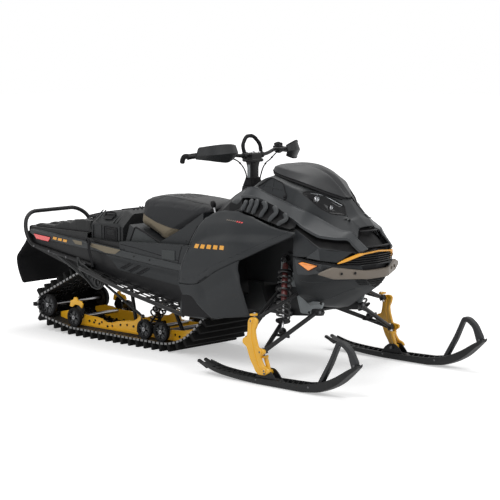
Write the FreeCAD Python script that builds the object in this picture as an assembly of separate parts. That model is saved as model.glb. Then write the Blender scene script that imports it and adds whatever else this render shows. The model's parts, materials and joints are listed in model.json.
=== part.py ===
import FreeCAD, Part
import math
import os

# Wide utility snowmobile. Millimetres, +X forward, +Y to the rider's left, +Z up.
# The origin is on the floor below the middle of the machine's bounding box.

# Driving dimensions of the whole machine
body_length = 1000.0            # dash line to the nose, which the body's outlines follow
body_half_width = 500.0         # middle to the widest line of the side panels, rounded up
body_height = 1000.0            # floor to the hood's shoulder
body_start_x = 300.0            # where the hood's outlines begin
ski_stance = 1102.0             # middle of one ski to the middle of the other
panel_wall = 8.0                # body panels
panel_gap = 0.8                 # between two panels
seat_gap = 0.3                  # between two curved or touching pieces that are not one
overrun = 40.0                  # how far cutters run past what they cut

# Track and the wheels inside it
track_width = 508.0
track_pitch_count = 54
belt_thickness = 8.0
lug_height = 46.0
lug_root = 26.0
lug_tip = 15.0
idler_x = -1345.0
idler_z = 171.0
idler_radius = 74.0
bogie_radius = 62.0
bogie_x_rear = -1085.0
bogie_x_middle = -420.0
bogie_x_front = -268.0
wheel_width = 26.0
wheel_rim = 12.0
wheel_web = 8.0
wheel_hub_radius = 18.0
wheel_outer_y = 240.0
nose_curve_x = -260.0           # where the slide rails start to rise
nose_curve_radius = 442.0
sprocket_x = 225.0
sprocket_z = 465.0
sprocket_radius = 88.0
carrier_x = -825.0
carrier_z = 435.0
carrier_radius = 60.0
wheel_gap = 0.3                 # belt to the wheels inside it
shaft_fit = 0.05                # shaft to the bore of a piece that is fixed on it

# Slide rails and their arms
rail_y = 150.0
rail_thickness = 14.0
rail_height = 68.0
rail_hole_radius = 9.0
shaft_radius = 12.0
arm_tube_radius = 15.0
skid_shock_radius = 24.0
skid_rod_radius = 9.0

# Tunnel, the long box over the track
tunnel_gap = 12.0               # beside the track
tunnel_wall = 4.0
tunnel_rear_x = -1440.0
tunnel_front_x = 386.0
tunnel_rear_top = 657.0
tunnel_front_top = 634.0
tunnel_rear_low = 547.0
tunnel_mid_low = 425.0
tunnel_mid_x = -960.0
tunnel_front_low = 300.0
tunnel_toe_x = 120.0

# Running boards
board_thickness = 4.0
board_tube_radius = 13.0
board_rear_x = -900.0
board_rear_z = 468.0
board_mid_x = -411.0
board_mid_z = 380.0
board_toe_z = 286.0
board_rear_y = 345.0
board_front_y = 412.0
board_slot_length = 70.0
board_tail = 60.0               # the edge tube's run in to the tunnel, behind the board
board_bend = 120.0
board_slot_width = 26.0
board_slot_rows = 3
board_slot_count = 9

# Side mouldings along the tunnel
strake_thickness = 26.0
strake_top_rear = 668.0
strake_top_front = 556.0
strake_height = 46.0
strake_front_x = 90.0
skirt_drop = 92.0
skirt_thickness = 14.0
skirt_rear_x = -715.0           # upper rear corner of the deeper skirt
skirt_slant = 120.0

# Rear end
deck_height = 26.0
deck_half_width = 262.0
deck_rib_width = 44.0
deck_rib_height = 74.0
deck_rib_shares = (-0.80, -0.36, -0.12, 0.12, 0.36, 0.80)
deck_front_x = -906.0
deck_rear_x = -1482.0
hoop_radius = 14.0
hoop_bend = 42.0
hoop_x = -1553.0
hoop_top = 768.0
hoop_half_top = 187.0
hoop_side_x = -1526.0
hoop_side_y = 262.0
hoop_side_z = 728.0
hoop_low_x = -1490.0
hoop_low_y = 292.0
hoop_low_z = 645.0
rail_tube_rear_z = 566.0
rail_tube_front_z = 480.0
rail_tube_front_x = -830.0
flap_thickness = 12.0
flap_half_width = 284.0
flap_top_z = 656.0
flap_belly_x = -1613.5
flap_low_x = -1563.0
flap_low_z = 305.0
lamp_lead = 34.0                # tunnel's rear edge to the tail lamp
lamp_length = 170.0
lamp_height = 30.0
lamp_depth = 10.0
hitch_width = 60.0
hitch_length = 130.0
hitch_plate = 8.0
hitch_gap = 26.0
hitch_bore_radius = 8.0
anchor_spacing_x = 300.0
anchor_spacing_y = 310.0
anchor_hole_radius = 6.0

# Storage module, seat and the cover under them
module_rear_x = -900.0
module_front_x = -600.0
module_half_width = 245.0
module_top_half = 150.0
module_side_z = 758.0
module_top_rear = 806.0
module_top_front = 846.0
module_recess_depth = 14.0
module_recess_lift = 18.0
module_tongue_x = -1099.0       # the top runs on over the deck's ribs to here
module_tongue_top = 779.0
module_tongue_half = 120.0
seat_length = 700.0
seat_height = 300.0
seat_half_width = 172.0
seat_rear_x = -550.0
seat_base_gap = 6.0
cover_half_width = 0.464 * body_half_width
cover_skirt_half = 0.568 * body_half_width
cover_rear_gap = 15.0
cover_lip = 16.0
cover_sill = 8.0
cover_ramp = 60.0
cover_crest = 46.0
console_gap = 7.0               # cover to console

# Steering
column_x = 296.0
column_radius = 14.0
column_clearance = 0.08
column_depth = 150.0
riser_gap = 42.0                # the body's shoulder to the riser's foot
riser_height = 164.0
riser_length_x = 44.0
riser_width_y = 74.0
riser_cap = 30.0
boot_length = 60.0
boot_width = 96.0
boot_height = 16.0
cable_radius = 4.0
cable_bend = 24.0
lever_radius = 6.0
lever_knob_radius = 10.0
lever_lead = 50.0               # ahead of the cover's front edge
lever_y = 168.0
lever_height = 75.0
bar_radius = 11.0
grip_radius = 17.0
bar_flat_y = 110.0
bar_bend_y = 250.0
bar_bend_x = 252.0
bar_bend_lift = 44.0             # above the riser's top
bar_end_y = 430.0
bar_end_x = 174.0
bar_end_lift = 23.0
bar_curve = 40.0
bar_seat = 6.0
grip_length = 120.0
strap_radius = 9.0
strap_half_width = 62.0
strap_height = 107.0
strap_lean = 26.0
strap_bend = 18.0
guard_thickness = 7.0
guard_height = 92.0
guard_reach = 110.0

# Front suspension and skis
kingpin_low_x = 911.0
kingpin_low_z = 187.0
kingpin_top_x = 847.0
kingpin_top_z = 360.0
stud_radius = 8.0
stud_clearance = 0.08
eye_radius = 20.0
eye_length = 30.0
arm_radius = 13.0
upper_arm_radius = 10.0
tie_rod_radius = 8.0
shock_radius = 17.0
shock_rod_radius = 8.0
spring_radius = 40.0
spring_wire = 5.0
spring_turns = 9
ski_half_width = 50.0
ski_tail_x = 412.0
ski_tip_x = 1613.5
ski_thickness = 12.0
ski_rise = 200.0
ski_rim_height = 10.0
ski_rim_width = 9.0
loop_top = 316.0
loop_width = 34.0
ear_length = 180.0
ear_top = 48.0
ear_crown = 20.0
bolt_lift = 48.0
bolt_radius = 7.0
ear_gap = 40.0
ear_thickness = 8.0
foot_radius = 13.0
blade_gap = 26.0
blade_thickness = 18.0
lug_thickness = 18.0
stud_lift = 8.0
steer_arm_length = 95.0
steer_arm_radius = 5.0
tie_eye_radius = 15.0
tie_eye_height = 14.0
bush_half = 26.0
bush_radius = 18.0
frame_plate = 26.0
shock_lift = 8.0
shock_share = 0.47               # shock foot along the lower arm
grille_pitch = 13.0
runner_height = 14.0
runner_width = 18.0
bumper_low = 590.0
bumper_height = 46.0
bumper_thickness = 26.0
bumper_hole_radius = 6.0


def point(x, y, z):
    """A point in the machine's frame."""
    return FreeCAD.Vector(x, y, z)


def closed_wire(points):
    """A closed polygon through the points."""
    return Part.makePolygon(list(points) + [points[0]])


def plate_xz(outline, low_y, width):
    """An outline of (x, z) pairs, carried along +Y."""
    face = Part.Face(closed_wire([point(x, low_y, z) for x, z in outline]))
    return face.extrude(point(0, width, 0))


def plate_xy(outline, low_z, height):
    """An outline of (x, y) pairs, carried up."""
    face = Part.Face(closed_wire([point(x, y, low_z) for x, y in outline]))
    return face.extrude(point(0, 0, height))


def plate_yz(outline, low_x, length):
    """An outline of (y, z) pairs, carried forward."""
    face = Part.Face(closed_wire([point(low_x, y, z) for y, z in outline]))
    return face.extrude(point(length, 0, 0))


def loft(rings):
    """A solid through rings that have the same number of corners."""
    return Part.makeLoft([closed_wire(ring) for ring in rings], True, True)


def between(start, end, share):
    """A point at a share of the way between two others."""
    return start.add(end.sub(start).multiply(share))


def rod(start, end, radius):
    """A round bar between two points."""
    return Part.makeCylinder(radius, start.distanceToPoint(end), start, end.sub(start))


def sleeve(start, end, outer, inner):
    """A round tube between two points, open at both ends."""
    return rod(start, end, outer).cut(rod(start, end, inner))


def bent_tube(route, radius, bend):
    """A round bar along straight runs that are joined by arcs of the given radius."""
    edges = []
    last = route[0]
    for before, corner, after in zip(route, route[1:], route[2:]):
        back = before.sub(corner).normalize()
        on = after.sub(corner).normalize()
        half_turn = back.getAngle(on) / 2
        reach = bend / math.tan(half_turn)
        start = corner.add(point(back.x, back.y, back.z).multiply(reach))
        end = corner.add(point(on.x, on.y, on.z).multiply(reach))
        middle_way = back.add(on).normalize()
        middle = corner.add(middle_way.multiply(bend / math.sin(half_turn) - bend))
        edges.append(Part.LineSegment(last, start).toShape())
        edges.append(Part.Arc(start, middle, end).toShape())
        last = end
    edges.append(Part.LineSegment(last, route[-1]).toShape())
    ring = Part.Wire(Part.Circle(route[0], route[1].sub(route[0]), radius).toShape())
    return Part.Wire(edges).makePipeShell([ring], True, False)


def flipped(shape):
    """The same piece on the machine's other side."""
    return shape.mirror(point(0, 0, 0), point(0, 1, 0))


def inset(ring, wall):
    """A ring of (y, z) pairs moved inwards by the wall, corner by corner."""
    count = len(ring)
    area = sum(ring[i][0] * ring[(i + 1) % count][1] - ring[(i + 1) % count][0] * ring[i][1] for i in range(count))
    side = 1 if area > 0 else -1
    moved = []
    for i in range(count):
        a = ring[i - 1]
        b = ring[i]
        c = ring[(i + 1) % count]
        first = (b[0] - a[0], b[1] - a[1])
        second = (c[0] - b[0], c[1] - b[1])
        first_size = math.hypot(*first)
        second_size = math.hypot(*second)
        n1 = (-side * first[1] / first_size, side * first[0] / first_size)
        n2 = (-side * second[1] / second_size, side * second[0] / second_size)
        spread = 1 + n1[0] * n2[0] + n1[1] * n2[1]
        moved.append((b[0] + wall * (n1[0] + n2[0]) / spread, b[1] + wall * (n1[1] + n2[1]) / spread))
    return moved


def save(name, shape):
    """Write one sub-part, after a check that it is made of closed solids."""
    solids = shape.Solids
    if not solids or not shape.isValid():
        print("bad shape", name, len(solids), shape.isValid())
    if len(solids) == 1:
        shape = solids[0]
    shape.exportStep("parts/" + name + ".step")


# The track's path, a line stretched round its wheels

def belt_circles():
    """Centre and radius of each circle that the belt's middle line goes round."""
    grow = belt_thickness / 2 + wheel_gap
    floor_z = lug_height + belt_thickness / 2
    return [
        (idler_x, idler_z, idler_radius + grow),
        (bogie_x_rear, floor_z + bogie_radius + grow, bogie_radius + grow),
        (nose_curve_x, floor_z + nose_curve_radius, nose_curve_radius),
        (sprocket_x, sprocket_z, sprocket_radius + grow),
        (carrier_x, carrier_z, carrier_radius + grow),
    ]


def belt_runs():
    """The straight runs between neighbouring circles, as (start, end, heading)."""
    circles = belt_circles()
    runs = []
    for i, (x0, z0, r0) in enumerate(circles):
        x1, z1, r1 = circles[(i + 1) % len(circles)]
        distance = math.hypot(x1 - x0, z1 - z0)
        heading = math.atan2(z1 - z0, x1 - x0) + math.asin((r1 - r0) / distance) * -1
        out = (math.sin(heading), -math.cos(heading))
        runs.append(((x0 + r0 * out[0], z0 + r0 * out[1]), (x1 + r1 * out[0], z1 + r1 * out[1]), heading))
    return runs


def belt_length_and_place():
    """The belt's length, and a function that gives a point and its outward direction."""
    circles = belt_circles()
    runs = belt_runs()
    pieces = []
    for i, (start, end, heading) in enumerate(runs):
        pieces.append(("run", math.dist(start, end), start, heading, 0, 0))
        x, z, r = circles[(i + 1) % len(circles)]
        turn = (runs[(i + 1) % len(runs)][2] - heading) % (2 * math.pi)
        pieces.append(("arc", r * turn, (x, z), heading, r, turn))
    total = sum(piece[1] for piece in pieces)

    def place(distance):
        distance = distance % total
        for kind, size, where, heading, r, turn in pieces:
            if distance <= size:
                break
            distance -= size
        if kind == "run":
            out = (math.sin(heading), -math.cos(heading))
            return (where[0] + distance * math.cos(heading), where[1] + distance * math.sin(heading)), out
        angle = heading + distance / r
        out = (math.sin(angle), -math.cos(angle))
        return (where[0] + r * out[0], where[1] + r * out[1]), out

    return total, place


def offset_point(place, distance, height):
    """A point that stands off the belt's middle line by the given height."""
    (x, z), out = place(distance)
    return (x + out[0] * height, z + out[1] * height)


def make_track():
    """The rubber track as one loop, with its lugs in its outline."""
    total, place = belt_length_and_place()
    pitch = total / track_pitch_count
    half = belt_thickness / 2
    outside = []
    for i in range(track_pitch_count):
        middle = (i + 0.5) * pitch
        outside.append(offset_point(place, middle - lug_root / 2, half))
        outside.append(offset_point(place, middle - lug_tip / 2, half + lug_height))
        outside.append(offset_point(place, middle + lug_tip / 2, half + lug_height))
        outside.append(offset_point(place, middle + lug_root / 2, half))
    loop = plate_xz(outside, -track_width / 2, track_width)
    return loop.cut(belt_inside())


def belt_inside():
    """Cutter that fills the belt's inner face, with true arcs round the wheels."""
    circles = belt_circles()
    runs = belt_runs()
    half = belt_thickness / 2
    y = -track_width / 2 - overrun
    edges = []
    ends = []
    for start, end, heading in runs:
        out = (math.sin(heading) * half, -math.cos(heading) * half)
        ends.append((point(start[0] - out[0], y, start[1] - out[1]), point(end[0] - out[0], y, end[1] - out[1])))
    for i, (start, end) in enumerate(ends):
        edges.append(Part.LineSegment(start, end).toShape())
        x, z, r = circles[(i + 1) % len(circles)]
        heading = runs[i][2]
        turn = (runs[(i + 1) % len(runs)][2] - heading) % (2 * math.pi)
        angle = heading + turn / 2
        middle = point(x + (r - half) * math.sin(angle), y, z - (r - half) * math.cos(angle))
        edges.append(Part.Arc(end, middle, ends[(i + 1) % len(ends)][0]).toShape())
    face = Part.Face(Part.Wire(edges))
    return face.extrude(point(0, track_width + 2 * overrun, 0))


# Wheels, shafts and rails inside the track

def wheel(x, y_outer, z, radius):
    """A spoked wheel whose outer face is at the given height, with its hub on the shaft."""
    rim = sleeve(point(x, y_outer - wheel_width, z), point(x, y_outer, z), radius, radius - wheel_rim)
    web_y = y_outer - wheel_width / 2 - wheel_web / 2
    web = rod(point(x, web_y, z), point(x, web_y + wheel_web, z), radius - wheel_rim)
    hub = rod(point(x, y_outer - wheel_width, z), point(x, y_outer, z), wheel_hub_radius)
    bore = rod(point(x, y_outer - wheel_width - overrun, z), point(x, y_outer + overrun, z),
               shaft_radius + shaft_fit)
    return rim.fuse(web).fuse(hub).removeSplitter().cut(bore)


def bogie_z():
    """Height of the small wheels' middles."""
    return lug_height + belt_thickness + wheel_gap + bogie_radius


def make_wheels():
    """All wheels inside the track, on both sides."""
    right = []
    for x in (bogie_x_rear, bogie_x_middle, bogie_x_front):
        right.append(wheel(x, wheel_outer_y, bogie_z(), bogie_radius))
    right.append(wheel(idler_x, wheel_outer_y, idler_z, idler_radius))
    right.append(wheel(carrier_x, wheel_outer_y / 2, carrier_z, carrier_radius))
    return Part.makeCompound(right + [flipped(piece) for piece in right])


def make_shafts():
    """Cross shafts that carry the wheels and join the two rails."""
    shafts = []
    for x, z in ((bogie_x_rear, bogie_z()), (bogie_x_middle, bogie_z()), (bogie_x_front, bogie_z()), (idler_x, idler_z)):
        shafts.append(rod(point(x, -wheel_outer_y, z), point(x, wheel_outer_y, z), shaft_radius))
    half = track_width / 2 + tunnel_gap - seat_gap
    shafts.append(rod(point(carrier_x, -half, carrier_z), point(carrier_x, half, carrier_z), shaft_radius))
    return Part.makeCompound(shafts)


rail_top_shares = ((0.00, 1.75), (0.10, 1.9), (0.20, 1.55), (0.24, 1.0), (0.38, 0.98), (0.44, 0.62), (0.50, 0.98),
                   (0.60, 1.0), (0.655, 1.6), (0.685, 1.55), (0.70, 1.0), (0.86, 1.0))


def rail_outline():
    """One rail seen from the side: flat foot, rising nose, and a top edge that dips at its joint."""
    low = lug_height + belt_thickness + wheel_gap
    rear = idler_x + idler_radius / 2
    front = nose_curve_x + nose_curve_radius * math.sin(math.radians(38))
    reach = front - rear
    lower = [(rear, idler_z - idler_radius / 2), (bogie_x_rear + wheel_gap, low)]
    upper = []
    steps = 6
    for i in range(steps + 1):
        angle = math.radians(38) * i / steps
        r = nose_curve_radius - belt_thickness / 2 - wheel_gap
        centre_z = lug_height + belt_thickness / 2 + nose_curve_radius
        lower.append((nose_curve_x + r * math.sin(angle), centre_z - r * math.cos(angle)))
        r = r - rail_height
        if i > 1:
            upper.append((nose_curve_x + r * math.sin(angle), centre_z - r * math.cos(angle)))
    top = [(rear + reach * share, low + rail_height * height) for share, height in rail_top_shares]
    top[0] = (rear, idler_z + idler_radius / 3)
    top[1] = (top[1][0], idler_z + idler_radius / 3)
    return lower + upper[::-1] + top[::-1]


def make_rails():
    """Two slide rails with round lightening holes, bored for the cross shafts."""
    outline = rail_outline()
    right = plate_xz(outline, -rail_y - rail_thickness / 2, rail_thickness)
    holes = []
    low = lug_height + belt_thickness + wheel_gap
    pitch = rail_height
    first = bogie_x_rear + 2 * bogie_radius
    for i in range(12):
        x = first + pitch * i * 0.72
        if abs(x - bogie_x_middle) > bogie_radius and abs(x - bogie_x_front) > bogie_radius:
            middle = low + rail_height / 2
            holes.append(rod(point(x, -rail_y - overrun, middle), point(x, -rail_y + overrun, middle), rail_hole_radius))
    for x, z in ((bogie_x_rear, bogie_z()), (bogie_x_middle, bogie_z()), (bogie_x_front, bogie_z()), (idler_x, idler_z)):
        holes.append(rod(point(x, -rail_y - overrun, z), point(x, -rail_y + overrun, z), shaft_radius + shaft_fit))
    right = right.cut(Part.makeCompound(holes))
    return right


def make_skid_arms():
    """Tubular arms that hold the rails under the tunnel."""
    low = lug_height + belt_thickness + wheel_gap
    inner_y = rail_y - rail_thickness / 2
    rear_low = point(bogie_x_middle - 3.4 * bogie_radius, 0, low + rail_height / 2)
    rear_top = point(carrier_x + 2 * carrier_radius, 0, carrier_z + carrier_radius / 3)
    front_low = point(bogie_x_front + bogie_radius, 0, low + rail_height * 0.75)
    front_top = point(front_low.x - 2.6 * bogie_radius, 0, tunnel_front_low + 1.2 * bogie_radius)
    tunnel_inner = track_width / 2 + tunnel_gap
    arms = []
    for bottom, top in ((rear_low, rear_top), (front_low, front_top)):
        across_low = rod(point(bottom.x, -inner_y, bottom.z), point(bottom.x, inner_y, bottom.z), arm_tube_radius)
        across_top = rod(point(top.x, -tunnel_inner, top.z), point(top.x, tunnel_inner, top.z), arm_tube_radius)
        arm = across_low.fuse(across_top)
        for side in (-1, 1):
            y = side * inner_y * 0.7
            arm = arm.fuse(rod(point(bottom.x, y, bottom.z), point(top.x, y, top.z), 0.8 * arm_tube_radius))
        arms.append(arm.removeSplitter())
    return Part.makeCompound(arms)


def make_skid_shock():
    """Damper between the rails, from the rear arm's foot to the front arm's top."""
    low = lug_height + belt_thickness + wheel_gap
    start = point(bogie_x_middle - 3.4 * bogie_radius, 0, low + rail_height / 2)
    end = point(bogie_x_front + bogie_radius - 2.6 * bogie_radius, 0, tunnel_front_low + 1.2 * bogie_radius)
    length = start.distanceToPoint(end)
    trim = (arm_tube_radius + 2 * seat_gap) / length
    shock = rod(between(start, end, trim), between(start, end, 1 - trim), skid_rod_radius)
    return shock.fuse(rod(between(start, end, 0.5), between(start, end, 0.9), skid_shock_radius)).removeSplitter()


def make_drive_axle():
    """Cross shaft in the tunnel's front with two toothed drive wheels."""
    shaft = rod(point(sprocket_x, -track_width / 2 - tunnel_gap, sprocket_z),
                point(sprocket_x, track_width / 2 + tunnel_gap, sprocket_z), shaft_radius * 1.4)
    for side in (-1, 1):
        y = side * track_width / 5
        shaft = shaft.fuse(rod(point(sprocket_x, y - wheel_width, sprocket_z), point(sprocket_x, y + wheel_width, sprocket_z),
                               sprocket_radius))
    return shaft.removeSplitter()


# Tunnel and what is fastened along it

def tunnel_half():
    """Outer half width of the tunnel."""
    return track_width / 2 + tunnel_gap + tunnel_wall


def tunnel_top(x):
    """Height of the tunnel's roof at a place along it."""
    share = (x - tunnel_rear_x) / (tunnel_front_x - tunnel_rear_x)
    return tunnel_rear_top + (tunnel_front_top - tunnel_rear_top) * share


def anchor_holes():
    """Cutter for the cargo anchors' holes, through the load deck and the tunnel's roof."""
    middle = (deck_front_x + tunnel_rear_x) / 2
    holes = []
    for x in (middle - anchor_spacing_x / 2, middle + anchor_spacing_x / 2):
        for y in (-anchor_spacing_y / 2, anchor_spacing_y / 2):
            holes.append(rod(point(x, y, tunnel_rear_top - overrun), point(x, y, tunnel_rear_top + overrun + deck_height),
                             anchor_hole_radius))
    return Part.makeCompound(holes)


def make_tunnel():
    """Sheet box over the track: roof and two sides, open below and behind."""
    outline = [(tunnel_rear_x, tunnel_rear_top), (tunnel_front_x, tunnel_front_top), (tunnel_front_x, tunnel_front_low),
               (tunnel_toe_x, tunnel_front_low), (tunnel_mid_x, tunnel_mid_low), (tunnel_rear_x, tunnel_rear_low)]
    outer = plate_xz(outline, -tunnel_half(), 2 * tunnel_half())
    inner_outline = [(tunnel_rear_x - overrun, tunnel_top(tunnel_rear_x - overrun) - tunnel_wall),
                     (tunnel_front_x - tunnel_wall, tunnel_top(tunnel_front_x - tunnel_wall) - tunnel_wall),
                     (tunnel_front_x - tunnel_wall, tunnel_front_low - overrun), (tunnel_toe_x, tunnel_front_low - overrun),
                     (tunnel_mid_x, tunnel_front_low - overrun), (tunnel_rear_x - overrun, tunnel_front_low - overrun)]
    inner = plate_xz(inner_outline, -tunnel_half() + tunnel_wall, 2 * (tunnel_half() - tunnel_wall))
    return outer.cut(inner).cut(anchor_holes())


def board_edge():
    """Middle line of the running board's edge tube, from rear to toe, on the left side."""
    inner_y = tunnel_half() + board_tube_radius + seat_gap
    return [point(board_rear_x - board_tail, inner_y, board_rear_z - board_tube_radius),
            point(board_rear_x, board_rear_y, board_rear_z), point(board_mid_x, board_front_y, board_mid_z),
            point(tunnel_toe_x, board_front_y, board_toe_z)]


def board_z(x):
    """Height of the board's edge tube at a place along it."""
    if x < board_mid_x:
        share = (x - board_rear_x) / (board_mid_x - board_rear_x)
        return board_rear_z + (board_mid_z - board_rear_z) * share
    share = (x - board_mid_x) / (tunnel_toe_x - board_mid_x)
    return board_mid_z + (board_toe_z - board_mid_z) * share


def make_running_board():
    """Left foot board: a slotted sheet between the tunnel's side and a bent edge tube."""
    inner_y = tunnel_half()
    tube = bent_tube(board_edge(), board_tube_radius, board_bend)
    outline = [(board_rear_x, board_z(board_rear_x)), (board_mid_x, board_mid_z), (tunnel_toe_x, board_toe_z)]
    top = outline
    low = [(x, z - board_thickness) for x, z in outline]
    sheet = plate_xz(top + low[::-1], inner_y, board_front_y - inner_y)
    trim = plate_xy([(board_rear_x, inner_y), (board_rear_x, board_rear_y), (board_mid_x, board_front_y),
                     (tunnel_toe_x, board_front_y), (tunnel_toe_x, inner_y)], tunnel_front_low - 2 * overrun, body_height)
    sheet = sheet.common(trim)
    slots = []
    pitch_x = (tunnel_toe_x - board_rear_x) / (board_slot_count + 1)
    for i in range(board_slot_count):
        for j in range(board_slot_rows):
            x = board_rear_x + pitch_x * (i + 1)
            y = inner_y + (j + 0.6) * (board_front_y - inner_y) / (board_slot_rows + 0.8)
            if i == 0 and j == board_slot_rows - 1:
                continue
            slots.append(Part.makeBox(board_slot_length, board_slot_width, body_height,
                                      point(x - board_slot_length / 2, y - board_slot_width / 2, 0)))
    sheet = sheet.cut(Part.makeCompound(slots))
    return sheet.fuse(tube).removeSplitter()


def strake_top(x):
    """Height of the side moulding's upper edge."""
    share = (x - tunnel_rear_x) / (strake_front_x - tunnel_rear_x)
    return strake_top_rear + (strake_top_front - strake_top_rear) * share


def make_strake():
    """Long left side moulding: a chamfered band with a deeper skirt in front of its middle."""
    inner_y = tunnel_half() + seat_gap
    rear = tunnel_rear_x
    front = strake_front_x
    ring = []
    for x in (rear, front):
        top = strake_top(x)
        ring.append([point(x, inner_y, top), point(x, inner_y + strake_thickness * 0.6, top),
                     point(x, inner_y + strake_thickness, top - strake_height * 0.4),
                     point(x, inner_y + strake_thickness, top - strake_height), point(x, inner_y, top - strake_height)])
    band = loft(ring)
    start = skirt_rear_x
    turn = skirt_rear_x + skirt_slant
    skirt = plate_xz([(start, strake_top(start) - strake_height), (front, strake_top(front) - strake_height),
                      (front, strake_top(front) - strake_height - skirt_drop * 0.8),
                      (turn, strake_top(turn) - strake_height - skirt_drop)], inner_y, skirt_thickness)
    return band.fuse(skirt).removeSplitter()


rib_top_shares = ((0.0, 0.20), (0.13, 0.32), (0.43, 0.50), (0.45, 0.73), (0.66, 1.0), (1.0, 1.0))


def make_deck():
    """Load deck behind the seat, with ribs that rise forwards, bored for cargo anchors."""
    top = tunnel_rear_top + deck_height
    outline = [(tunnel_rear_x, tunnel_rear_top), (deck_front_x, tunnel_top(deck_front_x)), (deck_front_x, top),
               (deck_rear_x + deck_height, top), (deck_rear_x, tunnel_rear_top), (deck_rear_x, tunnel_rear_top - deck_height),
               (tunnel_rear_x, tunnel_rear_top - deck_height)]
    deck = plate_xz(outline, -deck_half_width, 2 * deck_half_width)
    length = deck_front_x - tunnel_rear_x
    for share in deck_rib_shares:
        crest = [(tunnel_rear_x + length * x, top + deck_rib_height * z) for x, z in rib_top_shares]
        foot = [(deck_front_x, top - deck_height / 2), (tunnel_rear_x, top - deck_height / 2)]
        rib = plate_xz(crest + foot, share * deck_half_width - deck_rib_width / 2, deck_rib_width)
        deck = deck.fuse(rib)
    return deck.cut(anchor_holes()).removeSplitter()


def make_hoop():
    """Rear grab hoop whose legs run on forwards as the lower side rails."""
    rail_y_low = tunnel_half() + hoop_radius + seat_gap
    half = [point(hoop_x, 0, hoop_top), point(hoop_x, hoop_half_top, hoop_top), point(hoop_side_x, hoop_side_y, hoop_side_z),
            point(hoop_low_x, hoop_low_y, hoop_low_z), point(tunnel_rear_x, rail_y_low, rail_tube_rear_z),
            point(rail_tube_front_x, rail_y_low, rail_tube_front_z)]
    other = [point(p.x, -p.y, p.z) for p in half[:0:-1]]
    return bent_tube(other + half[1:], hoop_radius, hoop_bend)


def make_flap():
    """Rubber snow flap, bellied to the rear, notched for the hitch and the hoop's legs."""
    top_x = deck_rear_x - seat_gap
    drop = flap_top_z - flap_low_z
    front = [(top_x, flap_top_z), (top_x - flap_thickness, flap_top_z - drop * 0.15),
             (flap_belly_x + flap_thickness, flap_top_z - drop * 0.53),
             (flap_belly_x + 1.6 * flap_thickness, flap_top_z - drop * 0.73), (flap_low_x + flap_thickness, flap_low_z)]
    back = [(x - flap_thickness, z) for x, z in front]
    flap = plate_xz(front + back[::-1], -flap_half_width, 2 * flap_half_width)
    room = hitch_width / 2 + hitch_plate
    notch_low = tunnel_rear_low - 3 * hitch_plate
    notch_high = tunnel_rear_low + 3 * hitch_plate + hitch_gap
    notch = Part.makeBox(body_length, 2 * room, notch_high - notch_low, point(deck_rear_x - body_length / 2, -room, notch_low))
    for side in (-1, 1):
        middle = side * (deck_half_width + body_half_width)
        notch = notch.fuse(Part.makeBox(body_length, 2 * body_half_width, body_height,
                                        point(deck_rear_x - body_length / 2, middle - body_half_width, tunnel_rear_low)))
    return flap.cut(notch)


def make_taillight():
    """Left tail lamp at the rear of the side moulding."""
    y = tunnel_half() + seat_gap + strake_thickness + seat_gap
    x = tunnel_rear_x + lamp_lead
    z = strake_top(x) - strake_height * 0.45
    return plate_xz([(x, z), (x + lamp_length, z - lamp_height * 0.35), (x + lamp_length * 0.8, z - lamp_height),
                     (x + lamp_length * 0.08, z - lamp_height * 0.75)], y, lamp_depth)


def make_hitch():
    """Two plates with a pin bore under the deck's rear edge."""
    top = tunnel_rear_low
    x = tunnel_rear_x
    block = Part.makeBox(hitch_plate, 2 * (tunnel_half() - tunnel_wall), 2 * hitch_gap,
                         point(x, -tunnel_half() + tunnel_wall, top))
    plates = []
    for low in (top, top + hitch_plate + hitch_gap):
        plates.append(Part.makeBox(hitch_length, hitch_width, hitch_plate, point(x - hitch_length, -hitch_width / 2, low)))
    hitch = block.fuse(plates[0]).fuse(plates[1]).removeSplitter()
    bore_x = x - hitch_length + hitch_width / 2
    return hitch.cut(rod(point(bore_x, 0, top - overrun), point(bore_x, 0, top + overrun * 3), hitch_bore_radius))


# Storage module, seat and cover

def make_module():
    """Storage module behind the seat: a recess on each side, a grab slot and a tongue over the deck."""
    rings = []
    for x, top in ((module_rear_x, module_top_rear), (module_front_x, module_top_front)):
        base = tunnel_top(x)
        ring = [point(x, -module_half_width, base), point(x, -module_half_width, module_side_z), point(x, -module_top_half, top),
                point(x, module_top_half, top), point(x, module_half_width, module_side_z), point(x, module_half_width, base)]
        rings.append(ring)
    box = loft(rings)
    length = module_front_x - module_rear_x
    base = tunnel_rear_top + deck_height + deck_rib_height + seat_gap
    tongue = plate_xz([(module_tongue_x, base), (module_tongue_x, module_tongue_top), (module_rear_x, module_top_rear),
                       (module_front_x, module_top_rear), (module_front_x, base)], -module_tongue_half, 2 * module_tongue_half)
    box = box.fuse(tongue).removeSplitter()
    for side in (-1, 1):
        y = side * module_half_width - module_recess_depth
        window = Part.makeBox(length * 0.36, 2 * module_recess_depth, (module_side_z - tunnel_top(module_rear_x)) * 0.66,
                              point(module_rear_x + length * 0.42, y, tunnel_top(module_rear_x) + module_recess_lift))
        box = box.cut(window)
    slot = Part.makeBox(length * 0.18, module_top_half, module_recess_depth * 3,
                        point(module_rear_x + length * 0.2, -module_top_half / 2, module_top_rear - module_recess_depth))
    return box.cut(slot)


seat_side_shares = ((0.03, 0.35), (0.36, 0.04), (0.66, 0.38), (0.98, 0.82), (0.90, 0.93), (0.62, 0.985), (0.40, 1.0),
                    (0.20, 0.985), (0.07, 0.93))


def seat_base():
    """Height that the seat's lower corner stands at."""
    return tunnel_top(seat_rear_x) + seat_base_gap


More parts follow.
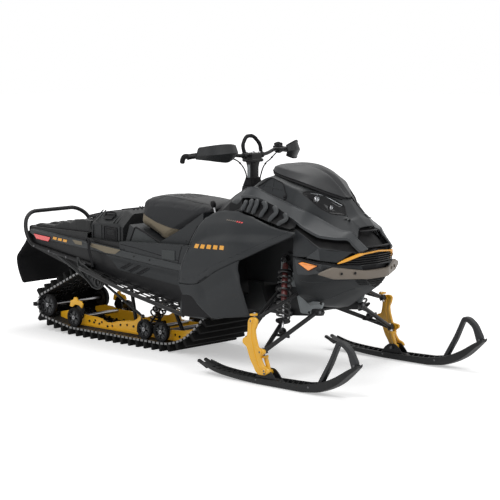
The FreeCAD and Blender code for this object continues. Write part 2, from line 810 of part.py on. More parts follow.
def make_seat():
    """Padded seat as a plain closed solid, narrower at its top."""
    outline = [(seat_rear_x + seat_length * x, seat_base() + seat_height * z) for x, z in seat_side_shares]
    rings = []
    middle_x = seat_rear_x + seat_length / 2
    middle_z = seat_base() + seat_height * 0.6
    for y, shrink in ((-1.0, 0.93), (-0.72, 1.0), (0.72, 1.0), (1.0, 0.93)):
        side = [(middle_x + (x - middle_x) * shrink, middle_z + (z - middle_z) * shrink) for x, z in outline]
        rings.append([point(x, y * seat_half_width, z) for x, z in side])
    return loft(rings)


def tunnel_room():
    """Cutter that clears the tunnel's outside by the seating gap."""
    return plate_xz([(tunnel_rear_x, tunnel_rear_top), (tunnel_front_x, tunnel_front_top), (tunnel_front_x, 0), (tunnel_rear_x, 0)],
                    -tunnel_half() - seat_gap, 2 * (tunnel_half() + seat_gap))


def cover_front():
    """Front edge of the cover, just behind the seat's nose."""
    return seat_rear_x + seat_length * 0.94


def make_cover():
    """Moulded cover over the tank, below and beside the seat, straddling the tunnel."""
    front = cover_front()
    rear = module_front_x + cover_rear_gap
    low_edge = [(seat_rear_x + seat_length * x, seat_base() + seat_height * z - seat_gap) for x, z in seat_side_shares[:4]]
    low_edge[0] = (low_edge[0][0] - cover_lip, low_edge[0][1] + cover_lip / 4)
    share = (front - low_edge[2][0]) / (low_edge[3][0] - low_edge[2][0])
    last = (front, low_edge[2][1] + (low_edge[3][1] - low_edge[2][1]) * share)
    side = [(rear, tunnel_top(rear))] + low_edge[:3] + [last, (front, tunnel_top(front))]
    cover = plate_xz(side, -cover_half_width, 2 * cover_half_width)
    skirt_half = cover_skirt_half
    skirt = plate_xz([(rear, strake_top(rear) + seat_gap), (front, strake_top(front) + seat_gap),
                      (front, tunnel_top(front) + cover_crest), (rear + cover_ramp, tunnel_top(rear) + 1.75 * cover_sill),
                      (rear, tunnel_top(rear) + cover_sill)], -skirt_half, 2 * skirt_half)
    ceiling = seat_base() + 2 * seat_height
    under_seat = plate_xz(low_edge[:3] + [last, (front + overrun, last[1]), (front + overrun, ceiling), (rear - overrun, ceiling),
                                          (rear - overrun, low_edge[0][1])], -2 * skirt_half, 4 * skirt_half)
    return cover.fuse(skirt).cut(tunnel_room()).cut(under_seat).removeSplitter()


# Front body: the pod under the windshield, and the side panels

riser_foot_z = body_height + riser_gap
riser_top_z = riser_foot_z + riser_height
bar_bend_z = riser_top_z + bar_bend_lift
bar_end_z = riser_top_z + bar_end_lift

pod_station_shares = (0.18, 0.252, 0.328, 0.454, 0.556, 0.620, 0.685, 0.750, 0.805, 0.850, 0.890, 0.930, 0.962)
pod_ring_shares = (
    ((0.00, 1.058), (0.24, 1.058), (0.37, 1.055), (0.444, 1.050), (0.57, 0.995), (0.60, 0.86), (0.62, 0.74), (0.62, 0.68),
     (0.60, 0.60), (0.56, 0.56), (0.00, 0.56)),
    ((0.00, 1.106), (0.26, 1.104), (0.384, 1.100), (0.466, 1.063), (0.582, 1.005), (0.61, 0.87), (0.63, 0.74), (0.63, 0.68),
     (0.61, 0.60), (0.57, 0.56), (0.00, 0.56)),
    ((0.00, 1.142), (0.27, 1.138), (0.406, 1.123), (0.484, 1.043), (0.594, 0.993), (0.63, 0.86), (0.64, 0.735), (0.64, 0.68),
     (0.62, 0.60), (0.58, 0.555), (0.00, 0.555)),
    ((0.00, 1.138), (0.278, 1.122), (0.426, 1.092), (0.494, 1.009), (0.600, 0.956), (0.635, 0.85), (0.64, 0.72), (0.64, 0.67),
     (0.62, 0.60), (0.58, 0.55), (0.00, 0.55)),
    ((0.00, 1.118), (0.264, 1.090), (0.42, 1.060), (0.486, 0.978), (0.600, 0.914), (0.625, 0.82), (0.625, 0.70), (0.625, 0.66),
     (0.61, 0.595), (0.56, 0.50), (0.00, 0.46)),
    ((0.00, 1.095), (0.222, 1.066), (0.39, 1.020), (0.454, 0.953), (0.596, 0.883), (0.606, 0.80), (0.612, 0.691), (0.618, 0.65),
     (0.600, 0.590), (0.536, 0.470), (0.00, 0.385)),
    ((0.00, 1.062), (0.148, 1.036), (0.32, 0.962), (0.362, 0.909), (0.578, 0.847), (0.604, 0.815), (0.622, 0.685), (0.625, 0.65),
     (0.592, 0.587), (0.440, 0.480), (0.00, 0.377)),
    ((0.00, 1.010), (0.060, 1.008), (0.244, 0.932), (0.316, 0.876), (0.556, 0.819), (0.600, 0.775), (0.620, 0.680), (0.622, 0.64),
     (0.520, 0.586), (0.340, 0.497), (0.00, 0.385)),
    ((0.00, 0.945), (0.152, 0.928), (0.180, 0.918), (0.288, 0.854), (0.472, 0.806), (0.590, 0.758), (0.616, 0.677), (0.610, 0.63),
     (0.450, 0.586), (0.280, 0.507), (0.00, 0.420)),
    ((0.00, 0.907), (0.144, 0.896), (0.175, 0.882), (0.250, 0.844), (0.396, 0.800), (0.468, 0.749), (0.524, 0.668), (0.560, 0.640),
     (0.390, 0.586), (0.220, 0.515), (0.00, 0.449)),
    ((0.00, 0.870), (0.122, 0.866), (0.155, 0.856), (0.222, 0.833), (0.326, 0.792), (0.386, 0.742), (0.416, 0.666), (0.420, 0.640),
     (0.350, 0.586), (0.180, 0.520), (0.00, 0.474)),
    ((0.00, 0.812), (0.14, 0.813), (0.175, 0.811), (0.216, 0.796), (0.286, 0.748), (0.310, 0.716), (0.320, 0.664), (0.290, 0.636),
     (0.270, 0.586), (0.150, 0.526), (0.00, 0.498)),
    ((0.00, 0.764), (0.14, 0.764), (0.175, 0.763), (0.205, 0.757), (0.240, 0.732), (0.256, 0.706), (0.262, 0.664), (0.205, 0.626),
     (0.180, 0.586), (0.100, 0.540), (0.00, 0.522)),
)


def full_ring(half):
    """A closed ring of (y, z) pairs from its left half, top middle first and bottom middle last."""
    left = [(body_half_width * y, body_height * z) for y, z in half]
    right = [(-y, z) for y, z in left[-2:0:-1]]
    return left + right


def pod_solid(wall):
    """The pod's outer form moved inwards by the wall."""
    rings = []
    last = len(pod_station_shares) - 1
    for i, (x_share, half) in enumerate(zip(pod_station_shares, pod_ring_shares)):
        ring = full_ring(half)
        x = body_start_x + body_length * x_share
        if wall:
            ring = inset(ring, wall)
            if i == 0:
                x -= wall
            if i == last:
                x -= wall
        rings.append([point(x, y, z) for y, z in ring])
    return loft(rings)


waist_line_shares = ((0.10, 0.77), (0.32, 0.73), (0.61, 0.692), (0.82, 0.677), (0.874, 0.664), (1.05, 0.662))


def waist_cutter(above, shift):
    """Everything above or below the waist line, as a plate wider than the body."""
    line = [(body_start_x + body_length * x, body_height * z + shift) for x, z in waist_line_shares]
    edge = 2 * body_height if above else -overrun
    outline = line + [(line[-1][0], edge), (line[0][0], edge)]
    return plate_xz(outline, -2 * body_half_width, 4 * body_half_width)


def x_slab(low_share, high_share):
    """Everything between two stations along the body."""
    low = body_start_x + body_length * low_share
    high = body_start_x + body_length * high_share
    return Part.makeBox(high - low, 4 * body_half_width, 3 * body_height, point(low, -2 * body_half_width, -body_height / 2))


headlight_plan_shares = ((0.580, 0.406), (0.590, 0.368), (0.617, 0.300), (0.653, 0.224), (0.716, 0.146), (0.768, 0.104),
                         (0.801, 0.156), (0.736, 0.250), (0.683, 0.314), (0.642, 0.366))


def headlight_cutter(side, shrink):
    """Prism over one lamp's outline in plan."""
    points = [(body_start_x + body_length * x, side * body_half_width * y) for x, y in headlight_plan_shares]
    ring = inset(points, shrink) if shrink else points
    return plate_xy(ring, body_height * 0.85, body_height * 0.4)


def make_pod_pieces():
    """Hood, headlights and belly pan, cut from one shell along their seams."""
    outer = pod_solid(0)
    shell = outer.cut(pod_solid(panel_wall))
    hood = shell.common(waist_cutter(True, panel_gap / 2)).common(x_slab(0.18, 1.2))
    belly = shell.common(waist_cutter(False, -panel_gap / 2)).common(x_slab(0.62, 1.2))
    lamps = {}
    for side, name in ((-1, "right"), (1, "left")):
        lamps[name] = hood.common(headlight_cutter(side, panel_gap / 4))
        hood = hood.cut(headlight_cutter(side, 0))
    return hood, belly, lamps


flank_station_shares = (-0.20, 0.10, 0.28, 0.50, 0.71)
flank_ring_shares = (
    ((0.68, 0.885), (0.77, 0.800), (0.87, 0.700), (0.90, 0.560), (0.88, 0.420), (0.85, 0.280)),
    ((0.69, 0.925), (0.79, 0.855), (0.89, 0.740), (0.91, 0.600), (0.88, 0.430), (0.84, 0.290)),
    ((0.69, 0.940), (0.80, 0.870), (0.90, 0.760), (0.90, 0.640), (0.86, 0.460), (0.81, 0.300)),
    ((0.72, 0.900), (0.82, 0.865), (0.89, 0.800), (0.87, 0.700), (0.82, 0.500), (0.77, 0.320)),
    ((0.74, 0.870), (0.84, 0.862), (0.88, 0.845), (0.86, 0.800), (0.80, 0.600), (0.76, 0.340)),
)


def flank_shell():
    """Left side skin as a solid of the panel's thickness."""
    rings = []
    for x_share, half in zip(flank_station_shares, flank_ring_shares):
        x = body_start_x + body_length * x_share
        outside = [(body_half_width * y, body_height * z) for y, z in half]
        inside = [(y - panel_wall, z - panel_wall / 3) for y, z in outside[::-1]]
        rings.append([point(x, y, z) for y, z in outside + inside])
    return loft(rings)


def flank_room():
    """Cutter that clears the left side skin's inner face by the seating gap."""
    rings = []
    for x_share, half in zip(flank_station_shares, flank_ring_shares):
        x = body_start_x + body_length * x_share
        inside = [(body_half_width * y - panel_wall - seat_gap, body_height * z - panel_wall / 3) for y, z in half]
        inside = [(inside[0][0], inside[0][1] + overrun)] + inside
        outside = [(y + 3 * overrun, z) for y, z in inside[::-1]]
        rings.append([point(x, y, z) for y, z in inside + outside])
    return loft(rings)


side_panel_shares = ((-0.038, 0.866), (0.105, 0.935), (0.278, 0.945), (0.50, 0.905), (0.703, 0.872), (0.519, 0.764),
                     (0.310, 0.711), (-0.038, 0.495), (-0.078, 0.487), (-0.188, 0.485), (-0.170, 0.559), (-0.082, 0.798))
lower_panel_shares = ((-0.188, 0.485), (-0.078, 0.487), (-0.038, 0.495), (0.310, 0.711), (0.30, 0.60), (0.357, 0.338),
                      (0.067, 0.299), (-0.102, 0.420), (-0.154, 0.415))
toe_panel_shares = ((-0.1765, 0.4175), (-0.154, 0.415), (-0.102, 0.420), (0.067, 0.299), (-0.1765, 0.284))


def body_outline(shares):
    """Outline of (x, z) pairs from shares of the body's length and height."""
    return [(body_start_x + body_length * x, body_height * z) for x, z in shares]


def make_flank_pieces():
    """Left side panel, lower panel and toe panel, cut from one skin."""
    skin = flank_shell()
    pieces = {}
    outlines = {"side_panel": side_panel_shares, "lower_panel": lower_panel_shares, "toe_panel": toe_panel_shares}
    for name, shares in outlines.items():
        cutter = plate_xz(inset(body_outline(shares), panel_gap / 2), 0, 2 * body_half_width)
        pieces[name] = skin.common(cutter)
    return pieces


shield_wall_share = 0.04
shield_station_shares = (0.28, 0.34, 0.44, 0.52, 0.582, 0.65, 0.70, 0.75)
shield_ring_shares = (
    ((0.00, 1.184), (0.120, 1.184), (0.236, 1.177), (0.296, 1.160), (0.31, 1.12)),
    ((0.00, 1.190), (0.124, 1.192), (0.280, 1.178), (0.336, 1.149), (0.35, 1.10)),
    ((0.00, 1.184), (0.108, 1.191), (0.284, 1.164), (0.354, 1.128), (0.37, 1.08)),
    ((0.00, 1.168), (0.088, 1.180), (0.252, 1.146), (0.346, 1.110), (0.37, 1.06)),
    ((0.00, 1.145), (0.060, 1.160), (0.194, 1.126), (0.318, 1.093), (0.35, 1.04)),
    ((0.00, 1.105), (0.052, 1.118), (0.132, 1.090), (0.230, 1.063), (0.27, 1.01)),
    ((0.00, 1.066), (0.050, 1.076), (0.090, 1.060), (0.144, 1.042), (0.18, 0.99)),
    ((0.00, 1.019), (0.030, 1.020), (0.045, 1.018), (0.058, 1.014), (0.07, 0.98)),
)


def make_windshield():
    """Low moulded wind deflector: a shell that follows its own crown."""
    rings = []
    for x_share, half in zip(shield_station_shares, shield_ring_shares):
        x = body_start_x + body_length * x_share
        left = [(body_half_width * y, body_height * z) for y, z in half]
        top = [(-y, z) for y, z in left[:0:-1]] + left
        under = [(y * (1 - shield_wall_share), z - panel_wall) for y, z in top[::-1]]
        rings.append([point(x, y, z) for y, z in top + under])
    return loft(rings).cut(pod_solid(-seat_gap))


louvre_station_shares = (0.215, 0.285, 0.40, 0.53, 0.64)
louvre_top_shares = ((0.590, 0.957), (0.612, 0.992), (0.618, 0.975), (0.625, 0.922), (0.630, 0.876))
louvre_low_shares = ((0.690, 0.925), (0.692, 0.918), (0.706, 0.900), (0.723, 0.872), (0.733, 0.856))
louvre_slot_count = 7


def make_louvre():
    """Left ribbed vent between the hood's side and the side panel, with slanted slots."""
    rings = []
    for x_share, top, low in zip(louvre_station_shares, louvre_top_shares, louvre_low_shares):
        x = body_start_x + body_length * x_share
        outside = [(body_half_width * top[0], body_height * top[1]), (body_half_width * low[0], body_height * low[1])]
        inside = [(y - panel_wall, z - panel_wall / 3) for y, z in outside[::-1]]
        rings.append([point(x, y, z) for y, z in outside + inside])
    vent = loft(rings)
    first = body_start_x + body_length * louvre_station_shares[0]
    reach = body_length * (louvre_station_shares[-1] - louvre_station_shares[0])
    pitch = reach / (louvre_slot_count + 1)
    slots = []
    for i in range(louvre_slot_count):
        x = first + pitch * (i + 0.7)
        z = body_height * 0.5
        slots.append(plate_xz([(x, z), (x + pitch * 0.45, z), (x + pitch * 0.45, 2 * z), (x, 2 * z)],
                              body_half_width * 0.55, body_half_width * 0.3))
    rim = []
    for x_share, top, low in zip(louvre_station_shares, louvre_top_shares, louvre_low_shares):
        x = body_start_x + body_length * x_share
        rim.append((x, body_height * (top[1] * 0.85 + low[1] * 0.15)))
    lower_rim = []
    for x_share, top, low in zip(louvre_station_shares, louvre_top_shares, louvre_low_shares):
        x = body_start_x + body_length * x_share
        lower_rim.append((x, body_height * (top[1] * 0.15 + low[1] * 0.85)))
    field = plate_xz(rim + lower_rim[::-1], 0, body_half_width)
    return vent.cut(Part.makeCompound(slots).common(field)).cut(pod_solid(-seat_gap)).cut(flank_room())


bumper_plan_shares = ((0.849, 0.668), (0.970, 0.22), (0.992, 0.0))
bumper_hole_shares = (0.30, 0.62)


def make_bumper():
    """Front bumper blade, a flat-nosed V in plan, with two holes on each side."""
    outer = [(body_start_x + body_length * x, body_half_width * y) for x, y in bumper_plan_shares]
    front = outer + [(x, -y) for x, y in outer[-2::-1]]
    back = [(x - bumper_thickness, y) for x, y in front[::-1]]
    blade = plate_xy(front + back, bumper_low, bumper_height)
    z = bumper_low + bumper_height / 2
    for share in bumper_hole_shares:
        x = outer[0][0] + (outer[1][0] - outer[0][0]) * share
        y = outer[0][1] + (outer[1][1] - outer[0][1]) * share
        for side in (-1, 1):
            bore = rod(point(x - overrun, side * y, z), point(x + overrun, side * y, z), bumper_hole_radius)
            blade = blade.cut(bore)
    return blade


console_reach_shares = (0.0, 0.274, 0.6855, 1.0)
console_ring_shares = (
    ((0.00, 0.885), (0.22, 0.880), (0.33, 0.850), (0.42, 0.760), (0.42, 0.0)),
    ((0.00, 0.955), (0.24, 0.950), (0.36, 0.925), (0.44, 0.870), (0.46, 0.0)),
    ((0.00, 1.045), (0.26, 1.040), (0.44, 1.005), (0.54, 0.960), (0.55, 0.0)),
    ((0.00, 1.055), (0.24, 1.055), (0.41, 1.050), (0.56, 0.990), (0.58, 0.0)),
)


def make_console():
    """Cockpit moulding from the seat's nose up to the dash, bored for the steering column."""
    rear = cover_front() + console_gap
    front = body_start_x + body_length * pod_station_shares[0] - seat_gap
    base = tunnel_front_top - overrun
    rings = []
    for share, half in zip(console_reach_shares, console_ring_shares):
        x = rear + (front - rear) * share
        left = [(body_half_width * y, body_height * z) for y, z in half[:-1]]
        left.append((body_half_width * half[-1][0], base))
        ring = left + [(-y, z) for y, z in left[:0:-1]]
        rings.append([point(x, y, z) for y, z in ring])
    console = loft(rings)
    bay = Part.makeBox(body_length, 2 * body_half_width, body_height * 0.4,
                       point(tunnel_front_x - tunnel_wall, -body_half_width, body_height * 0.5))
    bore = rod(point(column_x, 0, riser_foot_z - column_depth), point(column_x, 0, 2 * riser_foot_z),
               column_radius + column_clearance)
    seat_side = [(seat_rear_x + seat_length * x, seat_base() + seat_height * z) for x, z in seat_side_shares]
    seat_room = plate_xz(inset(seat_side, -seat_base_gap), -body_half_width, 2 * body_half_width)
    return console.cut(bay).cut(bore).cut(tunnel_room()).cut(seat_room)


def make_gear_lever(console):
    """Gear lever on the right of the console: a leaning stalk and its knob."""
    x = cover_front() + lever_lead
    foot = point(x + lever_radius, -lever_y, body_height * 0.83)
    top = point(x - lever_height / 2, -lever_y, foot.z + 1.6 * lever_height)
    room = console.copy()
    room.translate(point(0, 0, seat_gap))
    knob = rod(between(foot, top, 0.72), top, lever_knob_radius)
    return rod(foot, top, lever_radius).fuse(knob).removeSplitter().cut(room)


engine_front_share = 0.455


def make_engine():
    """Engine as one plain block at its real place and size."""
    start = tunnel_front_x + seat_gap
    end = body_start_x + body_length * engine_front_share
    half = frame_y - bush_radius - frame_plate - 2 * seat_gap
    return Part.makeBox(end - start, 2 * half, body_height * 0.34, point(start, -half, body_height * 0.50))


# Front suspension

def kingpin(share):
    """A point on the left kingpin axis, nought at the lower joint and one at the upper."""
    return point(kingpin_low_x + (kingpin_top_x - kingpin_low_x) * share, ski_stance / 2,
                 kingpin_low_z + (kingpin_top_z - kingpin_low_z) * share)


def kingpin_way():
    """Direction of the kingpin axis, upwards."""
    return kingpin(1).sub(kingpin(0)).normalize()


def on_kingpin(share, distance):
    """A point beyond a share of the kingpin axis by a distance along it."""
    way = kingpin_way()
    return kingpin(share).add(point(way.x, way.y, way.z).multiply(distance))


frame_y = body_half_width * 0.38


def eye_on_kingpin(share):
    """Bored eye round the kingpin, without its tubes."""
    return rod(on_kingpin(share, -eye_length / 2), on_kingpin(share, eye_length / 2), eye_radius)


def kingpin_bore(share):
    """Cutter for the kingpin's running bore."""
    return rod(on_kingpin(share, -2 * eye_length), on_kingpin(share, 2 * eye_length), stud_radius + stud_clearance)


def make_lower_arm():
    """Left lower arm with the bridge that the damper stands on."""
    front_tube, rear_tube = arm_middle(shock_share)
    low = shock_ends()[0]
    z = low.z - shock_radius - shock_rod_radius - seat_gap
    bridge = rod(point(rear_tube.x, low.y, z), point(front_tube.x, low.y, z), shock_rod_radius)
    return make_arm(0, lower_inner(), arm_radius).fuse(bridge).removeSplitter()


def make_arm(share, inner_points, radius):
    """Left A-arm: an eye at the kingpin and two tubes to the frame, with their pivot bushes."""
    arm = eye_on_kingpin(share)
    outer = kingpin(share)
    for inner in inner_points:
        way = inner.sub(outer).normalize()
        start = outer.add(way.multiply(eye_radius * 0.7))
        arm = arm.fuse(rod(start, inner, radius))
        arm = arm.fuse(rod(inner.sub(point(bush_half, 0, 0)), inner.add(point(bush_half, 0, 0)), bush_radius))
    return arm.cut(kingpin_bore(share)).removeSplitter()


def lower_inner():
    """Frame ends of the left lower arm."""
    return [point(body_start_x + body_length * 0.68, frame_y, body_height * 0.372),
            point(body_start_x + body_length * 0.46, frame_y, body_height * 0.345)]


def upper_inner():
    """Frame ends of the left upper arm."""
    return [point(body_start_x + body_length * 0.60, frame_y, body_height * 0.50),
            point(body_start_x + body_length * 0.40, frame_y, body_height * 0.48)]


frame_plate_shares = ((0.420, 0.620), (0.420, 0.688), (0.500, 0.688), (0.600, 0.530), (0.600, 0.430), (0.705, 0.372),
                      (0.695, 0.350), (0.440, 0.325), (0.087, 0.330), (0.087, 0.420), (0.300, 0.380), (0.415, 0.380),
                      (0.380, 0.455), (0.380, 0.510))
cradle_shares = ((0.120, 0.400), (0.120, 0.4997), (0.220, 0.4997), (0.270, 0.370))
frame_rod_shares = ((0.48, 0.36), (0.48, 0.46), (0.59, 0.365), (0.25, 0.36))


def make_frame():
    """Two cast side plates that carry the arms, with beams back to the tunnel and a cradle under the engine."""
    outer_y = frame_y - bush_radius - seat_gap
    left = plate_xz(body_outline(frame_plate_shares), outer_y - frame_plate, frame_plate)
    left = left.fuse(plate_xz(body_outline(cradle_shares), outer_y - frame_plate, frame_plate))
    frame = left.fuse(flipped(left))
    for x_share, z_share in frame_rod_shares:
        x = body_start_x + body_length * x_share
        z = body_height * z_share
        frame = frame.fuse(rod(point(x, -outer_y + frame_plate / 2, z), point(x, outer_y - frame_plate / 2, z), frame_plate / 2))
    low = body_start_x + body_length * cradle_shares[1][0]
    high = body_start_x + body_length * cradle_shares[2][0]
    top = body_height * cradle_shares[1][1]
    frame = frame.fuse(Part.makeBox(high - low, 2 * outer_y, frame_plate, point(low, -outer_y, top - frame_plate)))
    return frame.removeSplitter()


def arm_middle(share):
    """Points at a share of the way along the left lower arm's front and rear tube."""
    return [between(kingpin(0), inner, share) for inner in lower_inner()]


def shock_ends():
    """Lower and upper eye of the left front damper."""
    front_tube, rear_tube = arm_middle(shock_share)
    middle = between(front_tube, rear_tube, 0.5)
    low = point(middle.x, middle.y, middle.z + shock_lift)
    top = point(body_start_x + body_length * 0.44, frame_y + shock_radius - bush_radius, body_height * 0.660)
    return low, top


def make_shock():
    """Left front damper: body, rod and two cross eyes."""
    low, top = shock_ends()
    shock = rod(low, between(low, top, 0.55), shock_rod_radius).fuse(rod(between(low, top, 0.42), top, shock_radius))
    for eye in (low, top):
        shock = shock.fuse(rod(eye.sub(point(shock_radius, 0, 0)), eye.add(point(shock_radius, 0, 0)), shock_radius))
    return shock.removeSplitter()


def make_spring():
    """Left coil spring as a closed ribbed sleeve round the damper."""
    low, top = shock_ends()
    start = between(low, top, 0.16)
    end = between(low, top, 0.80)
    length = start.distanceToPoint(end)
    pitch = length / spring_turns
    inner = shock_radius + 2 * seat_gap
    outline = [(inner, 0)]
    for i in range(spring_turns):
        outline.append((spring_radius - 2 * spring_wire, i * pitch))
        outline.append((spring_radius, (i + 0.3) * pitch))
        outline.append((spring_radius, (i + 0.6) * pitch))
        outline.append((spring_radius - 2 * spring_wire, (i + 0.9) * pitch))
    outline.append((spring_radius - 2 * spring_wire, length))
    outline.append((inner, length))
    face = Part.Face(closed_wire([point(r, 0, z) for r, z in outline]))
    sleeve_shape = face.revolve(point(0, 0, 0), point(0, 0, 1), 360)
    turn = FreeCAD.Rotation(point(0, 0, 1), end.sub(start))
    sleeve_shape.Placement = FreeCAD.Placement(start, turn)
    return sleeve_shape


# Spindles, skis and tie rods, which steer

blade_shares = ((0.12, 1.22), (-0.30, 1.16), (-0.42, 0.80), (-0.40, 0.40), (-0.10, 0.0), (0.05, -0.38), (0.42, -0.38), (0.26, 0.0),
                (-0.06, 0.40), (-0.08, 0.80), (0.14, 1.0))


def make_spindle():
    """Left spindle: an outboard curved blade with two lugs, studs on the kingpin axis and a foot."""
    rise = kingpin_top_z - kingpin_low_z
    way = kingpin_way()
    outline = []
    for x, z in blade_shares:
        base = kingpin(z)
        outline.append((base.x + x * rise, base.z))
    low_y = ski_stance / 2 + blade_gap
    spindle = plate_xz(outline, low_y, blade_thickness)
    clear = eye_length / 2 + stud_lift
    upper = rod(on_kingpin(1, clear), on_kingpin(1, clear + lug_thickness), eye_radius * 0.8)
    lower = rod(on_kingpin(0, -clear), on_kingpin(0, -clear - lug_thickness), eye_radius * 0.8)
    for lug_piece, near in ((upper, clear), (lower, -clear - lug_thickness)):
        base = on_kingpin(1 if near > 0 else 0, near)
        box = Part.makeBox(1.4 * eye_radius, blade_gap + blade_thickness, lug_thickness, point(-0.7 * eye_radius, 0, 0))
        box.Placement = FreeCAD.Placement(base, FreeCAD.Rotation(point(0, 0, 1), way))
        spindle = spindle.fuse(lug_piece).fuse(box)
    spindle = spindle.fuse(rod(on_kingpin(1, -eye_length / 2), on_kingpin(1, clear + stud_lift / 8), stud_radius))
    spindle = spindle.fuse(rod(on_kingpin(0, eye_length / 2), on_kingpin(0, -clear - stud_lift / 8), stud_radius))
    foot = on_kingpin(0, -clear - lug_thickness / 2)
    spindle = spindle.fuse(rod(foot, ski_bolt(), foot_radius))
    bolt = ski_bolt()
    spindle = spindle.fuse(rod(bolt.sub(point(0, ear_gap / 2, 0)), bolt.add(point(0, ear_gap / 2, 0)), foot_radius * 1.2))
    half = 1.5 * foot_radius
    base = ski_top_z() + foot_radius
    spindle = spindle.fuse(plate_xz([(bolt.x - half, base), (bolt.x + half, base), (bolt.x, bolt.z + foot_radius)],
                                    bolt.y - 0.475 * ear_gap, 0.95 * ear_gap))
    middle = kingpin(0.5)
    eye = tie_eye()
    arm_start = point(middle.x - 0.24 * rise, low_y + blade_thickness / 2, middle.z - 0.06 * rise)
    spindle = spindle.fuse(rod(arm_start, eye, steer_arm_radius))
    rise_half = point(way.x, way.y, way.z).multiply(tie_eye_height / 2)
    spindle = spindle.fuse(rod(eye.sub(rise_half), eye.add(rise_half), tie_eye_radius))
    bolt_hole = rod(bolt.sub(point(0, 2 * ear_gap, 0)), bolt.add(point(0, 2 * ear_gap, 0)), bolt_radius)
    return spindle.cut(bolt_hole).removeSplitter()


def ski_top_z():
    """Height of the ski's deck under the spindle."""
    return runner_height + ski_thickness


def ski_bolt():
    """Middle of the left ski's bolt, on the kingpin axis."""
    height = ski_top_z() + bolt_lift
    share = (height - kingpin_low_z) / (kingpin_top_z - kingpin_low_z)
    return kingpin(share)


def tie_eye():
    """Middle of the spindle's steering eye, behind the kingpin."""
    way = kingpin_way()
    return kingpin(0.5).add(point(-way.z, 0, way.x).multiply(steer_arm_length))


def make_tie_rod():
    """Left tie rod: an eye that rests on the spindle's steering eye, and a rod to the middle."""
    way = kingpin_way()
    lift = tie_eye_height / 2 + seat_gap
    low = tie_eye().add(point(way.x, way.y, way.z).multiply(lift))
    high = tie_eye().add(point(way.x, way.y, way.z).multiply(lift + tie_eye_height))
    middle = low.add(high).multiply(0.5)
    inner = point(body_start_x + body_length * 0.35, frame_y * 0.9, body_height * 0.43)
    return rod(low, high, tie_eye_radius).fuse(rod(middle, inner, tie_rod_radius)).removeSplitter()


ski_line_shares = ((0.0, 0.33), (0.10, 0.15), (0.25, 0.04), (0.40, 0.0), (0.68, 0.0), (0.80, 0.12), (0.90, 0.41), (0.96, 0.70),
                   (1.0, 0.90))
ski_plan_shares = ((0.0, 0.72), (0.06, 0.9), (0.16, 1.0), (0.86, 1.0), (0.95, 0.82), (1.0, 0.5))
ski_loop_shares = ((0.700, 0.082), (0.7416, 0.095), (0.8248, 0.62), (0.8789, 1.0), (0.9081, 1.0))
ski_loop_inner_shares = ((0.8931, 0.924), (0.8848, 0.924), (0.8381, 0.56), (0.7649, 0.063))


def make_ski():
    """Left ski: a curved deck with raised edges, a runner, two ears for the bolt, tail prongs and a front loop."""
    length = ski_tip_x - ski_tail_x
    y = ski_stance / 2
    low = [(ski_tail_x + length * x, runner_height + ski_rise * z) for x, z in ski_line_shares]
    high = [(x, z + ski_thickness) for x, z in low]
    deck = plate_xz(low + high[::-1], y - ski_half_width, 2 * ski_half_width)
    rim_high = [(x, z + ski_thickness + ski_rim_height) for x, z in low]
    rim = plate_xz(low + rim_high[::-1], y - ski_half_width, 2 * ski_half_width)
    trough = [(x, z - overrun) for x, z in low] + [(x, z + overrun * 3) for x, z in high[::-1]]
    inner_half = ski_half_width - ski_rim_width
    rim = rim.cut(plate_xz(trough, y - inner_half, 2 * inner_half))
    plan = [(ski_tail_x + length * x, y + ski_half_width * w) for x, w in ski_plan_shares]
    plan += [(x, 2 * y - yy) for x, yy in plan[::-1]]
    ski = deck.fuse(rim).common(plate_xy(plan, -overrun, body_height))
    notch = Part.makeBox(length * 0.08, ski_half_width * 0.7, body_height, point(ski_tail_x - overrun, y - ski_half_width * 0.35, 0))
    ski = ski.cut(notch)
    ski = ski.fuse(Part.makeBox(length * 0.36, runner_width, runner_height + ski_thickness / 2,
                                point(ski_tail_x + length * 0.34, y - runner_width / 2, 0)))
    bolt = ski_bolt()
    for side in (-1, 1):
        ear_y = y + side * (ear_gap / 2 + seat_gap + ear_thickness / 2) - ear_thickness / 2
        base = ski_top_z() - ski_thickness / 2
        ear = plate_xz([(bolt.x - ear_length / 2, base), (bolt.x + ear_length / 2, base), (bolt.x + ear_top / 2, bolt.z + ear_crown),
                        (bolt.x - ear_top / 2, bolt.z + ear_crown)], ear_y, ear_thickness)
        ski = ski.fuse(ear)
    reach = point(0, ear_gap / 2 + ear_thickness, 0)
    ski = ski.fuse(rod(bolt.sub(reach), bolt.add(reach), bolt_radius - shaft_fit))
    tip_z = runner_height + ski_rise * 0.9
    loop = [(ski_tail_x + length * x, loop_top * z) for x, z in ski_loop_shares]
    loop += [(ski_tip_x - ski_thickness / 2, tip_z + 2.17 * ski_thickness), (ski_tip_x - 2.83 * ski_thickness, tip_z - ski_thickness / 1.5)]
    loop += [(ski_tail_x + length * x, loop_top * z) for x, z in ski_loop_inner_shares]
    ski = ski.fuse(plate_xz(loop, y - loop_width / 2, loop_width))
    return ski.removeSplitter()


# Steering

def make_riser():
    """Column, its square riser block with the bar clamp on top, and the boot round its foot."""
    top = riser_foot_z + column_radius
    riser = rod(point(column_x, 0, riser_foot_z - column_depth + seat_gap), point(column_x, 0, top), column_radius)
    block = Part.makeBox(riser_length_x, riser_width_y, riser_height - riser_cap,
                         point(column_x - riser_length_x / 2, -riser_width_y / 2, boot_base()))
    cap = Part.makeBox(riser_length_x * 1.3, riser_width_y * 1.15, riser_cap,
                       point(column_x - riser_length_x * 0.65, -riser_width_y * 0.575, riser_top_z + bar_seat - riser_cap))
    boot = Part.makeBox(boot_length, boot_width, boot_height,
                        point(column_x - boot_length / 2, -boot_width / 2, boot_base()))
    return riser.fuse(block).fuse(cap).fuse(boot).removeSplitter()


def boot_base():
    """Height of the boot's lower face."""
    return riser_foot_z + bar_seat


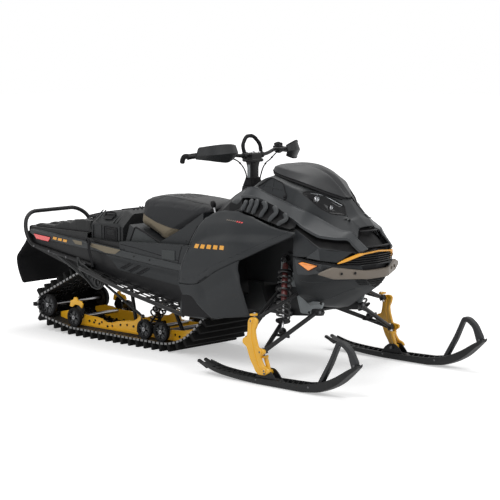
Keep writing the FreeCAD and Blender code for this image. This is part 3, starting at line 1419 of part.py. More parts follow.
right_cable_shares = ((-0.171, 0.915, 1.024), (-0.183, 0.549, 0.878), (-0.067, 0.305, 0.476), (-0.049, 0.268, 0.0))
left_cable_shares = ((-0.037, 0.854, 0.900), (0.159, 0.427, 0.960), (0.024, 0.300, 0.750), (0.049, 0.268, 0.415), (0.049, 0.268, 0.0))


def make_cables():
    """Two control cables from the pods on the bar down to the boot."""
    cables = []
    bend_at, end_at = bar_route()[-2:]
    start = between(bend_at, end_at, 0.10)
    low = boot_base() + boot_height + seat_gap
    for side, shares in ((-1, right_cable_shares), (1, left_cable_shares)):
        route = [point(start.x, side * (start.y + cable_radius), start.z - grip_radius)]
        for x, y, z in shares:
            route.append(point(column_x + riser_height * x, side * riser_height * y, riser_foot_z + riser_height * z))
        route[-1].z = low
        cables.append(bent_tube(route, cable_radius, cable_bend))
    pod = make_control()
    return Part.makeCompound([cable.cut(pod).cut(flipped(pod)) for cable in cables])


def bar_route():
    """Middle line of the handlebar from the rider's right grip to the left one."""
    z = riser_top_z + bar_seat + bar_radius + seat_gap
    left = [point(column_x, bar_flat_y, z), point(bar_bend_x, bar_bend_y, bar_bend_z), point(bar_end_x, bar_end_y, bar_end_z)]
    return [point(p.x, -p.y, p.z) for p in left[::-1]] + left


def make_handlebar():
    """Bent bar with a cross brace."""
    return bent_tube(bar_route(), bar_radius, bar_curve)


def grip_piece(radius, start_share, end_share):
    """A sleeve round the left bar end between two shares of its last run."""
    route = bar_route()
    start = between(route[-2], route[-1], start_share)
    end = between(route[-2], route[-1], end_share)
    body = rod(start, end, radius)
    core = rod(between(route[-2], route[-1], 0), between(route[-2], route[-1], 1), bar_radius + shaft_fit)
    return body.cut(core)


def make_strap():
    """Centre strap loop that stands over the riser."""
    z = riser_top_z + bar_seat + 2 * bar_radius + 2 * seat_gap
    lean = column_x - strap_lean
    side_x = column_x - 0.77 * strap_lean
    wide = strap_half_width * 1.2
    narrow = strap_half_width * 0.3
    foot_z = z + strap_radius / 4
    side_z = z + strap_height * 0.75
    route = [point(column_x, -wide, foot_z), point(side_x, -strap_half_width, side_z), point(lean, -narrow, z + strap_height),
             point(lean, narrow, z + strap_height), point(side_x, strap_half_width, side_z), point(column_x, wide, foot_z)]
    return bent_tube(route, strap_radius, strap_bend)


def make_guard():
    """Left hand guard: a curved shield in front of the grip."""
    route = bar_route()
    low = route[-2].z - guard_height * 0.55
    bend_x, bend_y = (route[-2].x, route[-2].y)
    end_x, end_y = (route[-1].x, route[-1].y)
    out = guard_reach
    plan = [(bend_x + 0.45 * out, bend_y - 0.64 * out), (bend_x + out, bend_y + 0.09 * out), (bend_x + 0.84 * out, bend_y + out),
            (end_x + 0.55 * out, end_y + 0.11 * out), (end_x + 0.11 * out, end_y + 0.27 * out)]
    back = [(x - guard_thickness, y - guard_thickness / 2) for x, y in plan]
    guard = plate_xy(plan + back[::-1], low, guard_height)
    face = [(bend_y - 0.82 * out, 0.35), (bend_y, 0.0), (end_y, 0.2), (end_y + 0.55 * out, 0.4), (end_y + 0.55 * out, 0.75),
            (end_y - 0.36 * out, 1.0), (bend_y, 1.0), (bend_y - 0.82 * out, 0.7)]
    trim = plate_yz([(y, low + guard_height * share) for y, share in face], 0, body_length)
    guard = guard.common(trim)
    way = route[-1].sub(route[-2]).normalize()
    start = route[-1].add(point(way.x, way.y, way.z).multiply(seat_gap))
    end = route[-1].add(point(way.x, way.y, way.z).multiply(2 * bar_radius))
    shield_end = point(plan[-1][0] - guard_thickness / 2, plan[-1][1] - guard_thickness / 2, end.z)
    return guard.fuse(rod(start, end, bar_radius)).fuse(rod(between(start, end, 0.5), shield_end, bar_radius * 0.7)).removeSplitter()


def make_control():
    """Left control pod round the bar, inboard of the grip."""
    route = bar_route()
    start = between(route[-2], route[-1], 0.10)
    end = between(route[-2], route[-1], 0.32)
    core = rod(route[-2], route[-1], bar_radius + shaft_fit)
    return rod(start, end, grip_radius * 1.7).cut(core)


# Nose pieces

def make_grille(skin):
    """Black nose piece below the trim and the upper grille in the beak, slotted across."""
    return skin.common(grille_cutter(panel_gap / 4)).cut(grille_slots())


lower_grille_shares = ((-0.262, 0.716), (0.262, 0.716), (0.40, 0.664), (0.40, 0.600), (-0.40, 0.600), (-0.40, 0.664))
upper_grille_shares = ((-0.122, 0.856), (0.122, 0.856), (0.19, 0.752), (-0.19, 0.752))


def grille_cutter(shrink):
    """Prisms along the machine through both grille openings."""
    pieces = []
    for shares in (lower_grille_shares, upper_grille_shares):
        ring = [(body_half_width * y, body_height * z) for y, z in shares]
        if shrink:
            ring = inset(ring, shrink)
        pieces.append(plate_yz(ring, body_start_x + body_length * 0.84, body_length))
    return Part.makeCompound(pieces)


def grille_slots():
    """Horizontal slots across the grille."""
    slots = []
    pitch = grille_pitch
    z = body_height * 0.672
    while z < body_height * 0.84:
        half = body_half_width * (0.10 if z > body_height * 0.74 else 0.20)
        slots.append(Part.makeBox(body_length, 2 * half, pitch / 2, point(body_start_x + body_length * 0.84, -half, z)))
        z += pitch
    return Part.makeCompound(slots)


trim_shares = ((-0.46, 0.664), (-0.282, 0.732), (0.282, 0.732), (0.46, 0.664), (0.40, 0.664), (0.262, 0.716), (-0.262, 0.716),
               (-0.40, 0.664))


def trim_cutter(shrink):
    """Prism along the machine through the trim line."""
    ring = [(body_half_width * y, body_height * z) for y, z in trim_shares]
    if shrink:
        ring = inset(ring, shrink)
    return plate_yz(ring, body_start_x + body_length * 0.80, body_length)


marker_shares = ((0.653, 0.665), (0.685, 0.674), (0.802, 0.662), (0.728, 0.628))


def marker_cutter(shrink):
    """Prism across the machine through both marker lamps."""
    ring = body_outline(marker_shares)
    if shrink:
        ring = inset(ring, shrink)
    return plate_xz(ring, -body_half_width, 2 * body_half_width)


def make_both(name, shape):
    """Write a left piece and its mirror image."""
    save(name + "_left", shape)
    save(name + "_right", flipped(shape))


def save_pair(name, shape):
    """Write a left piece and its mirror image as one sub-part."""
    save(name, Part.makeCompound([shape, flipped(shape)]))


os.makedirs("parts", exist_ok=True)
save("track", make_track())
save("idler_wheels", make_wheels())
save("skid_shafts", make_shafts())
save_pair("slide_rails", make_rails())
save("skid_arms", make_skid_arms())
save("skid_shock", make_skid_shock())
save("drive_axle", make_drive_axle())
save("tunnel", make_tunnel())
save_pair("running_boards", make_running_board())
save_pair("strakes", make_strake())
save("rear_deck", make_deck())
save("rear_hoop", make_hoop())
save("snow_flap", make_flap())
save_pair("taillights", make_taillight())
save("hitch", make_hitch())
save("storage_module", make_module())
save("seat", make_seat())
save("tank_cover", make_cover())
save("console", make_console())
save("gear_lever", make_gear_lever(make_console()))
save("engine_block", make_engine())

hood, belly, lamps = make_pod_pieces()
proud = pod_solid(-panel_wall / 2).cut(pod_solid(panel_wall))
nose_skin = pod_solid(0).cut(pod_solid(panel_wall)).common(waist_cutter(True, panel_gap / 2))
save("hood", hood.cut(trim_cutter(0)).cut(grille_cutter(0)))
save("nose_trim", proud.common(trim_cutter(panel_gap / 4)).common(waist_cutter(True, panel_gap / 2)))
save("nose_grille", make_grille(nose_skin))
save("marker_lamps", belly.common(marker_cutter(panel_gap / 4)))
save("belly_pan", belly.cut(marker_cutter(0)))
save("headlights", Part.makeCompound([lamps["right"], lamps["left"]]))
for name, shape in make_flank_pieces().items():
    save_pair(name + "s", shape)
save("windshield", make_windshield())
save_pair("louvres", make_louvre())
save("front_bumper", make_bumper().cut(pod_solid(-seat_gap)))

save("front_frame", make_frame())
save_pair("lower_arms", make_lower_arm())
save_pair("upper_arms", make_arm(1, upper_inner(), upper_arm_radius))
save_pair("front_shocks", make_shock())
save_pair("front_springs", make_spring())
make_both("spindle", make_spindle())
make_both("ski", make_ski())
make_both("tie_rod", make_tie_rod())

save("riser", make_riser())
save("handlebar", make_handlebar())
save_pair("grips", grip_piece(grip_radius, 0.36, 1.0))
save("centre_strap", make_strap())
save("control_cables", make_cables())
save_pair("hand_guards", make_guard())
save_pair("control_pods", make_control())
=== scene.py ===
import bpy
import bmesh
import json
import math
import numpy as np
from mathutils import Matrix, Vector
from mathutils.bvhtree import BVHTree

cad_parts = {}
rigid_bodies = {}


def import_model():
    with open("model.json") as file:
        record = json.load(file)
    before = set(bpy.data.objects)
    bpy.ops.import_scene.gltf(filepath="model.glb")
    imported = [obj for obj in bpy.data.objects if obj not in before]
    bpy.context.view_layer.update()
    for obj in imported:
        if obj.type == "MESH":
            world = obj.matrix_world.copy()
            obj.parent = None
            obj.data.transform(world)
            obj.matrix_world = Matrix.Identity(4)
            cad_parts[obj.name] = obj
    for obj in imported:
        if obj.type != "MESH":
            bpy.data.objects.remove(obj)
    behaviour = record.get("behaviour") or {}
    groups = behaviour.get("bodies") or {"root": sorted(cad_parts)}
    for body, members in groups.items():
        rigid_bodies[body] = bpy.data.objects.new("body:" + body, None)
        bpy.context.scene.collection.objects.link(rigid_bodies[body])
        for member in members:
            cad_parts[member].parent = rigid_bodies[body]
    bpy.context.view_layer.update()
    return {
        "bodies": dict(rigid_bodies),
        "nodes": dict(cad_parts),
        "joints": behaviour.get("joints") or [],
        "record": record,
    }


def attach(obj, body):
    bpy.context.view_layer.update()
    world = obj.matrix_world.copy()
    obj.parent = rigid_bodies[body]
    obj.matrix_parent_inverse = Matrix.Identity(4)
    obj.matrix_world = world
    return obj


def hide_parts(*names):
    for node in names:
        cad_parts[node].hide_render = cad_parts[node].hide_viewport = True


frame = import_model()

# Camera, floor and lamps

cameraView = {
    "place": (7.948, -7.951, 2.0539),
    "turn": 43.998,          # degrees round from the machine's right side to its front
    "rise": 7.236,           # degrees above the floor
    "roll": -.124,
    "focalPixels": 1853.88,
    "imagePixels": 500,
}


def makeCamera(view):
    turn, rise = math.radians(view["turn"]), math.radians(view["rise"])
    back = Vector((math.sin(turn) * math.cos(rise), -math.cos(turn) * math.cos(rise), math.sin(rise)))
    right = Vector((math.cos(turn), math.sin(turn), 0))
    up = back.cross(right)
    basis = Matrix((right, up, back)).transposed().to_4x4()
    basis = Matrix.Translation(view["place"]) @ basis @ Matrix.Rotation(math.radians(view["roll"]), 4, "Z")
    lens = bpy.data.cameras.new("camera")
    lens.sensor_width = 36
    lens.lens = view["focalPixels"] * lens.sensor_width / view["imagePixels"]
    lens.clip_end = 100
    camera = bpy.data.objects.new("camera", lens)
    camera.matrix_world = basis
    bpy.context.scene.collection.objects.link(camera)
    bpy.context.scene.camera = camera


studio = {
    "floorColour": (.8, .8, .8, 1),
    "floorSize": 60,
    "floorLift": .42,       # glow that only the camera sees, so the bare floor renders white
    "floorNear": (1.2, 4.5),     # distances between which the glow rises to full white
    "worldLight": .42,
    "lamps": (               # name, place, size, watts
        ("keyLamp", (2.0, -5.0, 6.0), 4.0, 240),
        ("topLamp", (-1.0, 1.5, 6.5), 5.0, 200),
        ("frontLamp", (6.5, 1.0, 3.0), 3.0, 80),
    ),
    "lampAim": (0.0, 0.0, .5),
}


def linkNodes(tree, pairs):
    for source, target in pairs:
        tree.links.new(source, target)


def setInputs(node, values):
    for label, value in values.items():
        node.inputs[label].default_value = value


def cameraRays(tree):
    # one where the camera, a reflection or a clear pane looks, nought for the light on the object
    path = tree.nodes.new("ShaderNodeLightPath")
    glossy = tree.nodes.new("ShaderNodeMath")
    glossy.operation = "MAXIMUM"
    clear = tree.nodes.new("ShaderNodeMath")
    clear.operation = "MAXIMUM"
    linkNodes(tree, ((path.outputs["Is Camera Ray"], glossy.inputs[0]),
        (path.outputs["Is Transmission Ray"], glossy.inputs[1]), (glossy.outputs[0], clear.inputs[0]),
        (path.outputs["Is Glossy Ray"], clear.inputs[1]),))
    return clear.outputs[0]


def makeStudio(facts):
    world = bpy.data.worlds.new("studioWorld")
    bpy.context.scene.world = world
    world.use_nodes = True
    tree = world.node_tree
    tree.nodes.clear()
    out = tree.nodes.new("ShaderNodeOutputWorld")
    light = tree.nodes.new("ShaderNodeBackground")
    setInputs(light, {"Strength": facts["worldLight"]})
    seen = tree.nodes.new("ShaderNodeBackground")
    setInputs(seen, {"Color": (1, 1, 1, 1), "Strength": 1})
    mix = tree.nodes.new("ShaderNodeMixShader")
    linkNodes(tree, ((cameraRays(tree), mix.inputs[0]), (light.outputs[0], mix.inputs[1]),
        (seen.outputs[0], mix.inputs[2]), (mix.outputs[0], out.inputs["Surface"])))

    half = facts["floorSize"] / 2
    mesh = bpy.data.meshes.new("floor")
    mesh.from_pydata([(x * half, y * half, 0) for x, y in ((-1, -1), (1, -1), (1, 1), (-1, 1))], [],
        [(0, 1, 2, 3)])
    floor = bpy.data.objects.new("floor", mesh)
    bpy.context.scene.collection.objects.link(floor)
    material = bpy.data.materials.new("floorWhite")
    material.use_nodes = True
    tree = material.node_tree
    shader = tree.nodes["Principled BSDF"]
    setInputs(shader, {"Base Color": facts["floorColour"], "Roughness": 1, "Specular IOR Level": 0,
        "Emission Color": (1, 1, 1, 1)})
    reach = tree.nodes.new("ShaderNodeVectorMath")
    reach.operation = "LENGTH"
    far = tree.nodes.new("ShaderNodeMapRange")
    far.interpolation_type = "SMOOTHSTEP"
    for socket, value in zip(list(far.inputs)[1:5], (*facts["floorNear"], facts["floorLift"], 1)):
        socket.default_value = value
    lift = tree.nodes.new("ShaderNodeMath")
    lift.operation = "MULTIPLY"
    linkNodes(tree, ((tree.nodes.new("ShaderNodeTexCoord").outputs["Object"], reach.inputs[0]),
        (reach.outputs["Value"], far.inputs["Value"]), (cameraRays(tree), lift.inputs[0]),
        (far.outputs["Result"], lift.inputs[1]), (lift.outputs[0], shader.inputs["Emission Strength"]),))
    mesh.materials.append(material)

    for name, place, size, watts in facts["lamps"]:
        lamp = bpy.data.lights.new(name, "AREA")
        lamp.shape = "DISK"
        lamp.size = size
        lamp.energy = watts
        holder = bpy.data.objects.new(name, lamp)
        aim = Vector(facts["lampAim"]) - Vector(place)
        holder.matrix_world = Matrix.Translation(place) @ aim.to_track_quat("-Z", "Y").to_matrix().to_4x4()
        bpy.context.scene.collection.objects.link(holder)


makeCamera(cameraView)
makeStudio(studio)
bpy.context.scene.view_settings.view_transform = "Standard"
print("studio ready")

# Shared shader effects, each a node group that puts out only values, colours or normals


def newGroup(name, inputs, outputs):
    group = bpy.data.node_groups.new(name, "ShaderNodeTree")
    for label, kind, value in inputs:
        socket = group.interface.new_socket(label, in_out="INPUT", socket_type=kind)
        socket.default_value = value
    for label, kind in outputs:
        group.interface.new_socket(label, in_out="OUTPUT", socket_type=kind)
    return group, group.nodes.new("NodeGroupInput"), group.nodes.new("NodeGroupOutput")


def noiseNode(tree, vector, scale, detail=3, rough=.55):
    noise = tree.nodes.new("ShaderNodeTexNoise")
    setInputs(noise, {"Detail": detail, "Roughness": rough})
    tree.links.new(vector, noise.inputs["Vector"])
    if isinstance(scale, (int, float)):
        setInputs(noise, {"Scale": scale})
    else:
        tree.links.new(scale, noise.inputs["Scale"])
    return noise.outputs["Fac"]


def mathNode(tree, operation, first, second=None, third=None, clamp=False):
    node = tree.nodes.new("ShaderNodeMath")
    node.operation = operation
    node.use_clamp = clamp
    for socket, value in zip(node.inputs, (first, second, third)):
        if value is None:
            continue
        if isinstance(value, (int, float)):
            socket.default_value = value
        else:
            tree.links.new(value, socket)
    return node.outputs[0]


def mixColour(tree, share, first, second):
    node = tree.nodes.new("ShaderNodeMix")
    node.data_type = "RGBA"
    for socket, value in ((node.inputs[0], share), (node.inputs[6], first), (node.inputs[7], second)):
        if isinstance(value, (int, float)):
            socket.default_value = value
        elif isinstance(value, tuple):
            socket.default_value = (*value, 1)
        else:
            tree.links.new(value, socket)
    return node.outputs[2]


def makeWearGroup():
    # dusty film on faces that look up, scuffs in broad soft patches, and a fine grain
    group, given, result = newGroup("handledSurface",
        (("Colour", "NodeSocketColor", (.1, .1, .1, 1)), ("Dust", "NodeSocketFloat", .1),
        ("Scuff", "NodeSocketFloat", .2), ("Roughness", "NodeSocketFloat", .5),
        ("Grain Size", "NodeSocketFloat", 900.0)),
        (("Colour", "NodeSocketColor"), ("Roughness", "NodeSocketFloat"), ("Height", "NodeSocketFloat")))
    place = group.nodes.new("ShaderNodeTexCoord").outputs["Object"]
    facing = group.nodes.new("ShaderNodeNewGeometry")
    parts = group.nodes.new("ShaderNodeSeparateXYZ")
    group.links.new(facing.outputs["Normal"], parts.inputs[0])
    up = mathNode(group, "MULTIPLY_ADD", parts.outputs["Z"], 1.4, -.4, clamp=True)
    cloud = noiseNode(group, place, 5.0, 5)
    patch = mathNode(group, "MULTIPLY_ADD", cloud, 2.4, -.75, clamp=True)
    film = mathNode(group, "MULTIPLY", mathNode(group, "MULTIPLY", up, patch), given.outputs["Dust"])
    streak = noiseNode(group, place, 38.0, 6, .7)
    scuff = mathNode(group, "MULTIPLY", mathNode(group, "MULTIPLY_ADD", streak, 3.2, -1.75, clamp=True),
        given.outputs["Scuff"])
    dusty = mixColour(group, film, given.outputs["Colour"], (.3, .29, .27))
    worn = mixColour(group, mathNode(group, "MULTIPLY", scuff, .22), dusty, (.22, .22, .22))
    drift = mathNode(group, "MULTIPLY_ADD", cloud, .1, -.05)
    rough = mathNode(group, "ADD", mathNode(group, "ADD", given.outputs["Roughness"], drift),
        mathNode(group, "MULTIPLY", film, .5), clamp=True)
    rough = mathNode(group, "ADD", rough, mathNode(group, "MULTIPLY", scuff, .15), clamp=True)
    grain = noiseNode(group, place, given.outputs["Grain Size"], 2)
    linkNodes(group, ((worn, result.inputs["Colour"]), (rough, result.inputs["Roughness"]),
        (grain, result.inputs["Height"])))
    return group


wearGroup = makeWearGroup()
bumpDistance = .0006
coatRoughness = .08


def makeFinish(name, colour, rough, grain=.1, grainSize=900.0, dust=.08, scuff=.2, metal=0.0, coat=0.0,
        specular=.5, sheen=0.0, glow=0.0, clear=0.0):
    material = bpy.data.materials.new(name)
    material.use_nodes = True
    tree = material.node_tree
    shader = tree.nodes["Principled BSDF"]
    wear = tree.nodes.new("ShaderNodeGroup")
    wear.node_tree = wearGroup
    setInputs(wear, {"Colour": (*colour, 1), "Dust": dust, "Scuff": scuff, "Roughness": rough,
        "Grain Size": grainSize})
    bump = tree.nodes.new("ShaderNodeBump")
    setInputs(bump, {"Strength": grain, "Distance": bumpDistance})
    setInputs(shader, {"Metallic": metal, "Coat Weight": coat, "Coat Roughness": coatRoughness,
        "Specular IOR Level": specular, "Sheen Weight": sheen, "Transmission Weight": clear})
    if glow:
        setInputs(shader, {"Emission Color": (*colour, 1), "Emission Strength": glow})
    linkNodes(tree, ((wear.outputs["Colour"], shader.inputs["Base Color"]),
        (wear.outputs["Roughness"], shader.inputs["Roughness"]),
        (wear.outputs["Height"], bump.inputs["Height"]), (bump.outputs["Normal"], shader.inputs["Normal"])))
    return material


# one finish for each slot
finishes = {
    "charcoal": makeFinish("charcoalPanel", (.019, .021, .023), .44, grain=.05, specular=.24),
    "black_plastic": makeFinish("blackMoulding", (.006, .006, .007), .55, grain=.35, grainSize=700,
        specular=.16),
    "rail_grey": makeFinish("satinRail", (.036, .039, .042), .4, grain=.05, specular=.3),
    "shield_grey": makeFinish("shieldMatt", (.018, .019, .021), .42, grain=.1, specular=.24),
    "taupe": makeFinish("taupeMoulding", (.15, .125, .1), .5, grain=.25, scuff=.4),
    "seat_cover": makeFinish("seatVinyl", (.02, .021, .023), .6, grain=.6, grainSize=420, sheen=.08, dust=.12,
        specular=.22),
    "yellow_metal": makeFinish("yellowPowderCoat", (.83, .43, .018), .38, grain=.2, grainSize=500, coat=.2,
        scuff=.5),
    "orange_trim": makeFinish("orangeTrim", (.86, .38, .015), .35, grain=.05, coat=.4),
    "amber": makeFinish("amberLens", (.85, .25, .01), .18, grain=0.0, coat=1.0, glow=.25),
    "red_lens": makeFinish("redLens", (.62, .035, .035), .2, grain=0.0, coat=1.0, glow=.35),
    "lamp_glass": makeFinish("lampGlass", (.5, .53, .56), .08, grain=0.0, coat=1.0, clear=.6, dust=0.0,
        scuff=0.0),
    "track_rubber": makeFinish("trackRubber", (.008, .008, .008), .75, grain=.5, grainSize=350, dust=.12,
        specular=.14),
    "rubber": makeFinish("softRubber", (.008, .008, .009), .7, grain=.3, grainSize=500, dust=.08,
        specular=.16),
    "black_metal": makeFinish("blackPowderCoat", (.008, .008, .009), .42, grain=.2, grainSize=600,
        specular=.22),
    "cast_grey": makeFinish("castAlloy", (.27, .29, .3), .5, grain=.5, grainSize=380, metal=.3, scuff=.4,
        specular=.3),
    "steel": makeFinish("machinedSteel", (.42, .42, .43), .32, grain=.1, metal=1.0),
    "engine_grey": makeFinish("engineAlloy", (.16, .165, .17), .5, grain=.4, metal=.6),
}
# finishes of single pieces, each with the slot that it stands for
ownFinishes = {
    "glossBlack": ("black_plastic", makeFinish("glossBlackBezel", (.004, .004, .005), .22, grain=.02,
        coat=.15, specular=.16, dust=.03, scuff=.05)),
    "lampGlow": ("lamp_glass", makeFinish("daylightStrip", (.42, .44, .46), .25, grain=0.0, glow=.12,
        dust=0.0, scuff=0.0)),
    "seatTan": ("seat_cover", makeFinish("seatTanVinyl", (.215, .18, .125), .6, grain=.5, grainSize=420,
        sheen=.1, specular=.3)),
    "threadGrey": ("rubber", makeFinish("threadGrey", (.1, .1, .1), .7, grain=.2)),
    "patchGrey": ("charcoal", makeFinish("patchGrey", (.034, .038, .039), .5, grain=.2, grainSize=500,
        specular=.3)),
    "boltSteel": ("steel", makeFinish("boltSteel", (.11, .11, .115), .42, grain=.1, metal=.8, specular=.3)),
    "tanFilm": ("taupe", makeFinish("tanFilm", (.19, .16, .112), .5, grain=.1, specular=.3, scuff=.4)),
    "railSatin": ("rail_grey", makeFinish("railSatin", (.03, .033, .035), .42, grain=.08, specular=.28)),
    "forgedBlack": ("black_metal", makeFinish("forgedBlack", (.016, .017, .018), .45, grain=.4, grainSize=420,
        specular=.28)),
    "deckBlack": ("black_plastic",
        makeFinish("deckMoulding", (.012, .0125, .013), .5, grain=.35, grainSize=650, specular=.28)),
    "caseGrey": ("black_plastic", makeFinish("caseMoulding", (.016, .017, .018), .5, grain=.3, grainSize=650,
        specular=.26)),
    # slide rail yellow: brighter than the powder coat and given a glow, painted fill light on rails that
    # stand in shade
    "railYellowPaintedFill": ("yellow_metal", makeFinish("railYellowPaintedFill", (.9, .47, .02), .4, grain=.2, grainSize=500,
        coat=.15, scuff=.6, glow=.1)),
    "wheelGrey": ("black_plastic", makeFinish("wheelMoulding", (.05, .052, .055), .42, grain=.2, dust=.1)),
    "clipSteel": ("steel", makeFinish("clipSteel", (.2, .2, .2), .4, metal=.9, grain=.1)),
    "skiBlack": ("black_plastic", makeFinish("skiMoulding", (.01, .0105, .011), .5, grain=.3, grainSize=650,
        dust=.06, scuff=.5, specular=.24)),
    "loopGrey": ("black_plastic", makeFinish("loopMoulding", (.022, .023, .025), .45, grain=.2, scuff=.3,
        specular=.26)),
    "springBlack": ("black_metal", makeFinish("springBlack", (.01, .01, .011), .35, grain=.1, specular=.4,
        coat=.1)),
    "damperRed": ("steel", makeFinish("damperBody", (.13, .03, .028), .4, grain=.1, specular=.4)),
    "guardGrey": ("black_plastic",
        makeFinish("guardMoulding", (.016, .017, .018), .45, grain=.2, specular=.28)),
}
print("finishes ready", len(finishes) + len(ownFinishes))


# Tools for making surfaces


def curveThrough(knots, at):
    # cubic through rows (t, values...), with the slope at each knot a weighted mean of the chords beside it
    knots = np.asarray(knots, float)
    t, values = knots[:, 0], knots[:, 1:]
    at = np.asarray(at, float)
    gap = np.diff(t)[:, None]
    chord = np.diff(values, axis=0) / gap
    slope = np.vstack((chord[:1], (chord[:-1] * gap[1:] + chord[1:] * gap[:-1]) / (gap[1:] + gap[:-1]),
        chord[-1:]))
    i = np.clip(np.searchsorted(t, at, side="right") - 1, 0, len(t) - 2)
    w = ((at - t[i]) / gap[i, 0])[:, None]
    near, far, width = values[i], values[i + 1], gap[i]
    return (near * (1 + 2 * w) * (1 - w) ** 2 + slope[i] * width * w * (1 - w) ** 2
        + far * w * w * (3 - 2 * w) + slope[i + 1] * width * w * w * (w - 1))


def distanceAlong(points):
    return np.concatenate(([0], np.cumsum(np.linalg.norm(np.diff(points, axis=0), axis=1))))


def unitRows(rows):
    return rows / np.linalg.norm(rows, axis=1)[:, None]


def softStep(value, start, end):
    # rises from 0 to 1 between start and end as 3 s^2 - 2 s^3
    share = np.clip((value - start) / (end - start), 0, 1)
    return share ** 2 * (3 - 2 * share)


def acrossMiddle(half):
    # a left half line, from its outer end to the middle, with its mirror image before it
    return np.concatenate((half * (1, -1, 1), half[-2::-1]))


def spacedAlong(points, step, closed=False):
    # points at even steps along a polyline
    points = np.asarray(points, float)
    if closed:
        points = np.vstack((points, points[:1]))
    reach = distanceAlong(points)
    count = max(2, int(round(reach[-1] / step)) + 1)
    at = np.linspace(0, reach[-1], count)
    spaced = np.column_stack([np.interp(at, reach, points[:, k]) for k in range(points.shape[1])])
    return spaced[:-1] if closed else spaced


def smoothPath(points, step, closed=False):
    # cubic through the points by arc length, then even steps
    points = np.asarray(points, float)
    if closed:
        points = np.vstack((points[-2:], points, points[:3]))
    reach = distanceAlong(points)
    low, high = (reach[2], reach[-3]) if closed else (0, reach[-1])
    at = np.linspace(low, high, max(3, int(round((high - low) / step)) + 1))
    line = curveThrough(np.column_stack((reach, points)), at)
    return line[:-1] if closed else line


def roundedPath(points, bend, steps=6):
    # straight runs whose corners are quadratic curves that start a bend's length before the corner
    points = [np.asarray(point, float) for point in points]
    bends = bend if isinstance(bend, (list, tuple)) else [bend] * (len(points) - 2)
    line = [points[0][None]]
    for before, corner, after, reach in zip(points, points[1:], points[2:], bends):
        start = (corner + (before - corner) / np.linalg.norm(before - corner)
            * min(reach, .49 * np.linalg.norm(before - corner)))
        end = (corner + (after - corner) / np.linalg.norm(after - corner)
            * min(reach, .49 * np.linalg.norm(after - corner)))
        w = np.linspace(0, 1, steps + 1)[:, None]
        line.append(start * (1 - w) ** 2 + 2 * corner * w * (1 - w) + end * w * w)
    return np.vstack(line + [points[-1][None]])


def roundedLoop(outline, bend, steps=4):
    # a closed outline with quadratic corners
    outline = np.asarray(outline, float)
    before, after = np.roll(outline, 1, axis=0), np.roll(outline, -1, axis=0)
    w = np.linspace(0, 1, steps + 1)[None, :, None]
    backWay, onWay = before - outline, after - outline
    backSize, onSize = np.linalg.norm(backWay, axis=1)[:, None], np.linalg.norm(onWay, axis=1)[:, None]
    start = outline + backWay / backSize * np.minimum(bend, .45 * backSize)
    end = outline + onWay / onSize * np.minimum(bend, .45 * onSize)
    return (start[:, None] * (1 - w) ** 2 + 2 * outline[:, None] * w * (1 - w)
        + end[:, None] * w * w).reshape(-1, outline.shape[1])


def gridPart(points, wrapRows=False, wrapColumns=False, flip=False):
    # a grid of points as quads
    points = np.asarray(points, float)
    rows, columns = points.shape[:2]
    number = np.arange(rows * columns).reshape(rows, columns)
    if wrapRows:
        number = np.vstack((number, number[:1]))
    if wrapColumns:
        number = np.hstack((number, number[:, :1]))
    faces = np.stack((number[:-1, :-1], number[1:, :-1], number[1:, 1:], number[:-1, 1:]),
        axis=-1).reshape(-1, 4)
    if flip:
        faces = faces[:, ::-1]
    return points.reshape(-1, 3), faces.tolist()


def ringPart(rings, capStart=True, wrapRows=False):
    # closed rings joined in turn, with one face over each open end
    points, faces = gridPart(rings, wrapRows=wrapRows, wrapColumns=True)
    count = np.shape(rings)[1]
    if capStart and not wrapRows:
        faces.append(list(range(count)))
    if not wrapRows:
        faces.append(list(range(len(points) - 1, len(points) - count - 1, -1)))
    return points, faces


def pathFrames(path, closed=False, up=None):
    # two cross directions at each point of a path: level with up where given, else carried on without twist
    path = np.asarray(path, float)
    if closed:
        ahead = np.roll(path, -1, axis=0) - np.roll(path, 1, axis=0)
    else:
        ahead = np.gradient(path, axis=0)
    ahead = unitRows(ahead)
    if up is not None:
        side = unitRows(np.cross(np.asarray(up, float)[None], ahead))
        return side, np.cross(ahead, side)
    first = np.cross(ahead[0], (0, 0, 1) if abs(ahead[0][2]) < .9 else (1, 0, 0))
    sides = [first / np.linalg.norm(first)]
    for way in ahead[1:]:
        moved = sides[-1] - way * np.dot(sides[-1], way)
        sides.append(moved / np.linalg.norm(moved))
    side = np.array(sides)
    return side, np.cross(ahead, side)


def sweepPart(path, profile, closed=False, up=None, grow=None):
    # a closed profile (across, above) carried along a path, scaled at each point by grow
    side, over = pathFrames(path, closed, up)
    profile = np.asarray(profile, float)
    scale = np.ones(len(path)) if grow is None else np.asarray(grow, float)
    rings = (np.asarray(path)[:, None] + side[:, None] * profile[None, :, :1] * scale[:, None, None]
        + over[:, None] * profile[None, :, 1:] * scale[:, None, None])
    return ringPart(rings, wrapRows=closed)


def circleProfile(radius, sides):
    angle = np.linspace(0, 2 * np.pi, sides, endpoint=False)
    return np.column_stack((np.cos(angle), np.sin(angle))) * radius


def tubePart(path, radius, sides=12, closed=False, grow=None):
    return sweepPart(path, circleProfile(radius, sides), closed=closed, grow=grow)


def lathePart(profile, start, way, sides=32, hollow=False):
    # a profile of (radius, distance along) turned round a line; a hollow one has a hole through it
    way = np.asarray(way, float) / np.linalg.norm(way)
    side = np.cross(way, (0, 0, 1) if abs(way[2]) < .9 else (1, 0, 0))
    side /= np.linalg.norm(side)
    over = np.cross(way, side)
    angle = np.linspace(0, 2 * np.pi, sides, endpoint=False)
    ring = side[None] * np.cos(angle)[:, None] + over[None] * np.sin(angle)[:, None]
    profile = np.asarray(profile, float)
    rings = (np.asarray(start, float) + way * profile[:, None, 1:]
        + ring[None] * np.maximum(profile[:, None, :1], 1e-5))
    return ringPart(rings, wrapRows=hollow)


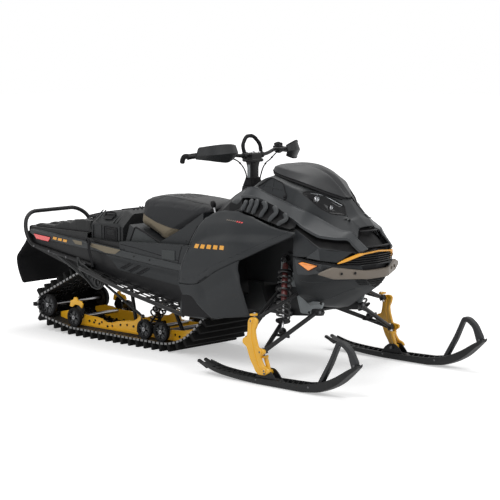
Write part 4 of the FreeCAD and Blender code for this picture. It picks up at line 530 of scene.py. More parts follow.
def bushPart(inner, outer, half, cut, centre, way, sides=24):
    # a short tube with its outer edges cut by (radius, length)
    return lathePart(((inner, -half), (outer - cut[0], -half), (outer, cut[1] - half), (outer, half - cut[1]),
        (outer - cut[0], half), (inner, half)), centre, way, sides, hollow=True)


def boxProfile(half, rise, bend, steps=2):
    # a rounded rectangle as a section to sweep
    return roundedLoop(((half, -rise), (half, rise), (-half, rise), (-half, -rise)), bend, steps)


def standing(outline, y):
    # an outline of (x, z) pairs stood up at a distance from the middle
    outline = np.asarray(outline, float)
    return np.column_stack((outline[:, 0], np.full(len(outline), y), outline[:, 1]))


def wayBetween(start, end):
    # direction of length one from start to end, and the distance
    way = np.asarray(end, float) - np.asarray(start, float)
    length = np.linalg.norm(way)
    return way / length, length


def rimPart(outline, y, radius, sides=8):
    # a closed tube round an outline that stands at a distance from the middle
    return tubePart(standing(outline, y), radius, sides, closed=True)


def insetLoop(outline, distance):
    # an outline of (u, v) pairs moved inwards, corner by corner
    outline = np.asarray(outline, float)
    nextOne, before = np.roll(outline, -1, axis=0), np.roll(outline, 1, axis=0)
    area = np.sum(outline[:, 0] * nextOne[:, 1] - nextOne[:, 0] * outline[:, 1])
    turn = 1 if area > 0 else -1
    first, second = outline - before, nextOne - outline
    first /= np.linalg.norm(first, axis=1)[:, None] + 1e-12
    second /= np.linalg.norm(second, axis=1)[:, None] + 1e-12
    normals = (turn * np.column_stack((-first[:, 1], first[:, 0])),
        turn * np.column_stack((-second[:, 1], second[:, 0])))
    spread = 1 + np.sum(normals[0] * normals[1], axis=1)
    return outline + distance * (normals[0] + normals[1]) / np.maximum(spread, .35)[:, None]


def platePart(outline, place, thickness, bevel=.0015):
    # an outline (u, v) made a plate with bevelled edges; place maps (u, v, height) arrays to points
    outline = np.asarray(outline, float)
    inner = insetLoop(outline, bevel)
    levels = ((inner, 0), (outline, bevel), (outline, thickness - bevel), (inner, thickness))
    rings = np.array([place(ring[:, 0], ring[:, 1], np.full(len(ring), height)) for ring, height in levels])
    return ringPart(rings)


def planeXZ(y, way=1):
    return lambda u, v, h: np.column_stack((u, y + way * h, v))


def planeXY(z):
    return lambda u, v, h: np.column_stack((u, v, z + h))


def blockPart(low, high, bevel=.002):
    # a rectangular block with bevelled edges
    outline = [(low[0], low[1]), (high[0], low[1]), (high[0], high[1]), (low[0], high[1])]
    return platePart(outline, planeXY(low[2]), high[2] - low[2], bevel)


def sidePlate(outline, bend, steps, y, thickness, bevel):
    # a plate with rounded corners whose outline (x, z) stands at a distance from the middle
    return platePart(roundedLoop(outline, bend, steps), planeXZ(y), thickness, bevel)


def discPart(centre, way, radius, height, bevel=.001, sides=16):
    # a bolt head, cap or washer that stands from its centre along a direction
    return lathePart(((0, 0), (radius, 0), (radius, height - bevel), (radius - bevel, height), (0, height)),
        centre, way, sides)


def mirrored(part):
    points, faces = part
    return points * (1, -1, 1), [face[::-1] for face in faces]


def bothSides(parts):
    return list(parts) + [mirrored(part) for part in parts]


mergeDistance = .00002
edgeAngle = 35      # degrees past which a live bevel rounds an edge


def makePiece(name, parts, finish, body="chassis", hides=(), sharp=34, outwards=True, wall=0, bevel=0):
    # joins parts of (points, faces) into one object at the origin, faces outwards
    slot, material = ownFinishes.get(finish) or (finish, finishes[finish])
    points, faces, start = [], [], 0
    for partPoints, partFaces in parts:
        points.append(partPoints)
        faces.extend([[corner + start for corner in face] for face in partFaces])
        start += len(partPoints)
    mesh = bpy.data.meshes.new(name)
    mesh.from_pydata(np.vstack(points).tolist(), [], faces)
    piece = bpy.data.objects.new(name, mesh)
    bpy.context.scene.collection.objects.link(piece)
    form = bmesh.new()
    form.from_mesh(mesh)
    bmesh.ops.remove_doubles(form, verts=form.verts, dist=mergeDistance)
    if outwards:
        bmesh.ops.recalc_face_normals(form, faces=form.faces)
    form.to_mesh(mesh)
    form.free()
    mesh.shade_smooth()
    mesh.set_sharp_from_angle(angle=math.radians(sharp))
    mesh.materials.append(material)
    if wall:
        solid = piece.modifiers.new("wall", "SOLIDIFY")
        solid.thickness = wall
        solid.offset = -1
        solid.use_even_offset = True
    if bevel:
        edge = piece.modifiers.new("edge", "BEVEL")
        edge.width = bevel
        edge.segments = 2
        edge.limit_method = "ANGLE"
        edge.angle_limit = math.radians(edgeAngle)
    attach(piece, body)
    if hides:
        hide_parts(*([hides] if isinstance(hides, str) else hides))
    return piece


def makePair(name, parts, finish, **facts):
    # the same parts on the left side, and mirrored on the right
    return makePiece(name, bothSides(parts), finish, **facts)


def lineDistance(points, line):
    # distance of 2-D points from a polyline
    points, line = np.asarray(points, float), np.asarray(line, float)
    nearest = np.full(points.shape[:-1], np.inf)
    for start, end in zip(line[:-1], line[1:]):
        way = end - start
        along = np.clip(((points - start) @ way) / (way @ way), 0, 1)
        nearest = np.minimum(nearest, np.linalg.norm(points - start - along[..., None] * way, axis=-1))
    return nearest


def insideLoop(points, outline):
    # which 2-D points lie inside a closed outline, by counting crossings
    x, y = points[..., 0], points[..., 1]
    inside = np.zeros(x.shape, bool)
    outline = np.asarray(outline, float)
    for (x0, y0), (x1, y1) in zip(outline, np.roll(outline, -1, axis=0)):
        crosses = (y0 > y) != (y1 > y)
        reach = (x1 - x0) * (y - y0) / (y1 - y0 + 1e-15) + x0
        inside ^= crosses & (x < reach)
    return inside


def dropFaces(part, lost):
    # leaves out the faces whose middle is marked by lost(middles)
    points, faces = part
    corners = [face[:4] if len(face) > 3 else [*face[:3], face[2]] for face in faces]
    middles = points[np.array(corners)].mean(axis=1)
    return points, [face for face, gone in zip(faces, lost(middles)) if not gone]


def surfaceTree(source):
    # a search tree over an object's own mesh, with its faces as they stand
    mesh = source.data
    return BVHTree.FromPolygons([vertex.co[:] for vertex in mesh.vertices],
        [face.vertices[:] for face in mesh.polygons])


def laidOn(tree, points, fromWay, lift=0.0):
    # moves points along a line of sight on to a surface; a point that misses goes to the nearest place on it
    laid = []
    way = Vector(fromWay).normalized()
    for point in points:
        point = Vector(point)
        place = tree.ray_cast(point + way, -way)[0]
        if place is None:
            place = tree.find_nearest(point)[0]
        laid.append(place + way * lift)
    return np.array(laid)

# Hood: one skin through lines that run from the dash to the nose, left side; each row is (station, x, y, z)

hood = {
    "lines": {
        "middle": ((0, .478, 0, 1.058), (1, .552, 0, 1.106), (2, .628, 0, 1.142), (3, .7, 0, 1.144),
            (4, .8, 0, 1.132), (5, .89, 0, 1.108),
            (6, .985, 0, 1.062), (6.5, 1.051, 0, 1.01), (7.1, 1.106, 0, .945), (8, 1.152, 0, .905),
            (8.6, 1.196, 0, .867)),
        "crown": ((0, .478, .12, 1.058), (1, .552, .13, 1.104), (2, .628, .135, 1.138), (3, .7, .14, 1.134),
            (4, .8, .138, 1.11), (5, .89, .128, 1.078),
            (6, .985, .074, 1.036), (6.5, 1.05, .03, 1.008), (6.8, 1.077, .052, .968),
            (7.1, 1.104, .076, .928), (8, 1.152, .072, .895), (8.6, 1.193, .06, .863)),
        "shoulder": ((0, .478, .185, 1.055), (1, .552, .192, 1.102), (2, .628, .203, 1.123),
            (3, .7, .21, 1.108), (4, .8, .214, 1.078),
            (5, .884, .203, 1.049), (5.5, .944, .184, 1.0), (6, .984, .16, .962),
            (6.5, 1.036, .128, .934), (7.1, 1.1, .083, .924),
            (8, 1.149, .08, .886), (8.6, 1.189, .068, .855)),
        "groove": ((0, .478, .219, 1.05), (1, .552, .23, 1.057), (2, .628, .239, 1.037), (3, .7, .242, 1.017),
            (4, .808, .242, .989), (5, .869, .235, .967),
            (5.5, .924, .216, .944), (6, .967, .18, .91), (6.5, 1.04, .15, .869),
            (7.1, 1.107, .128, .838), (8, 1.168, .1, .822), (8.6, 1.202, .092, .806)),
        "railTop": ((0, .478, .222, 1.056), (1, .552, .233, 1.063), (2, .628, .242, 1.043),
            (3, .7, .246, 1.023), (4, .808, .248, .995), (5, .869, .242, .974),
            (5.5, .924, .225, .952), (6, .969, .188, .92), (6.5, 1.042, .162, .881),
            (7.1, 1.111, .142, .852), (7.6, 1.148, .125, .844),
            (8, 1.178, .113, .842), (8.6, 1.211, .11, .812), (9.3, 1.243, .108, .789),
            (10, 1.286, .099, .753)),
        "railLow": ((0, .478, .286, 1.0), (1, .553, .291, 1.005), (2.2, .662, .298, .989),
            (3, .754, .3, .956), (4, .856, .3, .914), (5, .92, .298, .883),
            (6, .983, .29, .848), (6.5, 1.057, .276, .817), (7.1, 1.108, .236, .805),
            (8, 1.16, .188, .799), (8.35, 1.182, .165, .798),
            (9, 1.214, .153, .768), (10, 1.255, .141, .731)),
    },
    "wall": .004,
    "railProud": .006,
    "railLip": .014,
}


def hoodLine(name, at):
    return curveThrough(hood["lines"][name], at)


def softenRows(grid, passes=2):
    # rounds the creases between the lines, with the first and last line kept
    for _ in range(passes):
        grid = np.concatenate((grid[:, :1], (grid[:, :-2] + 2 * grid[:, 1:-1] + grid[:, 2:]) / 4,
            grid[:, -1:]), axis=1)
    return grid


def skinBetween(lines, at, steps, soften=2):
    # straight runs across between the lines at each station, then rounded creases
    lines = [hoodLine(line, at) if isinstance(line, str) else line for line in lines]
    rows = [near[:, None] + (far - near)[:, None] * np.linspace(0, 1, count, endpoint=False)[None, :, None]
        for near, far, count in zip(lines, lines[1:], steps)]
    return softenRows(np.concatenate(rows + [lines[-1][:, None]], axis=1), soften)


def skinNormals(grid):
    across = np.gradient(grid, axis=1)
    along = np.gradient(grid, axis=0)
    normal = np.cross(across, along)
    return normal / (np.linalg.norm(normal, axis=2)[..., None] + 1e-12)


def liftSkin(grid, height):
    height = np.asarray(height, float)
    return grid + skinNormals(grid) * (height[..., None] if height.ndim else height)


def slabPart(grid, thickness):
    # a closed slab under a grid surface
    under = liftSkin(grid, -thickness)
    rows, columns = grid.shape[:2]
    top, topFaces = gridPart(grid)
    low, lowFaces = gridPart(under, flip=True)
    count = rows * columns
    number = np.arange(count).reshape(rows, columns)
    rim = np.concatenate((number[0, :-1], number[:-1, -1], number[-1, :0:-1], number[:0:-1, 0]))
    faces = topFaces + [[corner + count for corner in face] for face in lowFaces]
    faces += [[a, b, b + count, a + count] for a, b in zip(rim, np.roll(rim, -1))]
    return np.vstack((top, low)), faces


headlight = {
    # rim from the rear outside corner over the top to the nose and back below, left side
    "rim": ((.88, .203, 1.046), (.89, .184, 1.056), (.917, .15, 1.055), (.953, .112, 1.042),
        (1.016, .073, 1.009), (1.068, .052, .976),
        (1.101, .078, .928), (1.036, .125, .932), (.983, .157, .961), (.942, .183, .999)),
    "bend": .01,
    "aim": (.93, .22, .3),
    "bowlDepth": .02,
    "rimRadius": .0032,
    "eyes": ((.946, .134, 1.012, .023), (1.022, .098, .966, .017)),   # middle and radius of each projector
}


def headlightPlan():
    return roundedLoop(headlight["rim"], headlight["bend"])


def makeHood():
    at = np.linspace(0, 8.6, 130)
    top = skinBetween(("middle", "crown", "shoulder", "groove"), at, (8, 14, 20))
    top = dropFaces(gridPart(top),
        lambda middles: insideLoop(middles[:, :2], insetLoop(headlightPlan()[:, :2], -.001)))
    makePair("hoodSkin", [top], "charcoal", hides="hood", outwards=False, wall=hood["wall"], sharp=50)
    # the raised light band on each side, with a turned-in lip at both edges
    at = np.linspace(0, 10, 150)
    topLine, lowLine = hoodLine("railTop", at), hoodLine("railLow", at)
    band = skinBetween((topLine, lowLine), at, (14,), 0)
    across = np.linspace(0, 1, 15)
    band = liftSkin(band, hood["railProud"] * (1 - (2 * across - 1) ** 8)[None, :] * np.ones((150, 1)))
    makePair("hoodBands", [slabPart(band, hood["railLip"])], "rail_grey", sharp=40, bevel=.002)


print("hood")
makeHood()

# Windshield: rows of (station, x, y, z) on the left side, from the rider's edge to the tip over the nose

windshield = {
    "lines": {
        "middle": ((0, .578, 0, 1.184), (1, .64, 0, 1.19), (2, .72, 0, 1.174), (3, .8, 0, 1.152),
            (4, .88, 0, 1.127), (5, .95, 0, 1.093), (6, 1.054, 0, 1.015)),
        "ridge": ((0, .582, .06, 1.184), (1, .64, .062, 1.192), (2, .72, .056, 1.193), (3, .8, .046, 1.185),
            (4, .882, .03, 1.16),
            (5, .952, .026, 1.118), (6, 1.052, .022, 1.02)),
        "flank": ((0, .594, .118, 1.177), (1, .64, .14, 1.178), (2, .72, .144, 1.168), (3, .8, .132, 1.152),
            (4, .884, .096, 1.126),
            (5, .96, .062, 1.084), (6, 1.05, .026, 1.021)),
        "edge": ((0, .608, .148, 1.16), (1, .65, .168, 1.147), (2, .74, .177, 1.128), (3, .8, .174, 1.115),
            (4, .88, .16, 1.094),
            (5, .962, .106, 1.058), (6, 1.05, .029, 1.018)),
    },
    "wall": .005,
    "rimRadius": .007,
    "bandDrop": .011,
    "bandRadius": .006,
}


def makeWindshield():
    at = np.linspace(0, 6, 90)
    lines = [curveThrough(windshield["lines"][name], at) for name in ("middle", "ridge", "flank", "edge")]
    half = skinBetween(lines, at, (8, 12, 12), 3)
    whole = np.concatenate((half[:, :0:-1] * (1, -1, 1), half), axis=1)
    makePiece("windshieldShell", [slabPart(whole, windshield["wall"])], "shield_grey", hides="windshield",
        sharp=60)
    rim = np.concatenate((half[0, :0:-1] * (1, -1, 1), half[0]))
    makePiece("windshieldRim",
        [tubePart(rim - (0, 0, windshield["rimRadius"] * .6), windshield["rimRadius"])], "shield_grey")
    edge = half[:, -1] + (0, 0, -windshield["bandDrop"])
    edge[:, 1] += .001
    makePair("windshieldSeal", [tubePart(edge[3:-2], windshield["bandRadius"])], "rubber")
    base = np.stack((half[:, -1], half[:, -1] + (0, -.004, -.012), half[:, -1] + (-.004, -.012, -.036)),
        axis=1)
    makePair("windshieldFoot", [gridPart(base)], "black_plastic", outwards=False, wall=.003)


makeWindshield()


def fanPatch(loop, depth, power=2):
    # rings from a loop in to its middle, pushed along the mean normal by depth * (1 - share^power)
    loop = np.asarray(loop, float)
    centre = loop.mean(axis=0)
    normal = np.cross(loop - centre, np.roll(loop, -1, axis=0) - centre).sum(axis=0)
    normal /= np.linalg.norm(normal)
    share = np.linspace(1, .02, 10)[:, None, None]
    grid = centre + (loop - centre)[None] * share + normal * depth * (1 - share ** power)
    return ringPart(grid, capStart=False), normal


def makeHeadlights():
    facts = headlight
    loop = roundedLoop(facts["rim"], facts["bend"], 6)
    bowl, normal = fanPatch(loop, 0.0)
    outward = normal if normal[2] > 0 else -normal
    bowl, _ = fanPatch(loop, -facts["bowlDepth"] if normal[2] > 0 else facts["bowlDepth"], power=6)
    makePair("headlightBowls", [bowl], "glossBlack", hides="headlights", outwards=False)
    makePair("headlightRims", [tubePart(loop + outward * .0012, facts["rimRadius"], 10, closed=True)],
        "black_plastic")
    aim, _ = wayBetween((0, 0, 0), facts["aim"])
    rings, domes, hoods = [], [], []
    for x, y, z, radius in facts["eyes"]:
        middle = np.array((x, y, z)) - aim * .012
        rings.append(lathePart(((radius * .8, -.012), (radius, -.01), (radius * 1.04, .004),
            (radius * .92, .007), (radius * .82, .003)), middle, aim, 28, hollow=True))
        angle = np.linspace(0, np.pi / 2, 9)
        domes.append(lathePart(np.column_stack((np.cos(angle) * radius * .8, np.sin(angle) * radius * .42
            - .002)), middle, aim, 28))
        hoods.append(lathePart(((radius * 1.05, -.02), (radius * 1.3, -.012), (radius * 1.34, -.002),
            (radius * 1.12, -.001)), middle, aim, 28, hollow=True))
    makePair("projectorRings", rings, "steel")
    makePair("projectorLenses", domes, "lamp_glass")
    makePair("projectorHoods", hoods, "glossBlack")
    brow = roundedPath(((.893, .176, 1.052), (.955, .106, 1.036), (1.056, .06, .98)), .02)
    makePair("daylightStrips", [tubePart(brow - outward * .004, .002, 8)], "lampGlow")


makeHeadlights()

nose = {
    # trim from its front corner; the lower mouth behind and under it
    "trimLine": ((1.17, .228, .672), (1.256, .141, .722), (1.276, 0, .734)),
    "trimHeight": .013,
    "trimDepth": .012,
    "mouthTop": (1.193, .062, .858),
    "mouthLow": (1.284, .096, .752),
    "slatCount": 2,
    "slatHeight": .006,
    "grilleLow": .652,
    "grilleSlats": 5,
}


def makeNose():
    corner = [np.array(point) for point in nose["trimLine"]]
    side = roundedPath(corner, .018, 6)
    half = spacedAlong(side, .006)
    line = acrossMiddle(half)
    rise, depth = nose["trimHeight"] / 2, nose["trimDepth"] / 2
    profile = boxProfile(depth, rise, .002)
    reach = np.abs(line[:, 1])
    grow = np.where(reach > .141, 1.35 - .9 * np.clip((reach - .19) / .038, 0, 1) ** 1.5,
        .72 + .63 * np.clip((reach - .105) / .036, 0, 1))
    makePiece("noseTrimBlade", [sweepPart(line, profile, up=(0, 0, 1), grow=grow)], "orange_trim",
        hides="nose_trim", sharp=50)
    # lower mouth: a dark wall set back from the trim, and slats that follow it
    plan = half[:, :2]
    inner = np.column_stack((plan[:, 0] - .022, plan[:, 1] - .004))
    rings = [np.column_stack((inner, z))
        for z in (half[:, 2] + .001, half[:, 2] - .012, np.full(len(half), nose["grilleLow"] - .03))]
    rings = ([np.column_stack((plan[:, 0] - .06, plan[:, 1] * .86, half[:, 2] + .034)),
        rings[0] + (.012, .002, .003)] + rings)
    makePair("lowerMouthWall", [gridPart(rings)], "black_plastic", hides="nose_grille", outwards=False)
    slats = []
    for share in np.linspace(.16, .88, nose["grilleSlats"]):
        keep = half[:, 2] - .01 > nose["grilleLow"] + (.724 - nose["grilleLow"]) * (1 - share)
        run = half[keep]
        height = nose["grilleLow"] + (.72 - nose["grilleLow"]) * (1 - share)
        run = np.column_stack((run[:, 0] - .01, run[:, 1], np.full(len(run), height)))
        slats.append(sweepPart(acrossMiddle(run), boxProfile(.007, .0025, .001, 1), up=(0, 0, 1)))
    makePiece("lowerMouthSlats", slats, "glossBlack")


def makeUpperMouth():
    # a dark wall and slats between the two bands under the beak
    top, low = np.array(nose["mouthTop"]), np.array(nose["mouthLow"])
    back = []
    for share in (-.06, .35, .7, 1.0):
        x, y, z = top + (low - top) * share
        back.append(((x - .04, -y - .006, z - .01), (x - .03, -y * .5, z), (x - .03, y * .5, z),
            (x - .04, y + .006, z - .01)))
    back += [((1.212, -.118, .742), (1.238, -.06, .742), (1.238, .06, .742), (1.212, .118, .742)),
        ((1.212, -.118, .722), (1.238, -.06, .722), (1.238, .06, .722), (1.212, .118, .722))]
    back = [[(row[0][0] - .07, row[0][1] - .03, row[0][2])] + list(row)
        + [(row[3][0] - .07, row[3][1] + .03, row[3][2])] for row in back]
    bars = []
    for share in np.linspace(.14, .9, nose["slatCount"]):
        x, y, z = top + (low - top) * share
        path = np.array([(x - .012, -y - .002, z), (x + .002, -y * .6, z), (x + .005, 0, z),
            (x + .002, y * .6, z), (x - .012, y + .002, z)])
        size = nose["slatHeight"] / 2
        bars.append(sweepPart(spacedAlong(smoothPath(path, .01), .01),
            roundedLoop(((.014, -size), (.01, size), (-.014, size), (-.014, -size)), .002, 2), up=(0, 0, 1)))
    makePiece("upperMouthWall", [gridPart(back)], "black_plastic", outwards=False)
    makePiece("upperMouthSlats", bars, "black_plastic")


def makeCheeks():
    # faceted cheeks under the bands, and the dark recess above them
    peak, first, second, right, end = ((1.095, .298, .762), (1.042, .316, .706), (1.111, .306, .689),
        (1.228, .166, .735), (1.172, .226, .676))
    bend = (.977, .302, .823)
    rear, rearLow, joint = (.9, .3, .862), (.9, .305, .7), (.945, .305, .697)
    corners = np.array((rear, bend, peak, first, joint, rearLow, second, right, end))
    faces = [[0, 1, 2, 3, 4, 5], [2, 6, 3], [2, 7, 8, 6]]
    makePair("noseCheeks", [(corners, faces)], "charcoal", outwards=False, sharp=5, wall=.006, bevel=.003)
    facet = np.array(((1.012, .315, .699), (1.093, .3, .758), (1.113, .307, .692)))
    facet = facet.mean(axis=0) + (facet - facet.mean(axis=0)) * .97
    makePair("cheekFacets",
        [ringPart([facet + (0, .0005, 0), facet + (0, .003, 0), facet.mean(axis=0)
        + (facet - facet.mean(axis=0)) * .96 + (0, .0042, 0)])], "rail_grey", sharp=20)
    at = np.linspace(3.9, 10, 50)
    lip = hoodLine("railLow", at) + (0, -.006, -.002)
    deep = lip + np.column_stack((np.zeros(50), np.full(50, -.034), np.full(50, -.016)))
    knots = ((0, .85, .29, .89), (1, .9, .292, .862), (2, .977, .293, .823), (3, 1.095, .289, .762),
        (4, 1.226, .16, .737), (5, 1.256, .132, .724))
    low = curveThrough(knots, np.linspace(0, 5, 50))
    makePair("cheekRecess",
        [gridPart(np.stack((lip, deep, low + (0, -.026, .004), low, low + (0, .005, -.006)), axis=1))],
        "black_plastic", outwards=False)


makeNose()
makeUpperMouth()
makeCheeks()
print("nose")

# Side skin of the body, left: rings from the rear forwards, each row (y, z) from the top down

flank = {
    "stations": (.1, .4, .58, .78, .95),
    "rings": (
        ((.34, .885), (.385, .8), (.432, .7), (.45, .56), (.44, .42), (.425, .28)),
        ((.345, .925), (.395, .855), (.443, .74), (.455, .6), (.44, .43), (.42, .29)),
        ((.345, .94), (.4, .87), (.45, .76), (.45, .64), (.43, .46), (.405, .3)),
        ((.35, .9), (.362, .86), (.392, .78), (.425, .7), (.41, .5), (.385, .32)),
        ((.32, .86), (.338, .845), (.345, .832), (.352, .8), (.36, .6), (.35, .34)),
    ),
    "sideOutline": {
        "top": ((.218, .798), (.262, .866), (.33, .905), (.402, .921), (.519, .924), (.643, .902),
            (.72, .878), (.801, .854), (.88, .84), (.946, .832)),
        "low": ((.112, .485), (.19, .485), (.262, .495), (.43, .585), (.578, .65), (.705, .706), (.803, .755),
            (.88, .79), (.925, .812), (.947, .829)),
        "rear": ((.218, .798), (.196, .735), (.168, .66), (.13, .559), (.112, .485)),
    },
    "lowerOutline": {
        "top": ((.112, .481), (.19, .481), (.264, .491), (.432, .58), (.612, .66)),
        "low": ((.146, .417), (.172, .42), (.198, .421), (.29, .352), (.367, .3), (.5, .318), (.655, .339)),
        "rear": ((.112, .481), (.128, .45), (.146, .417)),
        "front": ((.612, .66), (.6, .62), (.602, .57), (.625, .46), (.655, .339)),
    },
    "wall": .006,
}


def flankSide(x, z):
    # the skin's y at each (x, z): rings are carried smoothly along x, then read across z
    rings = np.array(flank["rings"]).reshape(len(flank["stations"]), -1)
    carried = curveThrough(np.column_stack((flank["stations"], rings)), np.ravel(x)).reshape(-1, 6, 2)
    height = np.ravel(z)
    side = np.empty(len(height))
    for k in range(6):
        near = carried[:, min(k, 4)]
        far = carried[:, min(k, 4) + 1]
        share = (near[:, 1] - height) / (near[:, 1] - far[:, 1])
        mark = share >= 0 if k else np.ones(len(height), bool)
        side = np.where(mark, near[:, 0] + (far[:, 0] - near[:, 0]) * share, side)
    return side.reshape(np.shape(x))


def coonsGrid(top, low, rear, front, across, along):
    # blends four border lines of (x, z) pairs into a grid
    def spread(line, count):
        line = np.asarray(line, float)
        reach = distanceAlong(line)
        return curveThrough(np.column_stack((reach / reach[-1], line)), np.linspace(0, 1, count))
    topLine, lowLine, rearLine, frontLine = (spread(top, along), spread(low, along), spread(rear, across),
        spread(front, across))
    u, v = np.linspace(0, 1, along)[:, None, None], np.linspace(0, 1, across)[None, :, None]
    ruled = (1 - v) * topLine[:, None] + v * lowLine[:, None] + (1 - u) * rearLine[None] + u * frontLine[None]
    corners = ((1 - u) * (1 - v) * topLine[0] + u * (1 - v) * topLine[-1] + (1 - u) * v * lowLine[0]
        + u * v * lowLine[-1])
    return ruled - corners


def flankSkin(flat, relief=0.0):
    # lays a flat (x, z) grid on the side skin, pushed out by the relief
    side = flankSide(flat[..., 0], flat[..., 1])
    for _ in range(3):
        side[1:-1] = (side[:-2] + 2 * side[1:-1] + side[2:]) / 4
        side[:, 1:-1] = (side[:, :-2] + 2 * side[:, 1:-1] + side[:, 2:]) / 4
    return np.stack((flat[..., 0], side + relief, flat[..., 1]), axis=-1)


def makeFlanks():
    outline = flank["sideOutline"]
    flat = coonsGrid(outline["top"], outline["low"], outline["rear"],
        ((.946, .832), (.9465, .8305), (.947, .829)), 60, 120)
    border = lineDistance(flat, outline["low"])
    # groove inside the light border band
    seamBand = -.0035 * np.clip(1 - np.abs(border - .03) / .0035, 0, 1) ** 2
    rearRim = -.002 * np.clip(1 - np.abs(lineDistance(flat, outline["rear"]) - .014) / .003, 0, 1)
    crease = ((.19, .7), (.33, .77), (.48, .8), (.64, .808), (.8, .812), (.93, .826))
    fold = -.01 * np.exp(-(lineDistance(flat, crease) / .03) ** 2)
    edge = (-.006 * np.clip(1
        - np.minimum(border, np.minimum(lineDistance(flat, outline["top"]),
        lineDistance(flat, outline["rear"]))) / .006, 0, 1) ** 2)
    skin = flankSkin(flat, seamBand + rearRim + fold + edge)
    makePair("sidePanelSkins", [slabPart(skin, flank["wall"])], "charcoal", hides="side_panels", sharp=40)
    outline = flank["lowerOutline"]
    flat = coonsGrid(outline["top"], outline["low"], outline["rear"], outline["front"], 50, 70)
    edge = (-.005 * np.clip(1
        - np.minimum(lineDistance(flat, outline["low"]), lineDistance(flat, outline["front"])) / .006, 0,
        1) ** 2)
    dish = -.012 * np.exp(-(lineDistance(flat, ((.33, .455), (.44, .5), (.56, .56))) / .05) ** 2)
    skin = flankSkin(flat, edge + dish)
    makePair("lowerPanelSkins", [slabPart(skin, flank["wall"])], "charcoal", hides="lower_panels", sharp=40)
    seam = spacedAlong(flank["sideOutline"]["low"], .01) + (0, -.002)
    seam = np.column_stack((seam[:, 0], flankSide(seam[:, 0], seam[:, 1]) - .003, seam[:, 1]))
    makePair("sideSeams", [tubePart(seam, .0035, 8)], "rubber")
    # dashed row of small clips along the rear edge
    row = spacedAlong(flank["sideOutline"]["rear"], .013)[1:-1] + (.008, 0)
    clips = []
    for start, end in zip(row, row[1:]):
        middle = (start + end) / 2
        way = (end - start) / np.linalg.norm(end - start) * .0035
        a, b = middle - way, middle + way
        path = np.array([(a[0], flankSide(a[:1], a[1:])[0] + .0005, a[1]),
            (b[0], flankSide(b[:1], b[1:])[0] + .0005, b[1])])
        clips.append(tubePart(path, .0016, 6))
    makePair("rearEdgeStitches", clips, "black_plastic")


makeFlanks()

louvre = {
    "top": ((.478, .292, .952), (.545, .3, .99), (.6, .303, .998), (.656, .303, .999), (.756, .303, .976),
        (.854, .303, .931), (.93, .303, .884)),
    "low": ((.47, .338, .925), (.542, .345, .931), (.6, .348, .922), (.647, .35, .911), (.731, .352, .891),
        (.802, .35, .876), (.905, .338, .852)),
    "ribs": 6, "firstRib": .17, "ribStep": .142,
    # along, down, raised
    "ribPath": ((-.075, .1, .002), (-.03, .13, .009), (.004, .34, .011), (-.004, .66, .01),
        (-.022, .97, .002)),
    "ribWidth": .034,
    "ribHeight": .012,
}


def makeLouvres():
    share = np.linspace(0, 1, 60)

    def spread(rows):
        rows = np.array(rows)
        return curveThrough(np.column_stack((np.linspace(0, 1, len(rows)), rows)), share)
    top, low = spread(louvre["top"]), spread(louvre["low"])
    across = np.linspace(0, 1, 12)[None, :, None]
    bed = top[:, None] * (1 - across) + low[:, None] * across
    bed = bed + np.array((0, -.014, -.006)) * np.sin(np.pi * across)
    makePair("louvreBeds", [slabPart(bed, .004)], "black_plastic", hides="louvres", sharp=50)

    def onBed(along, down, rise):
        # the place at shares along and down the bed, raised off it
        i = np.clip(along, 0, .999) * 59
        base = int(i)
        a = top[base] + (top[min(base + 1, 59)] - top[base]) * (i - base)
        b = low[base] + (low[min(base + 1, 59)] - low[base]) * (i - base)
        return a + (b - a) * down + np.array((0, rise * .8, rise * .6))
    ribs = []
    width, height = louvre["ribWidth"] / 2, louvre["ribHeight"] / 2
    profile = roundedLoop(((width, -height), (width * .5, height), (-width * .6, height), (-width, -height)),
        .003, 2)
    for k in range(louvre["ribs"]):
        at = louvre["firstRib"] + louvre["ribStep"] * k
        path = smoothPath([onBed(at + along, down, rise) for along, down, rise in louvre["ribPath"]], .006)
        grow = np.clip(np.minimum(np.linspace(.45, 6, len(path)), np.linspace(6, .5, len(path))), .3, 1)
        ribs.append(sweepPart(path, profile, up=(0, .75, .66), grow=grow))
    makePair("louvreRibs", ribs, "rail_grey", sharp=45)


makeLouvres()

marks = {
    # size is length, height and lean
    "panelBars": {"start": (.24, .702), "step": (.056, .0026), "count": 5, "size": (.036, .024, .006)},
    "upperBars": {"start": (.462, .888), "step": (.018, -.0015), "count": 8, "size": (.012, .009, .003)},
    "greyBars": 5,
    "bandBars": 8,
}


def barLoop(x, z, wide, high, lean):
    return np.array([(x, z), (x + wide, z), (x + wide + lean, z + high), (x + lean, z + high)])


